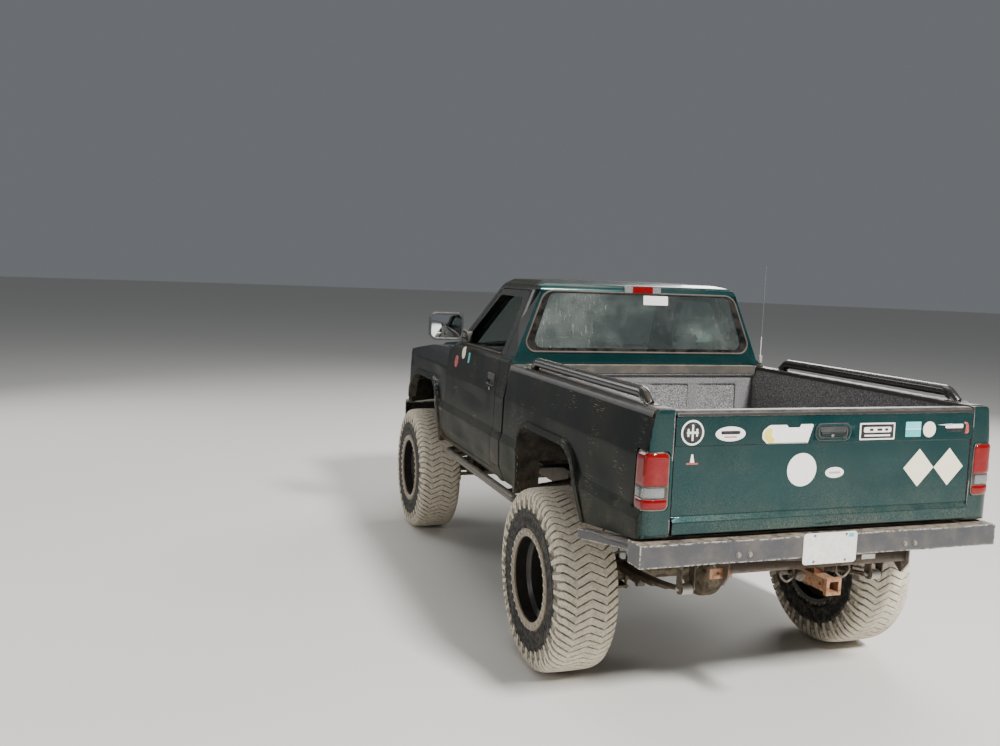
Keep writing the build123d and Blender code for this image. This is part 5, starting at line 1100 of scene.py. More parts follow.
SIDE_CUTS = [(1, 0.53, 2.48, 0.03), (2, 0.88, 1.62, 0.03), (2, 1.18, 1.18, 1.0)]
SIDE_COATS = [PAINT, SHADED_SIDE_PAINT, LOW_PAINT, LINER, UNDERSEAL]
finish("bed_sides", "bed_sides_painted", SIDE_COATS, "body_paint", bed_side_rule, SIDE_CUTS, SIDE_DENTS)

# Worn plastic caps along the tops of the bed sides: section (x, z) in millimetres, run in Y
CAP_SECTION = [(838, 1598, 0), (838, 1622, 5), (916, 1622.5, 8), (938, 1612, 9), (946, 1586, 2)]
CAP_SECTION += [(943.5, 1585, 0), (934, 1608, 8), (914, 1618.5, 8), (842, 1618.5, 3), (842, 1598, 0)]


CAP_FRONT, CAP_LONG = 0.508, 1.952


def cap(side):
    """A cap over one bed side's top, its surface a little uneven with wear."""
    outline = [(y * MM, z * MM) for y, z in rounded(CAP_SECTION, 3)]
    made = bmesh.new()
    stations = [CAP_FRONT + CAP_LONG * i / 60 for i in range(61)]
    rows = []
    for i, y in enumerate(stations):
        sway = 0.7 * MM * sin(i * 1.7) * sin(i * 0.37)
        rows.append([made.verts.new((x + sway, y, z + sway)) for x, z in outline])
    skinned(made, rows, len(outline))
    made.faces.new(rows[0])
    made.faces.new(rows[-1])
    bmesh.ops.recalc_face_normals(made, faces=made.faces)
    return made if side > 0 else mirrored(made)


for name, side in SIDES:
    piece(f"bed_cap_{name}", cap(side), CAP_PLASTIC, "black_plastic")


rails = swelled(welded("bed_rails"), 5 * MM, lambda point: point.z > 1.632)
piece("bed_rails_enamelled", rails, RAIL_COAT, "black_paint", stands_for=["bed_rails"])
bolts = []
for name, side in SIDES:
    for y in (0.822, 2.302):
        for x in (0.862, 0.916):
            bolts.append(hex_bolt(13 * MM, 6 * MM, Matrix.Translation((side * x, y, 1.6255))))
piece("bed_rail_bolts", joined(*bolts), DULL_STEEL, "black_paint")


def bed_floor_rule(middle, out):
    """Sprayed liner above, underseal below the floor's sheet."""
    return 1 if out.z < -0.3 or middle.z < 1072 else 0


def bed_wall_rule(middle, out):
    """Sprayed liner in the bed, paint on the side towards the cab."""
    return 1 if out.y < -0.3 and middle.y < 520 else 0


finish("bed_floor", "bed_floor_sprayed", [LINER, UNDERSEAL], "black_plastic", bed_floor_rule)
WALL_CUTS = [(2, 1.54, 1.54, 1.0)]
finish("bed_front_wall", "bed_front_wall_sprayed", [LINER, PAINT], "body_paint", bed_wall_rule, WALL_CUTS)
cap_line = [(-838, 1572, 0), (-838, 1624, 6), (838, 1624, 6), (838, 1572, 0)]
header = plate([(x * MM, z * MM) for x, z in rounded(cap_line, 3)], 72 * MM, at_plane((0, 0.5795, 0), *TAIL))
piece("bed_front_cap", header, WALL_CAP, "black_plastic")

# Torn lips of the rear wheel arches: a ragged bare edge ahead of each rear tyre

LIP_LOW, LIP_TALL, LIP_X, LIP_Y = 0.862, 0.375, 0.9905, 0.8315


def torn_lip(side, seed):
    """A strip of torn sheet along the front edge of the cut wheel arch, curled and jagged."""
    made, rows = bmesh.new(), []
    count = 46
    for i in range(count + 1):
        t = i / count
        z = LIP_LOW + LIP_TALL * t
        ragged = sin(i * 2.3 + seed) * 0.4 + sin(i * 5.1 + 2 * seed) * 0.35 + sin(i * 0.9 + seed) * 0.5
        bite = 9 * MM + 8 * MM * ragged + 10 * MM * sin(pi * t) ** 4
        curl = 5 * MM * sin(i * 1.3 + seed) + 3 * MM
        inset = 0.0 if z > 0.95 else (0.95 - z) * 0.45
        x = LIP_X - inset
        y = LIP_Y + 0.016 * max(0.0, t - 0.8)
        row = [(x + 1.2 * MM, y - 14 * MM, z), (x + 2.0 * MM, y - 1 * MM, z)]
        row += [(x + 2.0 * MM + curl * 0.4, y + bite * 0.6, z), (x + 1.0 * MM + curl, y + bite, z)]
        row += [(x - 0.2 * MM + curl, y + bite, z), (x - 1.0 * MM, y - 1 * MM, z)]
        rows.append([made.verts.new(point) for point in row])
    for i, face in enumerate(skinned(made, rows, 6)):
        face.material_index = 1 if i % 6 else 0
    for row in (rows[0], rows[-1]):
        made.faces.new(row)
    bmesh.ops.recalc_face_normals(made, faces=made.faces)
    return made if side > 0 else mirrored(made)


for name, side in SIDES:
    strip = torn_lip(side, 1.0 if side > 0 else 4.2)
    piece(f"rear_arch_torn_{name}", strip, [LOW_PAINT, DULL_STEEL], "body_paint", 25)

# Tail lamps

BED_SURFACE = surface_of("bed_sides")
TAIL_FACE_Y = 2.485
CORNER_RADIUS, CORNER_AT = 95 * MM, Vector((0.921, 2.390))
BOW_START, BOW_AT = 43 * MM, Vector((0.901, 2.390))
BOW_END = BOW_START + CORNER_RADIUS * pi / 2


def side_x(z):
    """How far out the bed's left side stands just ahead of the lamp, at that height."""
    return BED_SURFACE.ray_cast(Vector((1.2, 2.34, z)), Vector((-1, 0, 0)))[0].x


def on_lamp(u, z):
    """The point u metres along the left lamp from its inner edge, round the corner, at height z."""
    if u < BOW_START:
        inside, out = Vector((0.858 + u, 2.42)), Vector((0, 1))
    elif u < BOW_END:
        angle = (u - BOW_START) / CORNER_RADIUS
        inside, out = BOW_AT, Vector((sin(angle), cos(angle)))
    else:
        inside, out = Vector((0.94, 2.390 - (u - BOW_END))), Vector((1, 0))
    reach = [(side_x(z) - inside.x) / out.x] if out.x > 0.01 else []
    reach += [(TAIL_FACE_Y - inside.y) / out.y] if out.y > 0.01 else []
    aside = inside - CORNER_AT
    along = aside.dot(out)
    bow = sqrt(along**2 - aside.length_squared + CORNER_RADIUS**2) - along
    met = inside + out * bow - CORNER_AT
    reach += [bow] if met.x > 0 and met.y > 0 else []
    return Vector((*(inside + out * min(reach)), z)), Vector((*out, 0))


def lamp_part(low, high, inner, outer, radii, lift, bulge, **more):
    """A piece of the left lamp between two heights and two places round it."""
    corners = [
        (inner, low, radii[0]), (outer, low, radii[0]), (outer, high, radii[1]), (inner, high, radii[1])
    ]
    return wrapped([(x * MM, y * MM) for x, y in rounded(corners, 5)], on_lamp, lift, bulge, **more)


LAMP_PARTS = [
    ("brake_lens", RED_LENS, (1274, 1424, 6, 184, (6, 24), 1.6 * MM, 5.5 * MM)),
    ("turn_lens", RED_LENS, (1169, 1214, 6, 184, (20, 6), 1.6 * MM, 4.5 * MM)),
    ("reverse_housing", BLACK_PLASTIC, (1215, 1273, 6, 187, (4, 4), 1.6 * MM, 1.5 * MM)),
    ("reverse_lens", CLEAR_LENS, (1222, 1266, 22, 130, (5, 5), 3.2 * MM, 2.6 * MM)),
    ("reverse_side_lens", CLEAR_LENS, (1222, 1266, 136, 182, (5, 5), 3.2 * MM, 2.0 * MM)),
]
bezel = lamp_part(1163, 1431, 0, 191, (26, 26), 1.0 * MM, 0.8 * MM, sink=26 * MM)
high_lamp = gridded(keep_where(welded("tail_lamps"), lambda at: at.z > 1.9), 0, -0.075, 0.0751, 0.15)
painted(high_lamp, lambda middle, out: 1 if abs(middle.x) < 75 else 2)
bezels = joined(bezel.copy(), mirrored(bezel), high_lamp)
piece("lamp_bezels", bezels, [CHROME_DULL, RED_LENS, CLEAR_LENS], "red_lens", stands_for=["tail_lamps"])
for part, material, shape in LAMP_PARTS:
    left = lamp_part(*shape)
    both = joined(left.copy(), mirrored(left))
    piece(f"tail_lamp_{part}", both, material, "red_lens", 50)

# Tailgate


def tailgate_rule(middle, out):
    """Paint outside, black inside the handle's recess, worn cap on the top edge."""
    in_recess = abs(middle.x) < 99 and 1465 < middle.z < 1545 and middle.y < 2484.5
    on_top = out.z > 0.6 and middle.z > 1600
    return 1 if in_recess else 2 if on_top else 0


GATE_DENTS = [
    ((0.02, 2.49, 1.085), (0.16, 0.05, 0.022), (0, -0.007, 0)),
    ((0.30, 2.49, 1.20), (0.26, 0.05, 0.11), (0, -0.0035, 0)),
    ((-0.35, 2.49, 1.30), (0.30, 0.05, 0.12), (0, -0.003, 0)),
    ((0.60, 2.49, 1.33), (0.20, 0.05, 0.12), (0, 0.002, 0)),
    ((0.10, 2.49, 1.60), (0.10, 0.06, 0.03), (0, -0.004, -0.002)),
    ((-0.62, 2.49, 1.10), (0.14, 0.05, 0.03), (0, -0.004, 0)),
]
GATE_CUTS = [(0, -0.81, 0.82, 0.04), (2, 1.07, 1.61, 0.03), (2, 1.601, 1.601, 1.0)]
GATE_COATS = [PAINT, BLACK_PLASTIC, CAP_PLASTIC]
finish("tailgate", "tailgate_painted", GATE_COATS, "body_paint", tailgate_rule, GATE_CUTS, GATE_DENTS)

cap_shape = [(2425, 1597, 2), (2425, 1614, 5), (2474, 1614, 9), (2486.5, 1603, 6), (2489, 1588, 1)]
cap_shape += [(2487, 1588, 0), (2484, 1601, 6), (2473, 1611.2, 8), (2428, 1611.2, 2), (2428, 1597, 0)]
cap_line = [(y * MM, z * MM) for y, z in rounded(cap_shape, 3)]
gate_cap = plate(cap_line, 1.664, at_plane((0.832, 0, 0), *LEFTWARD))
piece("tailgate_top_cap", gate_cap, CAP_PLASTIC, "black_plastic", body="tailgate")


def tail_spot(x, z, y=2484.0):
    """A place on the tailgate's outer face, X to the right as seen from behind."""
    return at_plane((x * MM, y * MM, z * MM), *TAIL)


def handle_part(outline, thick, y, soft=0, hole=None):
    """A part of the tailgate's handle, y, thickness and soft edge in millimetres."""
    return plate(outline, thick * MM, tail_spot(0, 1505, y), soft * MM, hole=hole)


handle_ring = handle_part(box_outline(0.204, 0.086, 0.036), 7, 2490.5, 2.4, box_outline(0.150, 0.052, 0.018))
handle_back = handle_part(box_outline(0.152, 0.054, 0.018), 2, 2484.6)
handle_pull = handle_part(box_outline(0.146, 0.026, 0.008, 0.0, 0.0125), 5, 2491.0, 1.6)
handle_lip = handle_part(box_outline(0.128, 0.006, 0.003, 0.0, -0.006), 7, 2491.5, 1.0)
lock = handle_part(disc_outline(0.0085, 0.0, -0.016), 2.5, 2487.5, 0.6)
for name, made, coat, slot in (
    ("handle_ring", joined(handle_ring, handle_pull), HANDLE_PLASTIC, "body_paint"),
    ("handle_inner", joined(handle_back, handle_lip), BLACK_RUBBER, "black_plastic"),
    ("lock", lock, DULL_STEEL, "machined_steel"),
):
    piece(f"tailgate_{name}", made, coat, slot, 35, body="tailgate")

# Stickers: plain shapes where the photograph has printed ones

GATE_SURFACE = surface_of("tailgate")


def ring_outline(radius, tall=None):
    """A round or oval outline centred on the place."""
    return disc_outline(radius, tall=tall, sides=40)


def diamond(half):
    """A diamond's outline."""
    return [(0, -half), (half * 0.97, 0), (0, half), (-half * 0.97, 0)]


LONG_BADGE = [(-0.148, -0.020, 0.02), (-0.120, -0.045, 0.02), (0.100, -0.045, 0.006)]
LONG_BADGE += [(0.130, 0.045, 0.006), (0.060, 0.045, 0.004), (0.052, 0.030, 0.004), (-0.010, 0.030, 0.004)]
LONG_BADGE += [(-0.016, 0.043, 0.01), (-0.110, 0.043, 0.03), (-0.148, 0.016, 0.03)]
FLASH = [(-0.138, -0.018, 0.01), (-0.112, -0.040, 0.01), (-0.070, -0.036, 0.01), (-0.100, -0.008, 0.01)]
FLASH += [(-0.096, 0.030, 0.01), (-0.120, 0.026, 0.01), (-0.138, 0.010, 0.01)]
STRIPE_TAIL = [(-0.05, 0.0, 0), (0.04, -0.006, 0), (0.04, 0.004, 0)]
HOOK = [(-0.02, 0.03, 0.01), (0.022, 0.026, 0.02), (0.026, -0.03, 0.01), (0.0, -0.03, 0.004)]
HOOK += [(0.008, 0.014, 0.01)]
PEAK = [(-0.010, -0.018), (0.012, -0.018), (0.004, 0.02), (-0.004, 0.02)]
# What it is, its film, where it sits in millimetres, its outline and its level in the pile
STICKERS = [
    ("round_badge_rim", WHITE_VINYL, 753, 1515, ring_outline(0.0575), 1),
    ("round_badge", BLACK_VINYL, 753, 1515, ring_outline(0.0490), 2),
    ("round_badge_bar_0", WHITE_VINYL, 753, 1515, box_outline(0.009, 0.036, 0.003, -0.022), 3),
    ("round_badge_bar_1", WHITE_VINYL, 753, 1515, box_outline(0.009, 0.074, 0.003), 3),
    ("round_badge_bar_2", WHITE_VINYL, 753, 1515, box_outline(0.009, 0.036, 0.003, 0.022), 3),
    ("round_badge_cross", WHITE_VINYL, 753, 1515, box_outline(0.060, 0.010, 0.004), 3),
    ("oval_badge", WHITE_VINYL, 557, 1506, ring_outline(0.078, 0.034), 1),
    ("oval_badge_band", BLACK_VINYL, 557, 1512, box_outline(0.100, 0.016, 0.006), 2),
    ("oval_badge_line", RED_VINYL, 557, 1492, box_outline(0.066, 0.006, 0.003), 2),
    ("long_badge", WHITE_VINYL, 240, 1500, rounded(LONG_BADGE, 4), 1),
    ("long_badge_flash", YELLOW_VINYL, 240, 1500, rounded(FLASH, 3), 2),
    ("plain_rectangle_rim", WHITE_VINYL, -256, 1504, box_outline(0.206, 0.082, 0.004), 1),
    ("plain_rectangle", BLACK_VINYL, -256, 1504, box_outline(0.190, 0.068, 0.003), 2),
    ("plain_rectangle_bar", WHITE_VINYL, -256, 1512, box_outline(0.160, 0.026, 0.008), 3),
    ("plain_rectangle_line", WHITE_VINYL, -256, 1484, box_outline(0.150, 0.008, 0.002), 3),
    ("plain_rectangle_gap_0", BLACK_VINYL, -256, 1504, box_outline(0.022, 0.012, 0.004, -0.036, 0.008), 4),
    ("plain_rectangle_gap_1", BLACK_VINYL, -256, 1504, box_outline(0.030, 0.012, 0.004, 0.012, 0.008), 4),
    ("plain_rectangle_gap_2", BLACK_VINYL, -256, 1504, box_outline(0.018, 0.012, 0.004, 0.052, 0.008), 4),
    ("teal_bar_low", TEAL_VINYL, -470, 1491, box_outline(0.092, 0.036, 0.003), 1),
    ("teal_bar_high", WHITE_VINYL, -470, 1511, box_outline(0.092, 0.005, 0.001), 1),
    ("teal_bar_top", PALE_TEAL_VINYL, -470, 1530, box_outline(0.092, 0.034, 0.003), 1),
    ("pale_disc", CREAM_VINYL, -568, 1508, ring_outline(0.039), 2),
    ("stripe_white", WHITE_VINYL, -722, 1522, box_outline(0.110, 0.020, 0.006), 1),
    ("stripe_tail", WHITE_VINYL, -668, 1530, rounded(STRIPE_TAIL), 1),
    ("stripe_lower", BLACK_VINYL, -728, 1500, box_outline(0.100, 0.018, 0.004), 1),
    ("stripe_hook", RED_VINYL, -790, 1514, rounded(HOOK, 3), 1),
    ("white_disc", WHITE_VINYL, 156, 1327, ring_outline(0.081, 0.0795), 1),
    ("small_oval", WHITE_VINYL, -30, 1308, ring_outline(0.053, 0.026), 1),
    ("small_oval_bar", GREY_VINYL, -30, 1308, box_outline(0.062, 0.010, 0.003), 2),
    ("diamond_inner", CREAM_VINYL, -526, 1316, diamond(0.0945), 1),
    ("diamond_outer", CREAM_VINYL, -711, 1316, diamond(0.0945), 1),
    ("tiny_mark", RED_VINYL, 743, 1372, box_outline(0.060, 0.007, 0.002), 1),
    ("tiny_mark_peak", WHITE_VINYL, 745, 1395, PEAK, 1),
]
for name, vinyl, x, z, outline, level in STICKERS:
    sheet = film(outline, tail_spot(x, z), GATE_SURFACE, level * 0.7 * MM)
    piece(f"sticker_{name}", sheet, vinyl, "plate_white", 60, body="tailgate")


# Cab shell and windows


def laid(outline, spot, surface, lift):
    """An outline's points dropped onto a surface along the place's Z, then lifted off it."""
    out = spot.to_3x3() @ Vector((0, 0, 1))
    found = []
    for x, y in outline:
        start = spot @ Vector((x, y, 0))
        hit = surface.ray_cast(start + out * 0.3, -out, 1.0)[0]
        found.append((hit if hit is not None else start) + out * lift)
    return found


def outline_steps(outline, step):
    """An outline with more points, none further apart than step."""
    found = []
    for i, start in enumerate(outline):
        a, b = Vector(start), Vector(outline[(i + 1) % len(outline)])
        count = max(1, int((b - a).length / step))
        found += [tuple(a.lerp(b, j / count)) for j in range(count)]
    return found


ROOF_LINING_Z, ROOF_SKIN_Z = 2060, 2080


def roof_rule(middle, out):
    """Sun-dulled paint on top, cloth lining under the roof, paint darkened as painted shade on the sides."""
    if out.z < -0.3 and middle.z > ROOF_LINING_Z:
        return 2
    if outward(middle, out) > 0.85:
        return 3
    return 1 if out.z > 0.45 and middle.z > ROOF_SKIN_Z else 0


def back_wall_rule(middle, out):
    """Paint outside, darkened as painted shade where it faces sideways, moulded lining inside."""
    if outward(middle, out) > 0.85 and abs(middle.x) > 850:
        return 2
    return 1 if out.y < -0.3 and middle.y < 466 and abs(middle.x) < 930 else 0


def cab_floor_rule(middle, out):
    """Carpet above, chipped paint on the sills and under the floor."""
    return 1 if out.z > 0.5 and middle.z > 930 else 0


def firewall_rule(middle, out):
    """Carpet towards the cab, chipped paint ahead."""
    return 1 if out.y > 0.3 else 0


ROOF_COATS, BACK_COATS = [PAINT, ROOF_PAINT, HEADLINER, SHADED_SIDE_PAINT], [PAINT, GREY_PLASTIC, SHADED_SIDE_PAINT]
finish("cab_roof", "cab_roof_painted", ROOF_COATS, "body_paint", roof_rule)
finish("cab_back_wall", "cab_back_painted", BACK_COATS, "body_paint", back_wall_rule)
finish("cab_floor", "cab_floor_finished", [LOW_PAINT, CARPET], "body_paint", cab_floor_rule)
finish("firewall", "firewall_painted", [LOW_PAINT, CARPET], "body_paint", firewall_rule)

# Rear window: bonded glass with its black border and weathered trim
BACK_SURFACE = surface_of("cab_back_wall")


def window_line(foot, low, head, high, radii):
    """A window's outline, wider at its foot."""
    corners = [(-foot, low, radii[0]), (foot, low, radii[0]), (head, high, radii[1]), (-head, high, radii[1])]
    return [(x * MM, z * MM) for x, z in rounded(corners, 8)]


low_hit = BACK_SURFACE.ray_cast(Vector((0, 0.8, 1.705)), Vector((0, -1, 0)))[0]
high_hit = BACK_SURFACE.ray_cast(Vector((0, 0.8, 2.1005)), Vector((0, -1, 0)))[0]
pane_lean = (high_hit - low_hit).normalized()
PANE_SPOT = at_plane(low_hit, (-1, 0, 0), pane_lean)


def in_pane(outline):
    """The rear window's outline measured in its own leaning plane."""
    return [(x, (z - low_hit.z) / pane_lean.z) for x, z in outline]


outer_line = in_pane(window_line(856, 1701, 704, 2099, (64, 96)))
hole_line = in_pane(window_line(786, 1728, 664, 2087, (48, 60)))
glass_line = in_pane(window_line(792, 1722, 668, 2092, (52, 64)))
rear_pane = plate(glass_line, 4 * MM, PANE_SPOT @ Matrix.Translation((0, 0, 1.5 * MM)))
band = plate(outer_line, 3.5 * MM, PANE_SPOT @ Matrix.Translation((0, 0, 2.2 * MM)), hole=hole_line)
windscreen = keep_where(welded("cab_glass"), lambda middle: middle.y < 0)
glasses = joined(windscreen, rear_pane)
piece("cab_windows", glasses, TINTED_GLASS, "clear_glass", stands_for=["cab_glass"])
piece("rear_window_border", band, FRIT, "clear_glass", 50)
seal_points = [PANE_SPOT @ Vector((x, y, 2.5 * MM)) for x, y in outer_line]
piece("rear_window_seal", run(seal_points, 6.5 * MM, closed=True), TRIM_RUBBER, "black_plastic", 50)
tag_spot = PANE_SPOT @ Matrix.Translation((0.105, 0.350, 2.4 * MM))
tag = plate(box_outline(0.185, 0.062, 0.006), 0.6 * MM, tag_spot)
piece("rear_window_label", tag, WHITE_VINYL, "plate_white", 50)

# Windscreen: rubber around it, two wipers at its foot
SCREEN_SURFACE = surface_of("cab_glass")
SCREEN_SPOT = at_plane((0, -1.010, 1.620), (1, 0, 0), (0, 0.560, 0.508))
screen_length = sqrt(0.560**2 + 0.508**2)
screen_top = screen_length - 0.044
screen_corners = [
    (-0.786, 0.034, 0.05), (0.786, 0.034, 0.05), (0.606, screen_top, 0.06), (-0.606, screen_top, 0.06)
]
screen_line = rounded(screen_corners, 6)
screen_points = laid(outline_steps(screen_line, 0.06), SCREEN_SPOT, SCREEN_SURFACE, 2 * MM)
piece("windscreen_seal", run(screen_points, 8 * MM, closed=True), BLACK_RUBBER, "black_plastic", 50)


def wiper(root, tip, heel):
    """A wiper: its arm from the root, and the blade from heel to tip on the glass, in windscreen places."""
    middle = ((tip[0] + heel[0]) / 2, (tip[1] + heel[1]) / 2)
    steps = [(heel[0] + (tip[0] - heel[0]) * i / 8, heel[1] + (tip[1] - heel[1]) * i / 8) for i in range(9)]
    blade = run(laid(steps, SCREEN_SPOT, SCREEN_SURFACE, 7 * MM), 4.5 * MM)
    spine = laid(steps, SCREEN_SPOT, SCREEN_SURFACE, 17 * MM)[2:7]
    arm = laid([root, middle], SCREEN_SPOT, SCREEN_SURFACE, 20 * MM)
    arm = [arm[0] - Vector((0, 0, 0.012)), arm[0].lerp(arm[1], 0.35) + Vector((0, -0.004, 0.006)), arm[1]]
    pivot = lathe([(0, 0.016), (0.022, 0.014), (0.026, 0.008), (0.026, 0), (0, 0)], 16, closed=False)
    pivot.transform(Matrix.Translation(arm[0] - Vector((0, 0, 0.018))) @ Matrix.Rotation(-pi / 2, 4, "Y"))
    return joined(blade, run(spine, 5 * MM), run(arm, 5.5 * MM), pivot)


wipers = joined(
    wiper((0.62, 0.012), (0.10, 0.075), (0.66, 0.075)),
    wiper((-0.02, 0.012), (-0.56, 0.075), (-0.02, 0.080)),
)
piece("wipers", wipers, BLACK_RUBBER, "black_plastic", 40)

# Doors


DOOR_SILL_Z, CHIPPED_BELOW = 1665, 1178


def door_rule(middle, out):
    """Scuffed paint outside, darkened as painted shade, chipped below the crease, black handle cup, moulded
    lining inside.
    """
    x, y, z = abs(middle.x), middle.y, middle.z
    inward = outward(middle, out) < -0.4
    in_handle_cup = 84 < y < 246 and 1453 < z < 1519 and x < 968
    if in_handle_cup and not inward:
        return 2 if z < 1483 or x < 945 else 3
    if inward and z < DOOR_SILL_Z:
        return 4
    return 1 if z < CHIPPED_BELOW and x > 940 else 0


DOOR_DENTS = [
    ((0.99, -0.42, 1.04), (0.09, 0.34, 0.10), (-0.012, 0, 0)),
    ((0.99, 0.10, 0.99), (0.09, 0.18, 0.09), (-0.010, 0, 0)),
    ((0.97, -0.20, 1.32), (0.09, 0.42, 0.12), (-0.006, 0, 0)),
    ((0.96, 0.19, 1.40), (0.09, 0.12, 0.16), (-0.004, 0, 0)),
    ((0.98, -0.75, 1.20), (0.09, 0.16, 0.16), (0.003, 0, 0)),
]
DOOR_COATS = [SHADED_SIDE_PAINT, LOW_PAINT, BLACK_PLASTIC, HANDLE_PLASTIC, GREY_PLASTIC]
DOOR_CUTS = [(1, -0.92, 0.29, 0.04), (2, 0.94, 1.64, 0.04), (2, CHIPPED_BELOW * MM, CHIPPED_BELOW * MM, 1.0)]
MIRROR_WIDE, MIRROR_TALL, LINING_X = 0.236, 0.180, 0.858
ARMREST_LINE = rounded([(-0.62, 1.27, 0.03), (0.02, 1.30, 0.04), (0.04, 1.36, 0.03), (-0.60, 1.34, 0.03)], 4)
WINDER_LINE = [(0.006, -0.30, 1.20), (0.030, -0.30, 1.20), (0.030, -0.20, 1.165), (0.058, -0.20, 1.165)]
for name, side in SIDES:
    body = f"door_{name}"
    outside, inside = ((0, side, 0), (0, 0, 1)), ((0, -side, 0), (0, 0, 1))
    dents = [((side * m[0], m[1], m[2]), r, (side * p[0], p[1], p[2])) for m, r, p in DOOR_DENTS]
    finish(body, f"{body}_painted", DOOR_COATS, "body_paint", door_rule, DOOR_CUTS, dents)
    skin = surface_of(body)
    look = at_plane((side * 0.93, 0, 0), *outside)
    bezel_line = [(side * (0.165 + u), 1.486 + v) for u, v in box_outline(0.172, 0.076, 0.022)]
    bezel = run(laid(outline_steps(bezel_line, 0.02), look, skin, 1 * MM), 3.2 * MM, closed=True)
    piece(f"door_handle_bezel_{name}", bezel, HANDLE_PLASTIC, "black_plastic", 60, body=body)
    key_at = laid([(side * 0.165, 1.422)], look, skin, 0)[0] + Vector((side * 2.5 * MM, 0, 0))
    key = plate(disc_outline(0.0125), 4 * MM, at_plane(key_at, *outside), 1 * MM)
    piece(f"door_lock_{name}", key, DULL_STEEL, "machined_steel", body=body)
    sill_points = [Vector((side * 0.906, y, 1.663)) for y in (-0.712, -0.4, -0.1, 0.214)]
    piece(f"door_sill_seal_{name}", run(sill_points, 6 * MM), BLACK_RUBBER, "black_plastic", 50, body=body)
    # Mirror glass in its recess, with the thin rim that holds it
    glass_spot = at_plane((side * 1.082, -0.5735, 1.795), *TAIL)
    rim_spot = glass_spot @ Matrix.Translation((0, 0, 6.5 * MM))
    glass = plate(box_outline(MIRROR_WIDE, MIRROR_TALL, 0.044), 2 * MM, glass_spot, 0.6 * MM)
    piece(f"mirror_glass_{name}", glass, MIRROR_SILVER, "clear_glass", body=body)
    rim_hole = box_outline(MIRROR_WIDE - 2 * MM, MIRROR_TALL - 2 * MM, 0.043)
    rim = plate(box_outline(0.258, 0.202, 0.052), 5 * MM, rim_spot, 1.5 * MM, hole=rim_hole)
    piece(f"mirror_rim_{name}", rim, HANDLE_PLASTIC, "black_plastic", body=body)
    finish(f"mirror_{name}", f"mirror_{name}_finish", BLACK_PLASTIC, "black_plastic")
    # Lining: armrest, speaker grille and window winder
    arm_spot = at_plane((side * (LINING_X - 0.050), 0, 0), *inside)
    armrest = plate([(-side * y, z) for y, z in ARMREST_LINE], 0.055, arm_spot, 8 * MM)
    piece(f"armrest_{name}", armrest, BLACK_PLASTIC, "grey_plastic", body=body)
    speaker_spot = at_plane((side * (LINING_X - 0.006), 0, 0), *inside)
    speaker = plate(disc_outline(0.085, side * 0.62, 1.10), 8 * MM, speaker_spot, 2 * MM)
    piece(f"speaker_{name}", speaker, BLACK_PLASTIC, "black_plastic", body=body)
    winder = run([(side * (LINING_X - x), y, z) for x, y, z in WINDER_LINE], 8 * MM)
    piece(f"window_winder_{name}", winder, BLACK_PLASTIC, "black_plastic", 50, body=body)
finish("door_glass_right", "door_glass_right_tinted", TINTED_GLASS, "clear_glass")
LEFT_SKIN = surface_of("door_left")
for name, material, y, z, outline in (
    ("door_round_upper", CREAM_VINYL, -0.56, 1.600, disc_outline(0.046)),
    ("door_round_lower", RED_VINYL, -0.72, 1.520, disc_outline(0.046)),
    ("door_rectangle", TEAL_VINYL, -0.410, 1.575, box_outline(0.040, 0.075, 0.004)),
):
    sheet = film(outline, at_plane((0.93, y, z), *LEFTWARD), LEFT_SKIN, 0.9 * MM)
    piece(f"sticker_{name}", sheet, material, "plate_white", 60, body="door_left")


# Inside the cab


def pillow(shape, cap):
    """Inflates a closed form as a stuffed cover: remeshed, blown up a little as cloth, then smoothed."""
    data = as_mesh(shape, "pillow")
    carrier = carried(data)
    grain = carrier.modifiers.new("grain", "REMESH")
    grain.mode, grain.voxel_size = "VOXEL", 12 * MM
    remeshed = settled(carrier)
    carrier.modifiers.clear()
    carrier.data = remeshed
    start = [point.co.copy() for point in remeshed.vertices]
    cloth = carrier.modifiers.new("cloth", "CLOTH")
    cloth.settings.use_pressure = True
    cloth.settings.uniform_pressure_force = 4
    cloth.settings.effector_weights.gravity = 0
    for step in range(1, 21):
        WORKSHOP.frame_set(step)
    swollen = settled(carrier)
    WORKSHOP.frame_set(1)
    for old, point in zip(start, swollen.vertices):
        move = point.co - old
        point.co = old + move * min(1, cap / max(move.length, 1e-6))
    carrier.modifiers.clear()
    carrier.data = swollen
    smooth = carrier.modifiers.new("smooth", "SMOOTH")
    smooth.factor, smooth.iterations = 0.5, 6
    finer = carrier.modifiers.new("finer", "SUBSURF")
    finer.levels = finer.render_levels = 1
    made = settled(carrier)
    bpy.data.objects.remove(carrier)
    return made


def stitched(data, channels, depth, width):
    """Presses sewn channels into a padded piece; each channel is an axis, a place on it and where it runs."""
    normals = [point.normal.copy() for point in data.vertices]
    for point, normal in zip(data.vertices, normals):
        push = 0.0
        for axis, at, low, high, across in channels:
            if low < point.co[across] < high:
                push = max(push, 1 - min(1, abs(point.co[axis] - at) / width))
        if push > 0:
            point.co -= normal * depth * push**1.5
    return data


seat_side = [(-0.292, 1.156, 0.035), (-0.300, 1.308, 0.055), (0.186, 1.278, 0.03), (0.192, 1.156, 0.02)]
seat_shape = plate(rounded(seat_side, 6), 1.424, at_plane((0.712, 0, 0), *LEFTWARD), 0.018)
SEAT_LINES = [(0, -0.24, -0.26, 0.20, 1), (0, 0.24, -0.26, 0.20, 1), (1, -0.235, -0.7, 0.7, 0)]
SEAT_LINES += [(1, -0.09, -0.66, 0.66, 0), (1, 0.05, -0.66, 0.66, 0)]
cushion = stitched(pillow(seat_shape, 7 * MM), SEAT_LINES, 9 * MM, 16 * MM)
seat_cushion = piece("seat_cushion", cushion, SEAT_CLOTH, "seat_cloth", 60, stands_for=["bench_seat"])
BACKREST_FOOT = 1.17


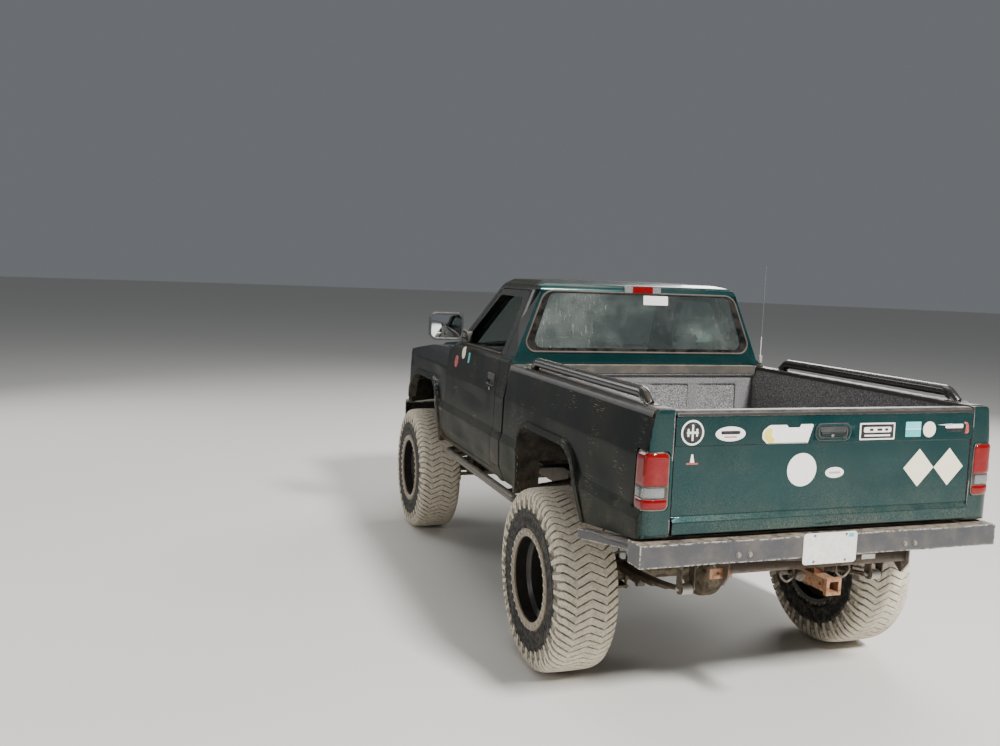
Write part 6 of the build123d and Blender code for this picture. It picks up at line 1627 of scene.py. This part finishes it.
def backrest_part(low_x, high_x, tall_low, tall_high):
    """One section of the seat's back, leaning with it."""
    front = [(low_x, BACKREST_FOOT, 0.03), (high_x, BACKREST_FOOT, 0.03), (high_x, 1.655, 0.06)]
    if tall_low is not None:
        front += [(tall_high, 1.700, 0.03), (tall_high - 0.03, 1.838, 0.07)]
        front += [(tall_low + 0.03, 1.838, 0.07), (tall_low, 1.700, 0.03)]
    front += [(low_x, 1.655, 0.06)]
    made = mirrored(plate(rounded(front, 5), 0.118, at_plane((0, 0.205, 0), *TAIL), 0.022))
    for point in made.verts:
        rise = max(0.0, point.co.z - BACKREST_FOOT)
        back = point.co.y > 0.13
        point.co.y += 0.132 * rise / 0.67 + (0.012 if back else 0.118)
    return made


back_shapes = [
    ("seat_back_left", backrest_part(0.245, 0.712, 0.290, 0.545)),
    ("seat_back_middle", backrest_part(-0.240, 0.240, None, None)),
    ("seat_back_right", backrest_part(-0.712, -0.245, -0.545, -0.290)),
]
for name, shape in back_shapes:
    middle_x = sum(point.co.x for point in shape.verts) / len(shape.verts)
    lines = [(2, z, middle_x - 0.17, middle_x + 0.17, 0) for z in (1.36, 1.50)]
    lines += [(0, middle_x - 0.17, 1.22, 1.62, 2), (0, middle_x + 0.17, 1.22, 1.62, 2)]
    back = stitched(pillow(shape, 6 * MM), lines, 8 * MM, 15 * MM)
    back_piece = piece(name, back, SEAT_CLOTH, "seat_cloth", 60)

finish("dashboard", "dashboard_moulded", GREY_PLASTIC, "grey_plastic")
DASH_SURFACE = surface_of("dashboard")
DASH_LEAN = radians(14)


def dash_part(x, z, outline, thick, proud, soft=1.5 * MM):
    """A part set in the dashboard's face; x and z in metres."""
    at = DASH_SURFACE.ray_cast(Vector((x, 0.2, z)), Vector((0, -1, 0)))[0]
    spot = at_plane(at + Vector((0, proud, 0)), (-1, 0, 0), (0, -sin(DASH_LEAN), cos(DASH_LEAN)))
    return plate(outline, thick, spot, soft)


dials = [
    dash_part(x, 1.505, disc_outline(r), 0.004, 0.022)
    for x, r in ((0.335, 0.05), (0.465, 0.05), (0.40, 0.02))
]
cluster = dash_part(0.40, 1.505, box_outline(0.36, 0.14, 0.04), 0.03, 0.016)
radio = dash_part(-0.02, 1.50, box_outline(0.21, 0.11, 0.008), 0.02, 0.012)
heater = dash_part(-0.02, 1.39, box_outline(0.21, 0.07, 0.008), 0.02, 0.012)
VENT_XS, VENT_Z = (0.70, 0.19, -0.24, -0.70), 1.53
vents = [dash_part(x, VENT_Z, box_outline(0.12, 0.06, 0.012), 0.02, 0.012) for x in VENT_XS]
piece("dash_panels", joined(cluster, radio, heater, *vents), BLACK_PLASTIC, "black_plastic")
piece("dash_dials", joined(*dials), WHITE_PLASTIC, "grey_plastic")
KNOB_PLACES = ((0.06, 1.39), (-0.02, 1.39), (-0.10, 1.39), (0.065, 1.495), (-0.105, 1.495))
knobs = [dash_part(x, z, disc_outline(0.014), 0.022, 0.034, 3 * MM) for x, z in KNOB_PLACES]
glove = dash_part(-0.50, 1.40, box_outline(0.34, 0.13, 0.02), 0.012, 0.008)
piece("dash_knobs", joined(*knobs), BLACK_RUBBER, "black_plastic")
piece("glovebox_lid", glove, GREY_PLASTIC, "grey_plastic")
slats = []
for x in VENT_XS:
    for i in range(4):
        slat_z = VENT_Z - 0.019 + 0.0125 * i
        slats.append(dash_part(x, slat_z, box_outline(0.104, 0.004, 0.0015), 0.006, 0.015, 0))
piece("dash_vent_slats", joined(*slats), GREY_PLASTIC, "grey_plastic")

finish("steering_wheel", "steering_wheel_finish", BLACK_PLASTIC, "black_plastic")
gear_lever = run([(0.02, -0.42, 0.975), (0.02, -0.40, 1.15), (0.03, -0.36, 1.33)], 9 * MM)
KNOB_LINE = [(-0.03, 0), (-0.028, 0.014), (-0.012, 0.025), (0.008, 0.026), (0.024, 0.017), (0.03, 0)]
gear_knob = lathe(KNOB_LINE, 20, closed=False)
gear_knob.transform(Matrix.Translation((0.031, -0.352, 1.352)) @ Matrix.Rotation(-pi / 2, 4, "Y"))
BOOT_LINE = [(0.0, 0.085), (0.012, 0.082), (0.03, 0.06), (0.05, 0.05), (0.07, 0.03), (0.095, 0.018)]
boot = lathe(BOOT_LINE + [(0.095, 0.0), (0, 0)], 24, closed=False)
boot.transform(Matrix.Translation((0.02, -0.43, 0.949)) @ Matrix.Rotation(-pi / 2, 4, "Y"))
piece("gear_lever", gear_lever, DULL_STEEL, "machined_steel", 50)
piece("gear_knob_and_boot", joined(gear_knob, boot), BLACK_RUBBER, "black_plastic", 40)
pedals = []
for x, wide in ((0.52, 0.07), (0.40, 0.09), (0.28, 0.05)):
    pad_spot = at_plane((x, -0.80, 1.08), (-1, 0, 0), (0, -0.5, 0.87))
    pedals.append(plate(box_outline(wide, 0.075, 0.012), 0.012, pad_spot, 2 * MM))
    pedals.append(run([(x, -0.812, 1.10), (x, -0.86, 1.25), (x, -0.93, 1.33)], 6 * MM))
piece("pedals", joined(*pedals), BLACK_RUBBER, "black_plastic", 40)
mirror_spot = at_plane((0, -0.500, 2.005), (-1, 0, 0), (0, -0.15, 1))
inside_mirror = plate(box_outline(0.25, 0.065, 0.028), 0.022, mirror_spot, 6 * MM)
mirror_stem = run([(0, -0.515, 2.01), (0, -0.530, 2.035), (0, -0.522, 2.055)], 6 * MM)
piece("inside_mirror", joined(inside_mirror, mirror_stem), BLACK_PLASTIC, "black_plastic")


# Rear bumper, number plate and hitch


def battered(made, amount):
    """Gives long steel a slightly uneven face."""
    for point in made.verts:
        x, y, z = point.co
        point.co.y += amount * sin(9 * x + 2 * z) * cos(23 * x)
        point.co.z += 0.6 * amount * sin(13 * x + 5 * y)
    return made


BUMPER_DENTS = [
    ((0.93, 2.53, 1.02), (0.07, 0.05, 0.05), (0, -0.006, -0.003)),
    ((-0.75, 2.53, 1.01), (0.16, 0.05, 0.04), (0, -0.004, -0.004)),
]
bumper = welded("rear_bumper")
gridded(bumper, 0, -1.0, 1.0, 0.04)
gridded(bumper, 2, 0.935, 1.0, 0.022)
dented(battered(bumper, 1.6 * MM), BUMPER_DENTS)
piece("rear_bumper_coated", bumper, BUMPER_COAT, "black_paint", stands_for=["rear_bumper"])

plate_sheet = plate(box_outline(0.304, 0.152, 0.018), 1.4 * MM, at_plane((0, 2.5284, 0.954), *TAIL), 0.5 * MM)
rim_line, rim_hole = box_outline(0.300, 0.148, 0.016), box_outline(0.289, 0.137, 0.012)
plate_rim = plate(rim_line, 1.2 * MM, at_plane((0, 2.5294, 0.954), *TAIL), 0.6 * MM, rim_hole)
number_plate = joined(plate_sheet, plate_rim)
piece("number_plate", number_plate, PLATE_PAINT, "plate_white", stands_for=["licence_plate"])
tag = plate(box_outline(0.030, 0.018, 0.002), 0.5 * MM, at_plane((-0.118, 2.5290, 1.012), *TAIL))
piece("number_plate_tag", tag, TEAL_VINYL, "plate_white")


def bolt_rows(across, tall, y, xs, zs, facing_to=TAIL):
    """Hex bolts at each of the places xs by zs, in a face at y."""
    return [hex_bolt(across * MM, tall * MM, at_plane((x, y, z), *facing_to)) for x in xs for z in zs]


rear_bolts = bolt_rows(9, 4, 2.5285, (-0.089, 0.089), (0.892, 1.018))
rear_bolts += bolt_rows(19, 9, 2.5255, (-0.50, -0.44, 0.44, 0.50), (0.948,))
piece("plate_and_bumper_bolts", joined(*rear_bolts), DULL_STEEL, "machined_steel")


def hitch_rule(middle, out):
    """Bare orange rust on the slide mount, old dark rust elsewhere."""
    return 1 if abs(middle.x) < 45 and middle.z < 822 else 0


finish("hitch_receiver", "hitch_rusted", [HITCH_STEEL, ORANGE_STEEL], "rusted_steel", hitch_rule)
side_bolts = [
    hex_bolt(19 * MM, 10 * MM, at_plane((side * 0.5205, y, z), (0, side, 0), (0, 0, 1)))
    for side in (1, -1)
    for y, z in ((2.345, 0.868), (2.375, 0.855))
]
piece("hitch_bolts", joined(*side_bolts), DULL_STEEL, "machined_steel")
strap_line = [(-x, z, 0.004) for x, z in ((0.590, 0.872), (0.470, 0.872), (0.470, 0.820), (0.590, 0.820))]
strap_hole = disc_outline(0.008, -0.545, 0.846, 16)
strap = plate(rounded(strap_line, 3), 8 * MM, at_plane((0, 2.440, -0.008), *TAIL), 1 * MM, strap_hole)
piece("hitch_left_strap", strap, ORANGE_STEEL, "rusted_steel")
label = plate(box_outline(0.080, 0.024, 0.003), 0.6 * MM, at_plane((-0.285, 2.4615, 0.874), *TAIL))
piece("hitch_label", label, WHITE_VINYL, "plate_white")


def chain_loop(x):
    """A welded loop for a safety chain, standing under the cross tube."""
    line = [
        (x - 0.035, 2.430, 0.842), (x - 0.038, 2.432, 0.80), (x, 2.434, 0.770),
        (x + 0.038, 2.432, 0.80), (x + 0.035, 2.430, 0.842),
    ]
    return run(curve_through(line), 6 * MM)


piece("safety_chain_loops", joined(chain_loop(0.16), chain_loop(-0.16)), HITCH_STEEL, "rusted_steel", 50)
SOCKET_LINE = [(0.0, 0.0), (0.0, 0.020), (0.030, 0.021), (0.036, 0.026), (0.052, 0.026), (0.055, 0.021)]
connector = lathe(SOCKET_LINE + [(0.055, 0.0)], 20, closed=False)
connector.transform(Matrix.Translation((0.10, 2.404, 0.800)) @ Matrix.Rotation(pi / 2, 4, "Z"))
piece("trailer_socket", connector, BLACK_PLASTIC, "black_plastic")

# Spring eyes and other turned parts below


def bush(x0, x1, y, z, radius):
    """A turned bush with its bolt ends, along X."""
    washer = radius * 0.72
    outline = [(x0 - 0.016, 0.0), (x0 - 0.016, 0.010), (x0 - 0.004, 0.010), (x0 - 0.004, washer)]
    outline += [(x0 + 0.004, washer), (x0 + 0.006, radius), (x1 - 0.006, radius), (x1 - 0.004, washer)]
    outline += [(x1 + 0.004, washer), (x1 + 0.004, 0.010), (x1 + 0.016, 0.010), (x1 + 0.016, 0.0)]
    made = lathe(outline, 24, closed=False)
    made.transform(Matrix.Translation((0, y, z)))
    return made


LEAF_X = 0.565
bushes = [bush(side * LEAF_X - 0.034, side * LEAF_X + 0.034, 2.185, 0.678, 0.0285) for side in (1, -1)]
piece("spring_eye_bushes", joined(*bushes), PALE_STEEL, "machined_steel")


def u_bolts(side):
    """The two bolts that clamp a leaf spring to the axle, over its top plate."""
    found = []
    for y in (1.355, 1.455):
        x0, x1 = side * LEAF_X - 0.041, side * LEAF_X + 0.041
        line = [
            (x0, y, 0.470), (x0, y, 0.625), (x0 + 0.006, y, 0.640), (x0 + 0.02, y, 0.646),
            (x1 - 0.02, y, 0.646), (x1 - 0.006, y, 0.640), (x1, y, 0.625), (x1, y, 0.470),
        ]
        found.append(run(line, 6 * MM))
    return joined(*found)


piece("spring_u_bolts", joined(u_bolts(1), u_bolts(-1)), DULL_STEEL, "machined_steel", 50)


def damper_rule(middle, out):
    """Painted body below, bright dust shield above."""
    return 1 if 720 < middle.z < 965 else 0


DAMPER_COAT = coated_steel("grey_damper_enamel", "3f4347", "8f8a80", chips=0.4, rough=0.35, dust=0.7)
finish("shock_absorbers", "dampers_finished", [DAMPER_COAT, PALE_STEEL], "black_paint", damper_rule)

# Front end: grille, lamps, bumper


def grille_rule(middle, out):
    """Bright frame; black bars in the openings."""
    x, in_upper = abs(middle.x), 1176 < middle.z < 1424
    inside = x < 580 and (in_upper or 1040 < middle.z < 1114)
    middle_bar = x < 16 and in_upper and middle.y < -2368
    return 1 if inside and middle.y > -2374 and not middle_bar else 0


finish("grille", "grille_finished", [CHROME, BLACK_PLASTIC], "machined_steel", grille_rule)
finish("radiator", "radiator_finished", BLACK_PLASTIC, "black_plastic")
fins = bmesh.new()
bmesh.ops.create_cube(fins, size=1.0)
fins.transform(Matrix.Translation((-0.44, -2.274, 1.193)) @ Matrix.Diagonal((0.004, 0.008, 0.44, 1)))
fin_row = edited(grown(as_mesh(fins), ROW, Count=89, Step=(0.010, 0, 0), Material=DULL_STEEL))
piece("radiator_fins", fin_row, DULL_STEEL, "machined_steel")


def headlamp_rule(middle, out):
    """Clear lens, amber at its outer end, dull silver behind."""
    if out.y > 0.3:
        return 2
    return 1 if abs(middle.x) > AMBER_X / MM else 0


AMBER_X = 0.868
HEAD_LENS = lens("clear_headlamp_fluted", "d3d8d8", 14 * MM, 0.35, along=0)
HEAD_COATS = [HEAD_LENS, AMBER_LENS, CHROME_DULL]
HEAD_CUTS = [(0, AMBER_X, AMBER_X, 1.0), (0, -AMBER_X, -AMBER_X, 1.0)]
finish("headlamps", "headlamps_finished", HEAD_COATS, "clear_lens", headlamp_rule, HEAD_CUTS)
FENDER_SKIN = surface_of("front_fenders", "headlamps")
look = at_plane((0, -2.30, 0), *AHEAD)
corners = [(0.688, 1.198, 0.016), (0.896, 1.198, 0.04), (0.896, 1.348, 0.04), (0.688, 1.348, 0.016)]
left_ring = laid(outline_steps(rounded(corners, 5), 0.02), look, FENDER_SKIN, 1.5 * MM)
for name, side in SIDES:
    ring = [(side * x, y, z) for x, y, z in left_ring]
    piece(f"headlamp_bezel_{name}", run(ring, 5 * MM, closed=True), CHROME_DULL, "machined_steel", 60)


def fender_rule(middle, out):
    """Paint outside, black underseal inside and on the aprons."""
    hidden = outward(middle, out) < -0.35 or out.z < -0.5 or abs(middle.x) < 640
    if hidden or (middle.y > -2330 and out.y > 0.8):
        return 2
    return 1 if middle.z < 1100 else 0


FENDER_COATS = [PAINT, LOW_PAINT, UNDERSEAL]
FENDER_CUTS = [(1, -2.34, -0.98, 0.05), (2, 0.9, 1.58, 0.05)]
FENDER_DENTS = [
    ((0.98, -1.28, 1.36), (0.08, 0.25, 0.12), (-0.007, 0, 0)),
    ((0.96, -2.15, 1.42), (0.10, 0.16, 0.10), (-0.006, 0.003, 0)),
    ((-0.97, -1.95, 1.40), (0.10, 0.20, 0.12), (0.006, 0, 0)),
]
FENDER_WORK = (fender_rule, FENDER_CUTS, FENDER_DENTS)
finish("front_fenders", "front_fenders_painted", FENDER_COATS, "body_paint", *FENDER_WORK)


def hood_rule(middle, out):
    """Paint above, black underseal below."""
    return 1 if out.z < -0.3 else 0


HOOD_CUTS = [(0, -0.64, 0.65, 0.08), (1, -2.34, -1.03, 0.08)]
HOOD_DENTS = [((0.25, -2.2, 1.56), (0.25, 0.12, 0.1), (0, 0, -0.005))]
HOOD_DENTS += [((-0.3, -1.5, 1.63), (0.3, 0.3, 0.1), (0, 0, -0.003))]
finish("hood", "hood_painted", [PAINT, UNDERSEAL], "body_paint", hood_rule, HOOD_CUTS, HOOD_DENTS)

front = welded("front_bumper")
gridded(front, 0, -0.96, 0.96, 0.05)
battered(front, 1.5 * MM)
piece("front_bumper_coated", front, BUMPER_COAT, "black_paint", stands_for=["front_bumper"])


def tow_hook(x):
    """A forged hook bolted under a front bracket."""
    line = [
        (x, -2.40, 0.862), (x, -2.47, 0.858), (x, -2.515, 0.845), (x, -2.530, 0.812),
        (x, -2.505, 0.785), (x, -2.470, 0.790),
    ]
    return run(curve_through(line), 10 * MM)


piece("front_tow_hooks", joined(tow_hook(0.36), tow_hook(-0.36)), RED_ENAMEL, "machined_steel", 50)
face_bolts = bolt_rows(17, 8, -2.5755, (-0.47, -0.40, 0.40, 0.47), (0.868, 0.930), AHEAD)
piece("front_bumper_bolts", joined(*face_bolts), DULL_STEEL, "machined_steel")


def antenna_rule(middle, out):
    """Black base and spring, white lower mast, grey whip."""
    if middle.z < 1665:
        return 0
    return 1 if middle.z < 1830 else 2


MAST_COATS, MAST_CUTS = [BLACK_RUBBER, WHITE_PLASTIC, GREY_PLASTIC], [(2, 1.665, 1.83, 0.165)]
finish("whip_antenna", "whip_antenna_finished", MAST_COATS, "black_plastic", antenna_rule, MAST_CUTS)
coil = []
for i in range(75):
    angle = 2 * pi * i / 10
    coil.append((-0.867 + 0.0125 * cos(angle), 0.583 + 0.0125 * sin(angle), 1.652 + 0.0006 * i))
piece("antenna_spring", run(coil, 2.2 * MM), PALE_STEEL, "machined_steel", 60)


# Parts that keep their CAD shape: node, material, slot
KEPT = [
    ("ladder_frame", FRAME_COAT, "black_paint"),
    ("engine_and_gearbox", CAST_IRON, "cast_axle"),
    ("driveshafts", DULL_STEEL, "machined_steel"),
    ("front_axle", CAST_IRON, "cast_axle"),
    ("rear_axle", CAST_IRON, "cast_axle"),
    ("coil_springs", TUBE_COAT, "black_paint"),
    ("suspension_links", FRAME_COAT, "black_paint"),
    ("leaf_springs", CAST_IRON, "cast_axle"),
    ("exhaust", HITCH_STEEL, "rusted_steel"),
    ("fuel_tank", BLACK_PLASTIC, "black_plastic"),
    ("steering_box", CAST_IRON, "cast_axle"),
    ("rock_sliders", TUBE_COAT, "black_paint"),
    ("knuckle_left", CAST_IRON, "cast_axle"),
    ("knuckle_right", CAST_IRON, "cast_axle"),
    ("tie_rod", DULL_STEEL, "machined_steel"),
    ("pitman_arm", CAST_IRON, "cast_axle"),
    ("drag_link", DULL_STEEL, "machined_steel"),
]
for node, material, slot in KEPT:
    finish(node, f"{node}_finish", material, slot)


# Camera, floor and light

eye = bpy.data.objects.new("camera", bpy.data.cameras.new("camera"))
bpy.context.scene.collection.objects.link(eye)
bpy.context.scene.camera = eye
IMAGE_WIDTH = 1000
FOCAL_PIXELS = 922.0
YAW, PITCH, ROLL = radians(-18.49), radians(5.96), radians(2.14)
ahead = Vector((sin(YAW) * cos(PITCH), -cos(YAW) * cos(PITCH), -sin(PITCH)))
level = ahead.cross(Vector((0, 0, 1))).normalized()
above = level.cross(ahead)
right = level * cos(ROLL) + above * sin(ROLL)
up = above * cos(ROLL) - level * sin(ROLL)
turn = Matrix((right, up, -ahead)).transposed().to_4x4()
eye.matrix_world = Matrix.Translation((2.873, 6.078, 2.177)) @ turn
eye.data.sensor_width = 36.0
eye.data.lens = 36.0 * FOCAL_PIXELS / IMAGE_WIDTH
eye.data.clip_start, eye.data.clip_end = 0.05, 500.0

bpy.ops.mesh.primitive_circle_add(vertices=96, radius=120.0, fill_type="NGON")
floor = bpy.context.object
floor.name = "floor"
concrete = Look("pale_studio_floor", Roughness=0.75, Base_Color=colour("dedbd4"))
floor.data.materials.append(concrete.material)

world = bpy.data.worlds.new("studio")
bpy.context.scene.world = world
world.use_nodes = True
sky = world.node_tree.nodes["Background"]
sky.inputs["Color"].default_value = colour("dfe5ec")
sky.inputs["Strength"].default_value = 0.2

LAMPS = [  # place, what it points at, side in metres, watts
    ((-2.2, 10.5, 9.5), (0, 0.9, 1.1), 1.6, 3300),
    ((9.0, 2.0, 2.6), (0, 0.3, 1.2), 1.6, 150),
    ((-7.0, -7.0, 6.0), (0, -1.0, 1.0), 5.0, 700),
    ((6.5, -8.0, 5.0), (0, -1.4, 1.0), 4.0, 260),
    ((0.0, -1.5, 9.0), (0, -0.5, 0.0), 6.0, 300),
]
for i, (spot, target, side, watts) in enumerate(LAMPS):
    data = bpy.data.lights.new(f"softbox_{i}", "AREA")
    data.size, data.energy = side, watts
    lamp = bpy.data.objects.new(f"softbox_{i}", data)
    bpy.context.scene.collection.objects.link(lamp)
    lamp.location = spot
    lamp.rotation_euler = (Vector(target) - Vector(spot)).to_track_quat("-Z", "Y").to_euler()

bpy.data.scenes.remove(WORKSHOP)
